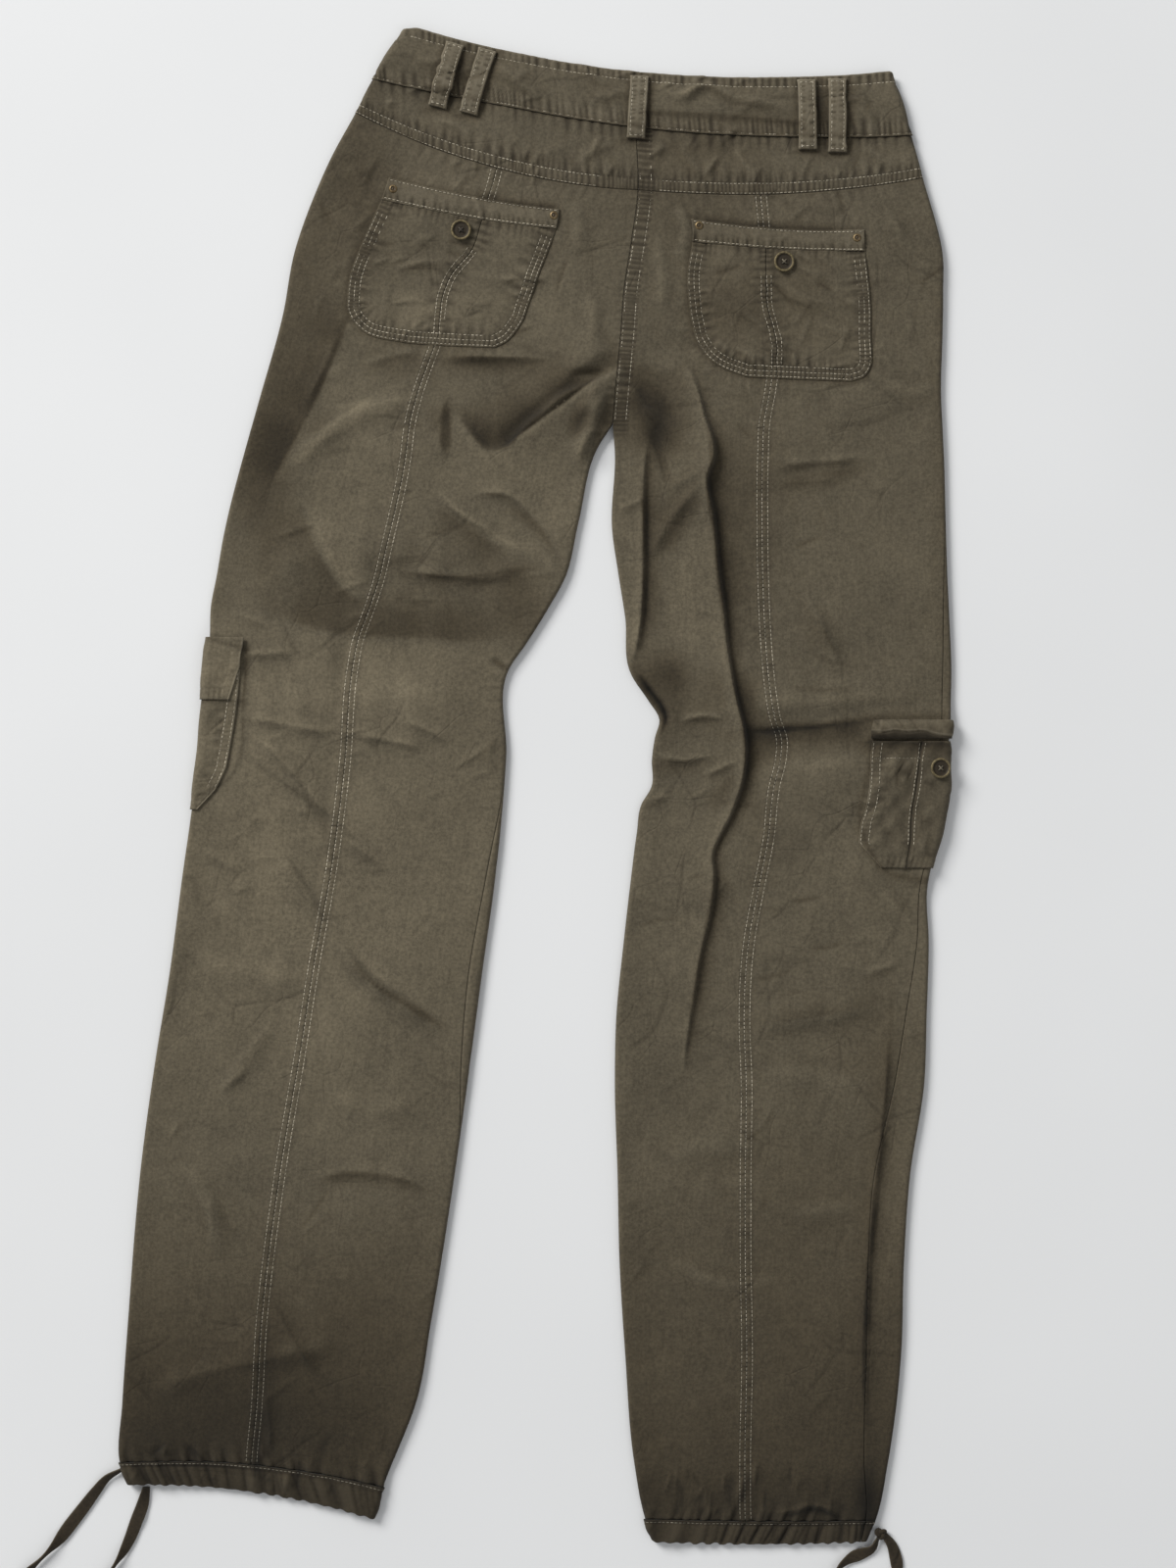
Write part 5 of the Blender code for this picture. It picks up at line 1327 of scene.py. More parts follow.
def yoke_relief(x, down):
    """A ladder of ribs between the stitch rows above the yoke seam, and puckers over them; their dips are
    painted darker as shade.
    """
    low = YOKE_SEAM - down
    band = band_across(low - 4, 4.4)
    over = pinches(x, 5.2, 82) * bell(low - 7, 6) * ease(low, 6.5, 8)
    under = pinches(x, 8.2, 83) * bell(down - BAND_SEAM, 9)
    dips = 0.7 * (pinches(x, 3.5, 81, 0.3, 0.5) * band) + 0.7 * over + 0.6 * under
    soft = uneven(x, 9.4, 84) * (bell(low - 9, 8) * ease(low, 6, 9))
    relief = 0.35 * band - dips + 0.45 * soft + 0.3 * grooves(low, *YOKE_ROWS, width=0.5)
    return relief, worn(0.2 * band - 1.5 * dips + 0.2 * soft + 0.05)


def from_fold(fold, downs, end, count):
    """Columns round the side fold, and then level ones to an edge."""
    start = np.broadcast_to(fold[None, :], (len(downs), len(fold)))
    return np.concatenate([start, spread(start[:, -1], end, np.linspace(0, 1, count)[1:])], 1)


def around_back(half, downs, count):
    """The same over the whole back, from the side fold to the inner edge."""
    return from_fold(np.linspace(GAP / 2, ROLL_ARC, 6), downs, half.girth(downs), count)


def rounded_corner(half, down, across):
    """Rows near the top edge bend down towards the side, so the corner is round."""
    near = np.clip(1 - across / half.corner, 0, 1)
    return down + 0.42 * half.corner * near**2 * (1 - down / BAND_SEAM)


def add_waistband():
    """One band over both halves: the grids of the two backs meet at the centre, where the mean
    of the neighbouring directions smooths the join. The front is two bands."""
    downs = by_threes(stepped(GAP / 2, BAND_SEAM - GAP / 2, 0.8, 10, 1.5))[0]
    left = around_back(LEFT, downs, 180)
    right = around_back(RIGHT, downs, 205)[:, -2::-1]
    right = right[:, : right.shape[1] - (left.shape[1] + right.shape[1] - 1) % 3]
    right = np.concatenate([right[:, :-1], np.full((len(downs), 1), GAP / 2)], 1)
    halves = [half.both(rounded_corner(half, rows_of(downs, around), around), around)
              for half, around in ((LEFT, left), (RIGHT, right))]
    skin, out = (np.concatenate(parts, 1) for parts in zip(*halves))
    middle = slice(left.shape[1] - 2, left.shape[1] + 2)
    out[:, middle] = out[:, middle].mean(1, keepdims=True)
    out = unit(out)
    down = rows_of(downs, skin[..., 0])
    relief, fade = waist_relief(skin[..., 0], down)
    inside = skin + out * (BAND_PROUD - BAND + 0.1)
    add_cloth("waistband_back", raised(skin, out, BAND_PROUD + relief), inside, "seam_cloth",
              (down, travelled(skin[10])[None, :] + 0 * down), fade)
    for half in (LEFT, RIGHT):
        fold = np.linspace(-GAP / 2, -ROLL_ARC - 1, 6)
        around = by_threes(from_fold(fold, downs, GAP / 2 - half.girth(downs), 60))
        down = rounded_corner(half, rows_of(downs, around), -around)
        add_cloth(f"waistband_front_{half.side}", *sheet_of(half, down, around, 0 * down, SHELL),
                  "seam_cloth", (down, around), 0.1)


def shade_seam(half, down, amount, left, right):
    """Painted shade along a seam that runs round the back at one distance from the waist."""
    around = np.linspace(3.0, half.girth(down) - 0.5, 16)
    shade(amount, left, right, half.place(down, around)[:: half.sign, :2])


def add_yoke(half):
    """The seat between waistband and legs; on the right the band of the centre seam runs on."""
    downs = by_threes(stepped(BAND_SEAM + GAP / 2, YOKE_SEAM - GAP / 2, 0.8, 10, 1.3))[0]
    around = by_threes(around_back(half, downs, 200))
    around[:, -1] -= GAP / 2
    down = rows_of(downs, around)
    relief, fade = yoke_relief(half.place(down, around)[..., 0], down)
    if half is RIGHT:
        wale = band_across(half.girth(down) - around - 5.5, 5.8)
        ribs = pinches(down, 3.9, 51, 0.28, 0.5)
        relief = relief + (0.35 - 0.8 * ribs) * wale
        fade = fade + wale * (0.18 - 1.1 * ribs)
    add_cloth(f"back_yoke_{half.side}", *sheet_of(half, down, around, relief, SHELL), "cloth",
              (around, down), fade)


add_waistband()
for half in (LEFT, RIGHT):
    add_yoke(half)
    shade_seam(half, BAND_SEAM, -0.45, 1.0, 2.6)
    shade_seam(half, YOKE_SEAM, -0.35, 1.0, 2.2)

# %% Hem casings
CASING_ROW = 1.8


def casing_relief(half, down, around):
    """Cloth gathered on the cord: broad soft ridges with sharp dips between, and a fold under the top
    stitching, with painted shade in the dips and the fold. The gathers lean this way and that."""
    seed = 91 if half is LEFT else 95
    share = (down - half.casing) / (half.hem - half.casing)
    lean = around + 3.5 * share * np.sin(around / 19 + seed)
    dips = pinches(lean, 16, seed, 0.15)
    dips = dips + (0.3 + 0.7 * np.exp(-around / 60)) * pinches(lean + 2 * share, 7.3, seed + 1, 0.2)
    soft = uneven(around, 23, seed + 2)
    body = ease(share, 0.04, 0.2) * (1 - 0.4 * ease(share, 0.8, 1.0))
    fold = bell(share - 0.16, 0.06) * (0.2 + 0.8 * bell(around - 60, 45))
    row = groove(down - half.casing - CASING_ROW, 0.6)
    relief = 0.5 * soft - 1.7 * dips * body - 0.8 * fold + 0.4 * row
    relief = relief + 1.0 * np.sin(math.pi * np.clip(share, 0, 1)) ** 0.5
    light = 0.36 * body + 0.3 * soft * body - 1.0 * dips * body - 0.7 * fold
    return relief, worn(light + 0.3 * band_across(half.hem - down, 1.2))


def add_casing(half):
    """Back and front of a hem, with a lower edge that wavers by less than a millimetre."""
    downs = np.linspace(half.casing + GAP / 2, half.hem - GAP / 2, 28)
    start, end = half.back_edges(downs)
    around = spread(start + GAP / 2, end - GAP / 2, np.linspace(0, 1, 241))
    down = rows_of(downs, around)
    relief, fade = casing_relief(half, down, around)
    wobble = 0.9 * uneven(around, 9.5, 98) * ease(down, half.casing + 8, half.hem) * ease(around, 2, 14)
    edges = sheet_of(half, down + np.minimum(wobble, 0.6), around, relief, BAND - 0.4, BAND_PROUD)
    gathered = {"held": "gathered", "fullness": 1.08}
    add_cloth(f"hem_casing_back_{half.side}", *edges, "seam_cloth", (around, down), fade, **gathered)
    around = spread(*half.front_edges(downs), np.linspace(0, 1, 91))
    ridge = 0.35 * uneven(around, 9.5, 97) * (around < -ROLL_ARC)
    add_plain(f"hem_casing_front_{half.side}", half, downs, around, 0.1, "seam_cloth", np.minimum(ridge, 0),
              **gathered)
    shade_seam(half, half.casing, -0.5, 2.0, 1.4)


add_casing(LEFT)
add_casing(RIGHT)

# %% [markdown]
# ## Back pockets
# Each back pocket is a patch sewn on top of the seat: a band along its opening, folded double, and
# two pieces that meet at a seam of their own. The patch follows the seat under it, half a
# millimetre above, and its triple stitching draws up a ribbed border round its sides and foot.

# %% Patch of a pocket
POCKET_WALL = 0.6
POCKET_UNDER = 0.35
BORDER = 8.6
POCKET_ROWS = (1.3, 4.9, BORDER)
BAND_HIGH = 17.0  # from the opening to the foot of the pocket's band
BAND_TOP = POCKET_UNDER + 1.1  # top of the folded band, over the seat


def patch_points(x, y, high):
    """Points over the seat at x and y, raised along its normals."""
    skin, out = skin_at(x, y)
    return raised(skin, out, high), out


def pocket_relief(side, x, y):
    """A ribbed border along sides and foot, puckers inside it, the pocket's own seam, and the
    gathers that hang from the band, with painted shade in their dips. Every part is a function of the
    distance to its line."""
    table, seed = POCKETS[side], 101 if side == "left" else 111
    edge, along = nearest_on(outline_of(table), x, y)
    seam, up = nearest_on(seam_of(table), x, y)
    depth, across = nearest_on(line_at(table, 1, np.linspace(0, 1, 12)), x, y)
    inside = ease(edge, BORDER - 1.5, BORDER + 1.5)
    border = band_across(edge - 4.6, 4.4)
    own = band_across(seam, 4.4) * inside
    ribs = pinches(along, 3.6, seed, 0.3, 0.55) * border
    pucker = pinches(along, 5.6, seed + 1) * bell(edge - BORDER, 6) * inside
    pull = pinches(up, 3.8, seed + 2, 0.3, 0.5) * own
    near_seam = pinches(up, 7.2, seed + 4) * bell(seam - 5, 6) * inside * (1 - own)
    gather = pinches(across, 4.6, seed + 3) * bell(depth, 7)
    soft = uneven(along, 9.2, seed + 6) * bell(edge - BORDER, 9) * inside
    dips = 0.7 * ribs + 0.5 * pucker + 0.65 * pull + 0.4 * near_seam + 0.6 * gather
    rows = 0.25 * grooves(edge, *POCKET_ROWS) * (1 - ease(edge, 9, 11))
    relief = 0.15 * border + 0.22 * own - np.minimum(dips, 0.85) + 0.4 * soft + rows
    relief = relief + 0.7 * ease(edge, BORDER, BORDER + 24) - 0.25 * (1 - ease(edge, 0, 1.4))
    fade = 0.08 * border + 0.1 * own - 1.2 * dips + 0.15 * soft + 0.12 * bell(depth, 7)
    return relief, worn(fade + 0.2 * (1 - ease(edge, 0.3, 1.6)))


def add_patch(name, x, y, high, wall, slot, fade, held="laid"):
    """A piece sewn on the seat: its outside a height above, its inside a wall below that."""
    outside, out = patch_points(x, y, high)
    add_cloth(name, outside, raised(outside, out, -wall), slot, (x, -y), fade, held)


def add_pocket(side, first, second):
    """Two pieces that meet at the pocket's seam, and the band over their tops."""
    table = POCKETS[side]
    lines = np.array(table)
    slack = GAP / 2 / np.hypot(lines[:, 2] - lines[:, 0], lines[:, 3] - lines[:, 1]).mean()
    length = travelled(lines[1:, :2])
    rows = np.interp(np.linspace(0, length[-1], round(length[-1]) + 1), length, np.arange(1, 9))
    rows = by_threes(rows)[0]
    seam = pocket_line(table, rows)[:, 5]
    for name, start, end in ((first, 0 * seam, seam - slack), (second, seam + slack, 0 * seam + 1)):
        share = spread(start, end, np.linspace(0, 1, 67))
        x, y = pocket_xy(table, rows_of(rows, share), share)
        relief, fade = pocket_relief(side, x, y)
        wall = POCKET_WALL + 0.6 * np.maximum(relief, 0)
        high = POCKET_UNDER + POCKET_WALL + relief
        add_patch(f"back_pocket_{name}_{side}", x, y, high, wall, "cloth", fade)
    row, share = np.meshgrid(np.linspace(0, 1, 22), np.linspace(0, 1, 151), indexing="ij")
    x, y = pocket_xy(table, row, share)
    y = y + GAP * row
    depth, seed = row * BAND_HIGH, 121 if side == "left" else 131
    low = BAND_HIGH - depth
    dips = 0.4 * pinches(x, 4.3, seed) * (1 - ease(depth, 1.5, 5))
    dips = dips + 0.8 * pinches(x, 4.4, seed + 2) * (1 - ease(low, 3, 8))
    soft = uneven(x, 9, seed) * (1 - ease(low, 5, 13))
    relief = 0.25 * groove(depth - 1.6) + 0.3 * groove(low - 1.5) - dips + 0.25 * soft
    relief = relief + 0.5 * np.sin(math.pi * row)
    # the band is worn lighter at its edges and painted darker as shade in its dips
    fade = 0.12 - 0.8 * dips + 0.1 * soft + 0.4 * band_across(depth, 0.9) + 0.4 * band_across(low, 0.8)
    add_patch(f"back_pocket_band_{side}", x, y, BAND_TOP + relief, 1.0, "seam_cloth", worn(fade), "folded")


add_pocket("left", "outer", "inner")
add_pocket("right", "inner", "outer")

# %% [markdown]
# ## Belt loops
# A belt loop is a strip folded in three and stitched down both sides, then sewn to the waistband at
# its ends only. It bows a little between them. Its edges are the most worn places of the garment.

# %% Belt loops
LOOP_WIDTH = 13.0
LOOP_LONG = 48
LOOP_WALL = 1.5
LOOP_BOW = 1.4
LOOP_ROW = 4.4  # rows of stitches off its middle


def loop_xy(number, share, across):
    """x and y on a loop: share of its length from the top, and millimetres off its middle."""
    top_x, top_y, low_x, low_y = BELT_LOOPS[number - 1]
    run = np.array([low_x - top_x, low_y - top_y])
    side = np.array([-run[1], run[0]]) / np.hypot(*run)
    return top_x + run[0] * share + side[0] * across, top_y + run[1] * share + side[1] * across


def loop_relief(number, share, across):
    """Rolled edges, stitch grooves and short creases across the strip; the creases are painted darker as
    shade and the edges lighter as wear.
    """
    along, off, edge = share * LOOP_LONG, np.abs(across), LOOP_WIDTH / 2
    dips = pinches(along + 2.1 * np.sign(across), 3.7, 140 + number) * ease(off, 0.2, 2.2)
    dips = dips * (1 - ease(off, edge - 2, edge - 1))
    rows = 0.3 * (groove(off - LOOP_ROW, 0.5) + groove(along - 2, 0.5) + groove(LOOP_LONG - 2 - along, 0.5))
    fade = 0.42 - 0.8 * dips + 0.45 * band_across(off - edge + 0.9, 0.8)
    fade = fade + 0.5 * (band_across(along, 0.9) + band_across(along - LOOP_LONG, 0.9))
    return -0.7 * ease(off, edge - 1.1, edge) + rows - 0.6 * dips, worn(fade)


def loop_points(number, share, across):
    """Points on the outside of a loop and the directions out of it."""
    skin, out = skin_at(*loop_xy(number, share, across))
    middle, _ = skin_at(*loop_xy(number, share, 0 * across))
    relief, fade = loop_relief(number, share, across)
    high = BAND_PROUD + GAP + (LOOP_BOW + 1.0) * np.sin(math.pi * share) ** 0.5 + LOOP_WALL
    points = raised(skin, out, high + relief)
    points[..., 2] += 0.7 * (middle[..., 2] - skin[..., 2])
    return points, out, fade


LOOPS = range(1, len(BELT_LOOPS) + 1)
for number in LOOPS:
    share, across = np.meshgrid(np.linspace(0, 1, 67), np.linspace(-LOOP_WIDTH / 2, LOOP_WIDTH / 2, 22),
                                indexing="ij")
    flare = 1 + 0.06 * bell(np.minimum(share, 1 - share), 0.05)
    outside, out, fade = loop_points(number, share, across * flare)
    add_cloth(f"belt_loop_{number}", outside, outside - out * (LOOP_WALL - 0.1), "seam_cloth",
              (across, share * LOOP_LONG), fade, "folded", end="_strip")

# %% [markdown]
# ## Cargo pockets
# A cargo pocket is a patch on the outside of each knee. It wraps round the fold at the side of the
# leg, so its points come from the same tube, one cloth further out. Its flap lies over it, and
# the flap on the right is rolled up, which bares the button.

# %% Cargo pockets and flaps
# Columns: down, and then around at the back edge, at the pocket's own seam if it has one, and at
# the front edge.
LEFT_CARGO_POCKET = ((438, 26, -80), (461, 26, -80), (476, 25, -81), (508, 22.5, -82), (524, 17, -76),
                     (538.5, 5.5, -64))
LEFT_CARGO_FLAP = ((416, 27, -81), (437, 25.5, -82), (459.5, 20, -82))
RIGHT_CARGO_FLAP = ((474, 57, -48), (478, 57, -48), (482.5, 57.5, -48), (487, 57.5, -48))
RIGHT_CARGO = np.array((
    (489, 57, 21, -46), (500, 58, 22.5, -46), (519, 59, 25, -46), (538, 59.5, 26, -46),
    (549, 60.5, 24.5, -46), (563, 59, 21.5, -42), (581, 38, 20, -36)))
OPENING_ROW = 502.5  # down to the row under the opening of the right pocket


def columns_at(downs, table):
    """The other columns of a table at places down the leg."""
    table = np.asarray(table, float)
    return [np.interp(downs, table[:, 0], column) for column in table[:, 1:].T]


def side_grid(table, step):
    """Down and around over a patch that wraps the side, fine at its back edge and round the fold."""
    rows = np.array(table, float)
    top, foot = rows[0, 0], rows[-1, 0]
    downs = by_threes(np.linspace(top, foot, round((foot - top) / step) + 1))[0]
    back, front = columns_at(downs, table)
    fold = np.broadcast_to(np.linspace(ROLL_ARC, -ROLL_ARC, 11)[None, :], (len(downs), 11))
    count = round((rows[:, 1].max() - ROLL_ARC) / step)
    seen = spread(back, fold[:, 0], np.linspace(0, 1, max(count, 6)))[:, :-1]
    hidden = spread(fold[:, -1], front, np.linspace(0, 1, 26))[:, 1:]
    around = by_threes(np.concatenate([seen, fold, hidden], 1))
    return rows_of(downs, around), around


def patch_relief(down, around, table, back, seed):
    """Ribs inside the back edge and the foot, and a soft swell in the middle."""
    top, foot = table[0][0], table[-1][0]
    edge, low, shown = back - around, foot - down, around > 0
    border, foot_border = band_across(edge - 3.9, 3.9) * shown, band_across(low - 3.9, 3.9)
    ribs = uneven(down, 3.8, seed) * border + uneven(around, 3.8, seed + 1) * foot_border
    pucker = uneven(down, 7.7, seed + 2) * bell(edge - 9, 5) * shown * (edge > 7)
    swell = ease(edge, 3, 16) * ease(low, 3, 16) * ease(down - top, 0, 10) * (around > -2)
    relief = 0.12 * ribs + 0.15 * border + 0.8 * swell + 0.3 * pucker
    rows = groove(edge - 1.4) + groove(edge - 7.4) + groove(low - 1.4) + groove(low - 7.4)
    relief = relief + 0.25 * rows
    relief = relief + 0.5 * uneven(0.5 * down + around, 17, seed + 3) * swell
    # the ribs and puckers are painted lighter on their tops and darker between, as light and shade, and the
    # back edge is lighter with wear
    return relief, worn(0.1 * ribs + 0.1 * pucker + 0.5 * band_across(edge, 0.8))


def add_side_piece(name, half, down, around, under, relief, slot="cloth"):
    """A patch over the side of a leg, whose relief dies out round the fold."""
    high, fade = relief
    flat = ease(around, -ROLL_ARC, 0)
    outside, inside = sheet_of(half, down, around, under + SHELL + high * flat, SHELL)
    add_cloth(name, outside, inside, slot, (around, down), fade * flat)


down, around = side_grid(LEFT_CARGO_POCKET, 1.0)
relief = patch_relief(down, around, LEFT_CARGO_POCKET, around[:, :1], 151)
add_side_piece("cargo_pocket_left", LEFT, down, around, OVER, relief)
down, around = side_grid(LEFT_CARGO_FLAP, 0.95)
relief = patch_relief(down, around, LEFT_CARGO_FLAP, around[:, :1], 155)
add_side_piece("cargo_flap_left", LEFT, down, around, 2 * OVER + CLOTH, relief, "seam_cloth")


def cargo_right_relief(down, around):
    """Borders at the back edge and the foot, the hem along the opening and the pocket's own seam."""
    back, seam, _ = columns_at(down, RIGHT_CARGO)
    relief, fade = patch_relief(down, around, RIGHT_CARGO, back, 161)
    own = around - seam
    relief = relief + (0.2 + 0.12 * uneven(down, 4.9, 165)) * band_across(own, 3.6) + 0.5 * groove(own, 1.0)
    relief = relief + 0.3 * groove(down - OPENING_ROW) * (around > 0)
    patchy = ease(uneven(around - 0.7 * down, 22, 168), 0, 0.7) * ease(back - around, 3, 12)
    pulled = pinches(down + 0.45 * around, 17.3, 166, 0.1) * patchy
    crumpled = uneven(0.6 * down - 0.8 * around, 15.1, 167)
    relief = relief - 0.8 * pulled + 0.4 * crumpled
    # darker all over, with painted shade in the pulled dips and a painted dark line along the pocket's own
    # seam
    fade = fade - 0.1 - 0.35 * pulled + 0.1 * crumpled
    fade = fade - 0.4 * band_across(own + 0.5, 0.9) + 0.4 * band_across(down - RIGHT_CARGO[0, 0], 1)
    return relief, worn(fade)


downs = np.linspace(*RIGHT_CARGO[[0, -1], 0], 94)
back, seam, _ = columns_at(downs, RIGHT_CARGO)
around = spread(back, seam + GAP / 2, np.linspace(0, 1, 49))
down = rows_of(downs, around)
add_side_piece("cargo_pocket_inner_right", RIGHT, down, around, OVER, cargo_right_relief(down, around))
down, around = side_grid(RIGHT_CARGO[:, [0, 2, 3]] - (0, GAP / 2, 0), 1.0)
add_side_piece("cargo_pocket_outer_right", RIGHT, down, around, OVER, cargo_right_relief(down, around))


def add_rolled_flap():
    """A roll of cloth across the top of the pocket, thickest on the back of the leg. Its upper
    third is the flap's outside; a valley runs along it where the turned-up edge lies back."""
    top, foot = RIGHT_CARGO_FLAP[0][0], RIGHT_CARGO_FLAP[-1][0]
    downs = np.linspace(top, foot, 25)
    around = spread(*columns_at(downs, RIGHT_CARGO_FLAP), np.linspace(0, 1, 136))
    down = rows_of(downs, around)
    share = (down - top) / (foot - top)
    taper = ease(around, -14, 24)
    round_up = np.sin(math.pi * np.clip(share, 0.02, 0.98))
    bend = 0.64 + 0.26 * ease(24 - around, 0, 24) + 0.05 * uneven(around, 23, 174)
    crumpled = uneven(around + 9 * share, 9.3, 171)
    pinched = pinches(around + 11 * share, 10.1, 175, 0.15)
    high = CLOTH + taper * 4.2 * round_up**0.6
    high = high - 0.9 * taper * bell(share - bend, 0.05)
    high = high + 0.5 * crumpled * taper * round_up
    high = high - 1.1 * pinched * taper * round_up
    # the pinches are painted darker as shade; a light line runs along the back edge and above the bend, and
    # past the bend the colour is darker
    fade = 0.2 + 0.2 * crumpled * round_up - 0.5 * pinched
    fade = fade + 0.6 * bell(around[:, :1] - around - 5, 0.9) * (share < bend)
    fade = fade + 0.8 * bell(share - bend + 0.09, 0.04) - 1.2 * ease(share, bend - 0.03, bend + 0.06)
    skin, out = RIGHT.both(down, around)
    add_cloth("cargo_flap_right", raised(skin, out, OVER + high), skin + out * OVER, "seam_cloth",
              (around, down), np.clip(fade, -0.9, 1), "folded")


add_rolled_flap()

# %% [markdown]
# ## Stitching
# A stitch is a short length of thread that comes up, lies on the cloth and goes down again. Each is
# a tiny bar of twelve triangles, and a row of them is made at once from arrays: one for the
# places, one for the directions along the row and one for the directions out of the cloth.

# %% Rows of stitches
STITCH_PITCH = 3.0
STITCH_LONG = 2.2
THREAD = 0.28  # half width of the thread
SUNK = 0.05


def spindles(at, run, out, long=STITCH_LONG, thick=THREAD):
    """Points and faces of stitches: bars between two rings of four, wider than they are high."""
    side = np.cross(run, out)
    rings = []
    for end in (-long / 2, long / 2):
        for turn in range(4):
            angle = math.pi / 4 + turn * math.pi / 2
            off = side * (math.cos(angle) * thick * 1.2) + out * (math.sin(angle) * thick)
            rings.append(at + run * end + off)
    faces = [(turn, (turn + 1) % 4, (turn + 1) % 4 + 4, turn + 4) for turn in range(4)]
    faces.extend([(3, 2, 1, 0), (4, 5, 6, 7)])
    quads = np.array(faces)[None] + 8 * np.arange(len(at))[:, None, None]
    return np.stack(rings, 1).reshape(-1, 3), quads.reshape(-1, 4)


def row_of_stitches(points, normals):
    """Places, directions along and directions out for stitches along a line on the cloth."""
    length = travelled(points)[-1]
    count = max(int(length / STITCH_PITCH), 1)
    at = (np.arange(count) + 0.5) * length / count
    run = unit(walked_to(at + 1, points) - walked_to(at - 1, points))
    out = walked_to(at, points, normals)
    out = unit(out - run * (out * run).sum(1, keepdims=True))
    return walked_to(at, points) - out * SUNK, run, out


def sew(name, rows):
    """One piece from many rows of stitches."""
    parts = [row_of_stitches(points, normals) for points, normals in rows]
    at, run, out = (np.concatenate([part[k] for part in parts]) for k in range(3))
    add_piece(name, *spindles(at, run, out), [], "seam_cloth")
    print(name, len(at), "stitches")


def on_cloth(half, down, around, relief, high=0.0):
    """A line on the outside of a piece, above the skin by its relief, and the directions out."""
    skin, out = half.both(down, around)
    return raised(skin, out, high + relief), out


def on_leg(half, down, around):
    """A line on the outside of a leg's back panels, with their relief."""
    relief, _ = leg_relief(half, down, around)
    return on_cloth(half, down, around, relief)


WAIST_ROWS = [(down, waist_relief, BAND_PROUD) for down in (BAND_ROWS[0], BAND_SEAM - BAND_ROWS[1])]
WAIST_ROWS.extend((YOKE_SEAM - row, yoke_relief, 0.0) for row in YOKE_ROWS)
for half in (LEFT, RIGHT):
    downs = np.arange(YOKE_SEAM + 1, half.casing - 1, 0.9)
    seam = half.seam_around(downs)
    rows = [on_leg(half, downs, seam + offset) for offset in (-TRIPLE, 0.25, TRIPLE)]
    sew(f"middle_seam_stitches_{half.side}", rows)
    around = np.arange(1.0, half.girth(20.0) - 1, 0.7)
    rows = []
    for down, relief_of, high in WAIST_ROWS:
        skin, out = half.both(down, around)
        relief, _ = relief_of(skin[:, 0], 0 * around + down)
        rows.append((raised(skin, out, high + relief), out))
    sew(f"waist_stitches_{half.side}", rows)
    around = np.arange(1.0, half.girth(half.casing) - 1, 0.7)
    down = 0 * around + half.casing + CASING_ROW
    relief, _ = casing_relief(half, down, around)
    sew(f"casing_stitches_{half.side}", [on_cloth(half, down, around, relief, BAND_PROUD)])

downs = np.arange(BAND_SEAM + 8, CROTCH - 2, 0.7)
sew("seat_stitches", [on_leg(RIGHT, downs, RIGHT.girth(downs) - offset) for offset in (1.4, 9.4)])

# %% Stitching of the pockets, loops and cargo pockets
def on_pocket(side, line):
    """A line of x and y on a pocket, with its relief, in steps fine enough for the ribs."""
    x, y = through(line, 0.7).T
    relief, _ = pocket_relief(side, x, y)
    return patch_points(x, y, POCKET_UNDER + POCKET_WALL + relief)


for side, table in POCKETS.items():
    rows = [on_pocket(side, offset_line(outline_of(table), inset)[2:-2]) for inset in POCKET_ROWS]
    rows.extend(on_pocket(side, offset_line(seam_of(table), offset)[3:-4]) for offset in (-3.5, 0.5, 3.5))
    share = np.linspace(0.01, 0.99, 160)
    for level in (0.09, 0.91):
        x, y = pocket_xy(table, 0 * share + level, share)
        relief = 0.5 * math.sin(math.pi * level) - 0.2
        rows.append(patch_points(x, y, BAND_TOP + relief + 0 * share))
    sew(f"back_pocket_stitches_{side}", rows)

rows = []
share, across = np.linspace(0.02, 0.98, 60), np.linspace(-5.5, 5.5, 14)
for number in LOOPS:
    rows.extend(loop_points(number, share, 0 * share + off)[:2] for off in (-LOOP_ROW, LOOP_ROW))
    rows.extend(loop_points(number, 0 * across + end, across)[:2] for end in (0.04, 0.955))
sew("belt_loop_stitches", rows)

rows = []
downs = np.arange(440.0, 524, 1.5)
back, _ = columns_at(downs, LEFT_CARGO_POCKET)
for around in (back - 1.4, back - 7.0):
    relief, _ = patch_relief(downs, around, LEFT_CARGO_POCKET, back, 151)
    rows.append(on_cloth(LEFT, downs, around, relief, OVER + SHELL))
downs = np.arange(490.0, 566, 1.5)
back, seam, _ = columns_at(downs, RIGHT_CARGO)
lines = [(downs, around) for around in (back - 1.4, back - 7.0, seam + 1.6, seam - 2.6)]
around = np.arange(2.0, 57, 1.5)
for down, around in (*lines, (0 * around + OPENING_ROW, around)):
    relief, _ = cargo_right_relief(down, around)
    rows.append(on_cloth(RIGHT, down, around, relief, OVER + SHELL))
sew("cargo_pocket_stitches", rows)

# %% [markdown]
# ## Buttons and rivets
# The four-hole buttons are turned: a profile of radius and height goes round the button's own
# upright. The holes are cut with a Boolean that is applied at once, and thread crosses them. The
# rivets are low domes with a worn, dished top.

# %% Turned pieces
BUTTONS = (("back_pocket_button_left", -59.3, 402.5), ("back_pocket_button_right", 177.1, 379.3))
RIVETS = ((-108.3, 432.1), (7.9, 413.2), (115.7, 405.7), (230.4, 396.7))
CARGO_BUTTON = (290, 11.5)
BUTTON_RADIUS = 7.5
BUTTON_WALL = 2.6
RIVET_RADIUS = 2.9


def axes_of(out):
    """Two directions at right angles to one out of the cloth."""
    across = unit(np.cross([0.0, 1.0, 0.0], out))
    return across, np.cross(out, across)


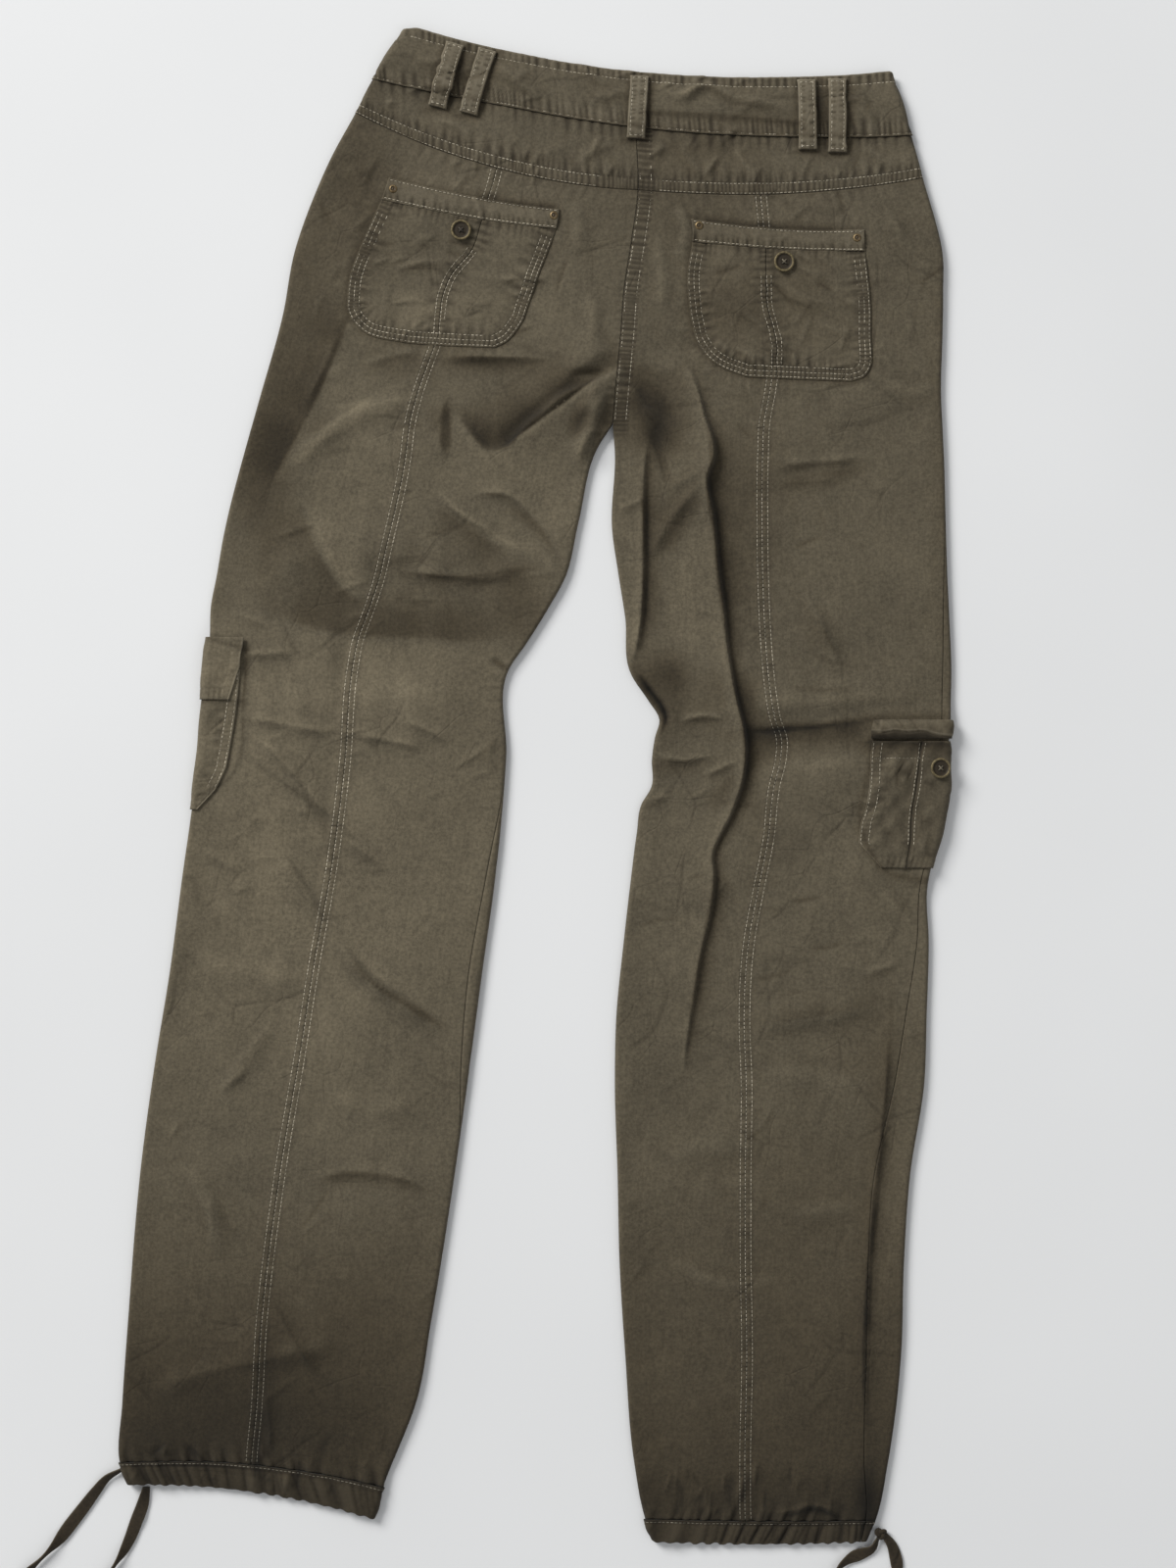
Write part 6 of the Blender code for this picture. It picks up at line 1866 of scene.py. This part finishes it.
def turned(profile, at, out, sides):
    """Rings of a profile of (radius, height) rows round a line out of the cloth."""
    across, along = axes_of(out)
    angle = rounds(sides)[..., None]
    radius, high = np.array(profile, float).T[..., None, None]
    return at + radius * (np.cos(angle) * across + np.sin(angle) * along) + high * out


def soft_profile(points, step=0.32):
    """A profile through a few points, with its corners rounded by running averages."""
    points = np.array(points, float)
    length = travelled(points)[-1]
    fine = walked_to(np.linspace(0, length, round(length / step) + 1), points)
    padded = np.concatenate([fine[:1], fine, fine[-1:]])
    return (padded[:-2] + 2 * padded[1:-1] + padded[2:]) / 4


def add_turned(name, node, slot, profile, at, out, sides, rim):
    """A turned piece for a solid; rim says from which radius to which its metal grows worn."""
    points, quads = capped(turned(profile, at, out, sides))
    radius = np.repeat(profile[:, 0], sides)
    return add_piece(name, points, quads, [node], slot, rim=ease(radius, *rim))


def add_button(node, at, out):
    """A profile turned round the upright, four holes drilled at its corners and crossed thread."""
    r, h = BUTTON_RADIUS, BUTTON_WALL
    profile = soft_profile([
        (0.15, 0.05), (r * 0.7, 0.05), (r * 0.95, h * 0.25), (r, h * 0.55), (r * 0.96, h * 0.9),
        (r * 0.86, h), (r * 0.78, h * 0.9), (r * 0.72, h * 0.62), (r * 0.6, h * 0.5),
        (r * 0.45, h * 0.56), (0.15, h * 0.56)])
    piece = add_turned(node + "_turned", node, "button", profile, at, out, 48, (r * 0.74, r * 0.8))
    across, along = axes_of(out)
    angles = [math.pi / 4 + turn * math.pi / 2 for turn in range(4)]
    runs = np.array([math.cos(angle) * across + math.sin(angle) * along for angle in angles])
    cutters = []
    for run in runs:
        hole = turned([(0.85, -1), (0.85, h + 1)], at + r * 0.24 * run, out, 12)
        cutters.append(put_in_scene("drill", mesh_from("drill", *capped(hole))))
        cut = piece.modifiers.new("hole", "BOOLEAN")
        cut.object, cut.solver = cutters[-1], "EXACT"
    bpy.context.view_layer.update()
    finished = bpy.data.meshes.new_from_object(piece.evaluated_get(bpy.context.evaluated_depsgraph_get()))
    piece.modifiers.clear()
    piece.data = finished
    for cutter in cutters:
        bpy.data.objects.remove(cutter)
    # two bars of thread over the holes, crossing
    starts = np.array([at + out * (h * 0.56 + 0.25 + high) for high in (0, 0.35)])
    bars = spindles(starts, runs[:2], np.array([out, out]), long=r * 0.62, thick=0.55)
    add_piece(node + "_thread", *bars, [], "seam_cloth")


for name, x, y in BUTTONS:
    add_button(name, *patch_points(x, y, POCKET_UNDER + 1.9))
at, out = skin_at(*CARGO_BUTTON)
add_button("cargo_button_right", at + out * (OVER + SHELL + 1.2), out)

r = RIVET_RADIUS
profile = soft_profile([
    (0.1, 0.0), (r, 0.0), (r * 1.04, 0.35), (r * 0.96, 0.85), (r * 0.72, 1.25), (r * 0.56, 1.3),
    (r * 0.48, 0.8), (r * 0.3, 0.72), (r * 0.2, 1.0), (0.1, 1.15)], 0.2)
for number, place in enumerate(RIVETS, 1):
    at, out = patch_points(*place, POCKET_UNDER + 1.2)
    name = f"back_rivet_{number}"
    add_turned(name + "_cap", name, "brass", profile, at, out, 24, (r * 0.5, r * 0.9))
print("buttons and rivets made")

# %% [markdown]
# ## Effects that several materials share
# Four node groups hold what more than one material needs. One is the weave: two crossed waves that
# follow the cloth's own coordinates, with slubs, the thicker stretches of a cotton yarn. One is
# the colour of washed cotton, which fades on every raised edge and takes painted shade in hollows
# and where the wash darkens it. One gives the fine ribs beside a seam, and one the thin lines that
# washing presses in, which the cloth uses as dents and as painted shade. Groups give out only
# colours, masks and heights, and each material has its own Principled shader.

# %% Node group helpers
COLOUR_A, COLOUR_B, COLOUR_OUT = 6, 7, 2  # the sockets for colours on a Mix node


def new_group(name, inputs, outputs):
    """An empty node group with named sockets, what it is given, and the node for its results."""
    group = bpy.data.node_groups.new(name, "ShaderNodeTree")
    for title, kind, value in inputs:
        made = group.interface.new_socket(name=title, in_out="INPUT", socket_type="NodeSocket" + kind)
        if value is not None:
            made.default_value = value
    for title, kind in outputs:
        group.interface.new_socket(name=title, in_out="OUTPUT", socket_type="NodeSocket" + kind)
    return group, group.nodes.new("NodeGroupInput").outputs, group.nodes.new("NodeGroupOutput")


def feed(tree, made, inputs):
    """Links inputs of a node, named or numbered, to other sockets, or sets their values."""
    for title, value in inputs.items():
        socket = made.inputs[title]
        if isinstance(value, bpy.types.NodeSocket):
            tree.links.new(value, socket)
        else:
            socket.default_value = (*value, 1.0) if socket.type == "RGBA" else value
    return made


def node(tree, kind, inputs=None, **settings):
    """A new node with its settings made and its inputs fed."""
    made = tree.nodes.new("ShaderNode" + kind)
    for key, value in settings.items():
        setattr(made, key, value)
    return feed(tree, made, inputs or {})


def maths(tree, operation, *values):
    """A Math node whose inputs are sockets or numbers; gives back its output."""
    return node(tree, "Math", dict(enumerate(values)), operation=operation).outputs[0]


def scaled(tree, vector, factors):
    """A vector times three numbers, or times one socket."""
    if isinstance(factors, tuple):
        return node(tree, "VectorMath", {0: vector, 1: factors}, operation="MULTIPLY").outputs[0]
    return node(tree, "VectorMath", {0: vector, "Scale": factors}, operation="SCALE").outputs[0]


def noise(tree, vector, scale, detail=2.0, rough=0.5, distortion=0.0):
    """Noise at this many waves to the metre, from 0 to 1."""
    return node(tree, "TexNoise", {"Vector": vector, "Scale": scale, "Detail": detail, "Roughness": rough,
                                   "Distortion": distortion}).outputs["Fac"]


def between(tree, value, low, high, to_low=0.0, to_high=1.0):
    """Map Range, clamped."""
    return node(tree, "MapRange", {"Value": value, "From Min": low, "From Max": high, "To Min": to_low,
                                   "To Max": to_high}).outputs["Result"]


def mixed(tree, share, first, second, blend="MIX"):
    """Mix of two colours; each is a socket or a colour."""
    return node(tree, "Mix", {0: share, COLOUR_A: first, COLOUR_B: second}, data_type="RGBA",
                blend_type=blend).outputs[COLOUR_OUT]


# %% The four groups
def build_weave():
    """Height = crossed sines of warp and weft, plus slubs that run along the warp."""
    group, given, result = new_group("cotton_weave", [("Cloth", "Vector", None), ("Threads", "Float", 1.4),
                                                      ("Slub", "Float", 1.0)],
                                     [("Height", "Float"), ("Slubs", "Float")])
    split = node(group, "SeparateXYZ", {0: given["Cloth"]}).outputs
    waves_out = []
    for axis in ("X", "Y"):
        turns = maths(group, "MULTIPLY", split[axis], given["Threads"])
        waves_out.append(maths(group, "SINE", maths(group, "MULTIPLY", turns, 2 * math.pi)))
    weave = maths(group, "MULTIPLY", *waves_out)
    slub = noise(group, scaled(group, given["Cloth"], (0.5, 0.03, 1.0)), 1.0, 3.0, 0.6)
    cross = noise(group, scaled(group, given["Cloth"], (0.05, 0.8, 1.0)), 1.0, 2.0, 0.6)
    slub = maths(group, "MULTIPLY", maths(group, "MULTIPLY_ADD", cross, 0.35, slub), given["Slub"])
    feed(group, result, {"Height": maths(group, "MULTIPLY_ADD", weave, 0.25, slub), "Slubs": slub})
    return group


def build_washed_and_shaded():
    """Colour = dye times the wash and painted light and shade, mottled in patches, lighter where faded, with
    painted shade darker in hollows and tinted warmer.
    """
    group, given, result = new_group(
        "washed_and_shaded_dye",
        [("Dye", "Color", (0.16, 0.137, 0.094, 1)), ("Worn", "Color", (0.3, 0.27, 0.2, 1)),
         ("Position", "Vector", None), ("Slubs", "Float", 0.5), ("Wash", "Float", 1.0),
         ("Fade", "Float", 0.0)],
        [("Color", "Color"), ("Rough", "Float")])
    dye, place, fade, wash_and_shade = (given[title] for title in ("Dye", "Position", "Fade", "Wash"))
    large = noise(group, place, 9.0, 3.0, 0.55, 0.4)
    small = noise(group, place, 70.0, 5.0, 0.65)
    grain = noise(group, place, 420.0, 3.0, 0.7)
    light = maths(group, "ADD", between(group, large, 0.3, 0.7, -0.45, 0.45),
                  between(group, small, 0.3, 0.7, -0.4, 0.4))
    light = maths(group, "ADD", light, between(group, grain, 0.34, 0.66, -0.9, 0.9))
    light = maths(group, "MULTIPLY_ADD", between(group, given["Slubs"], 0.4, 0.95, -0.5, 0.5), 0.8, light)
    dark = mixed(group, 1.0, dye, (0.68, 0.675, 0.67), "MULTIPLY")
    pale = mixed(group, 1.0, dye, (1.34, 1.34, 1.35), "MULTIPLY")
    colour = mixed(group, between(group, light, -1.4, 1.4), dark, pale)
    colour = mixed(group, between(group, fade, 0.0, 1.0, 0.0, 0.9), colour, given["Worn"])
    # painted shade: where the fade is below nothing, in dips and folds, the colour goes towards a darker dye
    deep = mixed(group, 1.0, dye, (0.42, 0.40, 0.38), "MULTIPLY")
    colour = mixed(group, between(group, fade, -0.4, 0.0, 0.85, 0.0), colour, deep)
    # where the wash and painted shade darken the colour it is also tinted warmer
    warm = mixed(group, between(group, wash_and_shade, 0.4, 1.0), (1.04, 0.97, 0.86), (1.0, 1.0, 1.0))
    rough = maths(group, "MULTIPLY_ADD", between(group, small, 0.3, 0.7), 0.1, 0.82)
    colour = scaled(group, mixed(group, 1.0, colour, warm, "MULTIPLY"), wash_and_shade)
    feed(group, result, {"Color": colour, "Rough": rough})
    return group


def build_seam_ribs():
    """Fine ribs across a seam: a wave along it, uneven, within a band beside it."""
    group, given, result = new_group("seam_ribs", [("Seam", "Vector", None), ("Width", "Float", 5.2)],
                                     [("Height", "Float"), ("Mask", "Float")])
    split = node(group, "SeparateXYZ", {0: given["Seam"]}).outputs
    inside = maths(group, "SUBTRACT", given["Width"], maths(group, "ABSOLUTE", split["X"]))
    mask = between(group, inside, -0.8, 0.8)
    stretch = node(group, "CombineXYZ", {0: maths(group, "MULTIPLY", split["X"], 0.16),
                                         1: maths(group, "MULTIPLY", split["Y"], 0.42)})
    ribs = between(group, noise(group, stretch.outputs[0], 1.0, 2.0, 0.6), 0.34, 0.66, -0.5, 0.5)
    feed(group, result, {"Height": maths(group, "MULTIPLY", ribs, mask), "Mask": mask})
    return group


def build_pressed_lines():
    """Line = 1 on the borders of bent cells and 0 beside them, shown only where a noise is high."""
    group, given, result = new_group("pressed_lines", [("Position", "Vector", None), ("Size", "Float", 15.0)],
                                     [("Line", "Float")])
    place = given["Position"]
    wander = node(group, "TexNoise", {"Vector": place, "Scale": 11.0})
    moved = node(group, "VectorMath", {0: wander.outputs["Color"], 1: (0.035, 0.035, 0.035), 2: place},
                 operation="MULTIPLY_ADD")
    cells = node(group, "TexVoronoi", {"Vector": moved.outputs[0], "Scale": given["Size"]},
                 feature="DISTANCE_TO_EDGE")
    line = between(group, cells.outputs["Distance"], 0.0, 0.03, 1.0, 0.0)
    shown = between(group, noise(group, place, 15.0, 2.0, 0.5), 0.5, 0.62)
    feed(group, result, {"Line": maths(group, "MULTIPLY", line, shown)})
    return group


WEAVE = build_weave()
WASHED_AND_SHADED = build_washed_and_shaded()
SEAM_RIBS = build_seam_ribs()
PRESSED_LINES = build_pressed_lines()
print("node groups:", ", ".join(group.name for group in (WEAVE, WASHED_AND_SHADED, SEAM_RIBS, PRESSED_LINES)))

# %% [markdown]
# ## The materials
# Washed cotton is rough all over, with a faint sheen from its loose fibres. The buttons are horn-like
# plastic with a bronze rim, the rivets are antique brass, and the thread is a dull grey-beige.

# %% Cloth materials
def new_material(name):
    """A material, its nodes, its shader and the object's own coordinates."""
    made = bpy.data.materials.new(name)
    made.use_nodes = True
    tree = made.node_tree
    return made, tree, tree.nodes["Principled BSDF"], node(tree, "TexCoord").outputs["Object"]


def attribute(tree, name, output="Fac"):
    """Numbers that the mesh carries at its points."""
    return node(tree, "Attribute", attribute_name=name).outputs[output]


def group_node(tree, group, **inputs):
    """What a node group gives out when it is fed with these."""
    return feed(tree, node(tree, "Group", node_tree=group), inputs).outputs


def bumped(tree, height, strength, distance):
    """The normal of a surface with this height on it."""
    return node(tree, "Bump", {"Strength": strength, "Distance": distance, "Height": height}).outputs[0]


def cotton(name, dye, worn, threads=1.4, slub=1.0, ribs=True):
    """Washed cotton: dye that fades and takes painted light and shade from the mesh's attributes, weave and
    seam ribs as bumps.
    """
    made, tree, shader, place = new_material(name)
    weave = group_node(tree, WEAVE, Cloth=attribute(tree, "cloth", "Vector"), Threads=threads, Slub=slub)
    fade = attribute(tree, "fade")
    height = maths(tree, "MULTIPLY", weave["Height"], 0.16)
    if ribs:
        # the flag is the seam's third value: it is 1 only beside the seam of a leg
        seam = attribute(tree, "seam", "Vector")
        rib = group_node(tree, SEAM_RIBS, Seam=seam, Width=5.0)
        flag = node(tree, "SeparateXYZ", {0: seam}).outputs["Z"]
        lift = maths(tree, "MULTIPLY", rib["Height"], flag)
        # the seam ribs also paint the colour lighter on their tops and darker between, as light and shade
        # with wear
        fade = maths(tree, "MULTIPLY_ADD", lift, 0.22, fade)
        height = maths(tree, "MULTIPLY_ADD", lift, 0.3, height)
    crumple = noise(tree, place, 130.0, 4.0, 0.6, 0.5)
    height = maths(tree, "MULTIPLY_ADD", crumple, 0.4, height)
    # the pressed lines are dents in the bump and painted shade in the colour
    for size, depth, shade_by in ((13.0, -0.5, -0.14), (29.0, -0.25, -0.06)):
        line = group_node(tree, PRESSED_LINES, Position=place, Size=size)["Line"]
        height = maths(tree, "MULTIPLY_ADD", line, depth, height)
        fade = maths(tree, "MULTIPLY_ADD", line, shade_by, fade)
    dyed = group_node(tree, WASHED_AND_SHADED, Dye=dye, Worn=worn, Position=place, Slubs=weave["Slubs"],
                      Wash=attribute(tree, "wash_and_shade"), Fade=fade)
    feed(tree, shader, {"Normal": bumped(tree, height, 0.85, 0.001), "Base Color": dyed["Color"],
                        "Roughness": dyed["Rough"], "Sheen Weight": 0.05, "Sheen Roughness": 0.6,
                        "Specular IOR Level": 0.2})
    return made


CLOTH_DYE = (0.096, 0.080, 0.0525)
CLOTH_WORN = (0.21, 0.181, 0.13)
cloth_material = cotton("olive_cotton", CLOTH_DYE, CLOTH_WORN)
seam_material = cotton("olive_cotton_worn", CLOTH_DYE, CLOTH_WORN, ribs=False)
tape_material = cotton("cotton_tape", (0.105, 0.083, 0.055), (0.25, 0.21, 0.15), 1.8, 0.6, ribs=False)


# %% Thread, button and brass
def thread_finish(name, low, high):
    """Spun thread: dark and pale by a noise, darker where the wash and painted shade darken the cloth, and a
    fine twist as bumps.
    """
    made, tree, shader, place = new_material(name)
    worn = between(tree, noise(tree, place, 160.0, 3.0, 0.6), 0.35, 0.65)
    wash_and_shade = maths(tree, "POWER", attribute(tree, "wash_and_shade"), 0.6)
    twist = noise(tree, place, 2600.0, 1.0, 0.5)
    feed(tree, shader, {"Base Color": scaled(tree, mixed(tree, worn, low, high), wash_and_shade),
                        "Normal": bumped(tree, twist, 0.4, 0.0002),
                        "Roughness": between(tree, worn, 0.0, 1.0, 0.75, 0.9)})
    return made


def metal_finish(name, deep, bright, middle, rough_low, rough_high, metallic):
    """Worn metal on the rim and a darker middle, which is plastic on the buttons."""
    made, tree, shader, place = new_material(name)
    rim = attribute(tree, "rim")
    spots = between(tree, noise(tree, place, 700.0, 4.0, 0.6, 0.5), 0.35, 0.65)
    feed(tree, shader, {"Base Color": mixed(tree, rim, middle, mixed(tree, spots, deep, bright)),
                        "Metallic": maths(tree, "MULTIPLY", rim, metallic),
                        "Roughness": between(tree, spots, 0.0, 1.0, rough_low, rough_high),
                        "Specular IOR Level": 0.25, "Normal": bumped(tree, spots, 0.3, 0.0002)})
    return made


thread_material = thread_finish("thread", (0.19, 0.165, 0.118), (0.54, 0.48, 0.37))
dark_thread = thread_finish("dark_thread", (0.04, 0.033, 0.023), (0.16, 0.135, 0.095))
button_material = metal_finish("horn_and_bronze", (0.085, 0.067, 0.036), (0.23, 0.185, 0.10),
                               (0.03, 0.022, 0.013), 0.5, 0.7, 0.4)
brass_material = metal_finish("antique_brass", (0.10, 0.065, 0.03), (0.34, 0.25, 0.13),
                              (0.06, 0.042, 0.022), 0.35, 0.55, 0.8)
FINISHES = {"cloth": cloth_material, "seam_cloth": seam_material, "tape": tape_material,
            "button": button_material, "brass": brass_material}


def finish_of(name):
    """The finish of a piece by its slot; thread has two of its own."""
    if name.endswith("_thread"):
        return dark_thread
    return thread_material if "stitches" in name else FINISHES[SLOTS[name]]


for piece in PIECES:
    mesh = piece.data
    mesh.materials.clear()
    mesh.materials.append(finish_of(piece.name))
    points = np.empty(3 * len(mesh.vertices), np.float32)
    mesh.vertices.foreach_get("co", points)
    x, y = points.reshape(-1, 3)[:, :2].T / MM
    # each point's wash, with its painted light and shade, from the raster, strokes and patches
    wash_and_shade_layer = mesh.attributes.new("wash_and_shade", "FLOAT", "POINT")
    wash_and_shade_layer.data.foreach_set("value", np.exp(wash_and_shade_at(x, y)).astype(np.float32))
print("dressed", len(PIECES), "pieces")

# %% [markdown]
# ## Floor and light
# The trousers lie on a plain pale surface. One large soft lamp stands beyond the waist on the left,
# fairly low, so that every crease has a light and a dark side. The world adds a little light from
# everywhere, which keeps the shadows open.

# %% Studio
def add_floor():
    """A pale sheet eight metres wide, just under the trousers."""
    size = 4000.0
    corners = np.array([(-size, -size, -0.3), (size, -size, -0.3), (size, size, -0.3), (-size, size, -0.3)])
    floor = put_in_scene("floor", mesh_from("floor", corners, np.array([[0, 1, 2, 3]])))
    made, tree, shader, place = new_material("pale_sheet")
    cloudy = between(tree, noise(tree, place, 3.0, 2.0, 0.5), 0.3, 0.7)
    feed(tree, shader, {"Base Color": mixed(tree, cloudy, (0.76, 0.765, 0.77), (0.79, 0.795, 0.80)),
                        "Roughness": between(tree, cloudy, 0.0, 1.0, 0.85, 0.9)})
    floor.data.materials.append(made)
    floor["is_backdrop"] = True


def add_lamp(name, place, aim, size, watts, colour=(1, 1, 1)):
    """A square lamp at a place in metres, turned to face another."""
    data = bpy.data.lights.new(name, "AREA")
    data.shape = "SQUARE"
    data.size, data.energy, data.color = size, watts, colour
    lamp = put_in_scene(name, data)
    lamp.location = place
    away = np.array(place, float) - np.array(aim, float)
    flat = math.hypot(away[0], away[1])
    lamp.rotation_euler = (math.atan2(flat, away[2]), 0, math.atan2(away[0], -away[1]))


add_floor()
add_lamp("key", (-4.4, 4.2, 3.9), (0.05, 0.0, 0), 3.0, 560, (1.0, 0.995, 0.98))
add_lamp("fill", (1.6, -1.2, 3.0), (0, 0, 0), 2.4, 12, (0.98, 0.99, 1.0))
world = bpy.data.worlds.new("studio")
world.use_nodes = True
feed(world.node_tree, world.node_tree.nodes["Background"], {"Color": (0.97, 0.985, 1.0), "Strength": 0.36})
bpy.context.scene.world = world
bpy.context.scene.view_settings.view_transform = "Standard"

# %% Sizes and finish
low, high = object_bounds()
triangles = sum(sum(len(face.vertices) - 2 for face in piece.data.polygons) for piece in PIECES)
print("pieces", len(PIECES), "triangles", triangles)
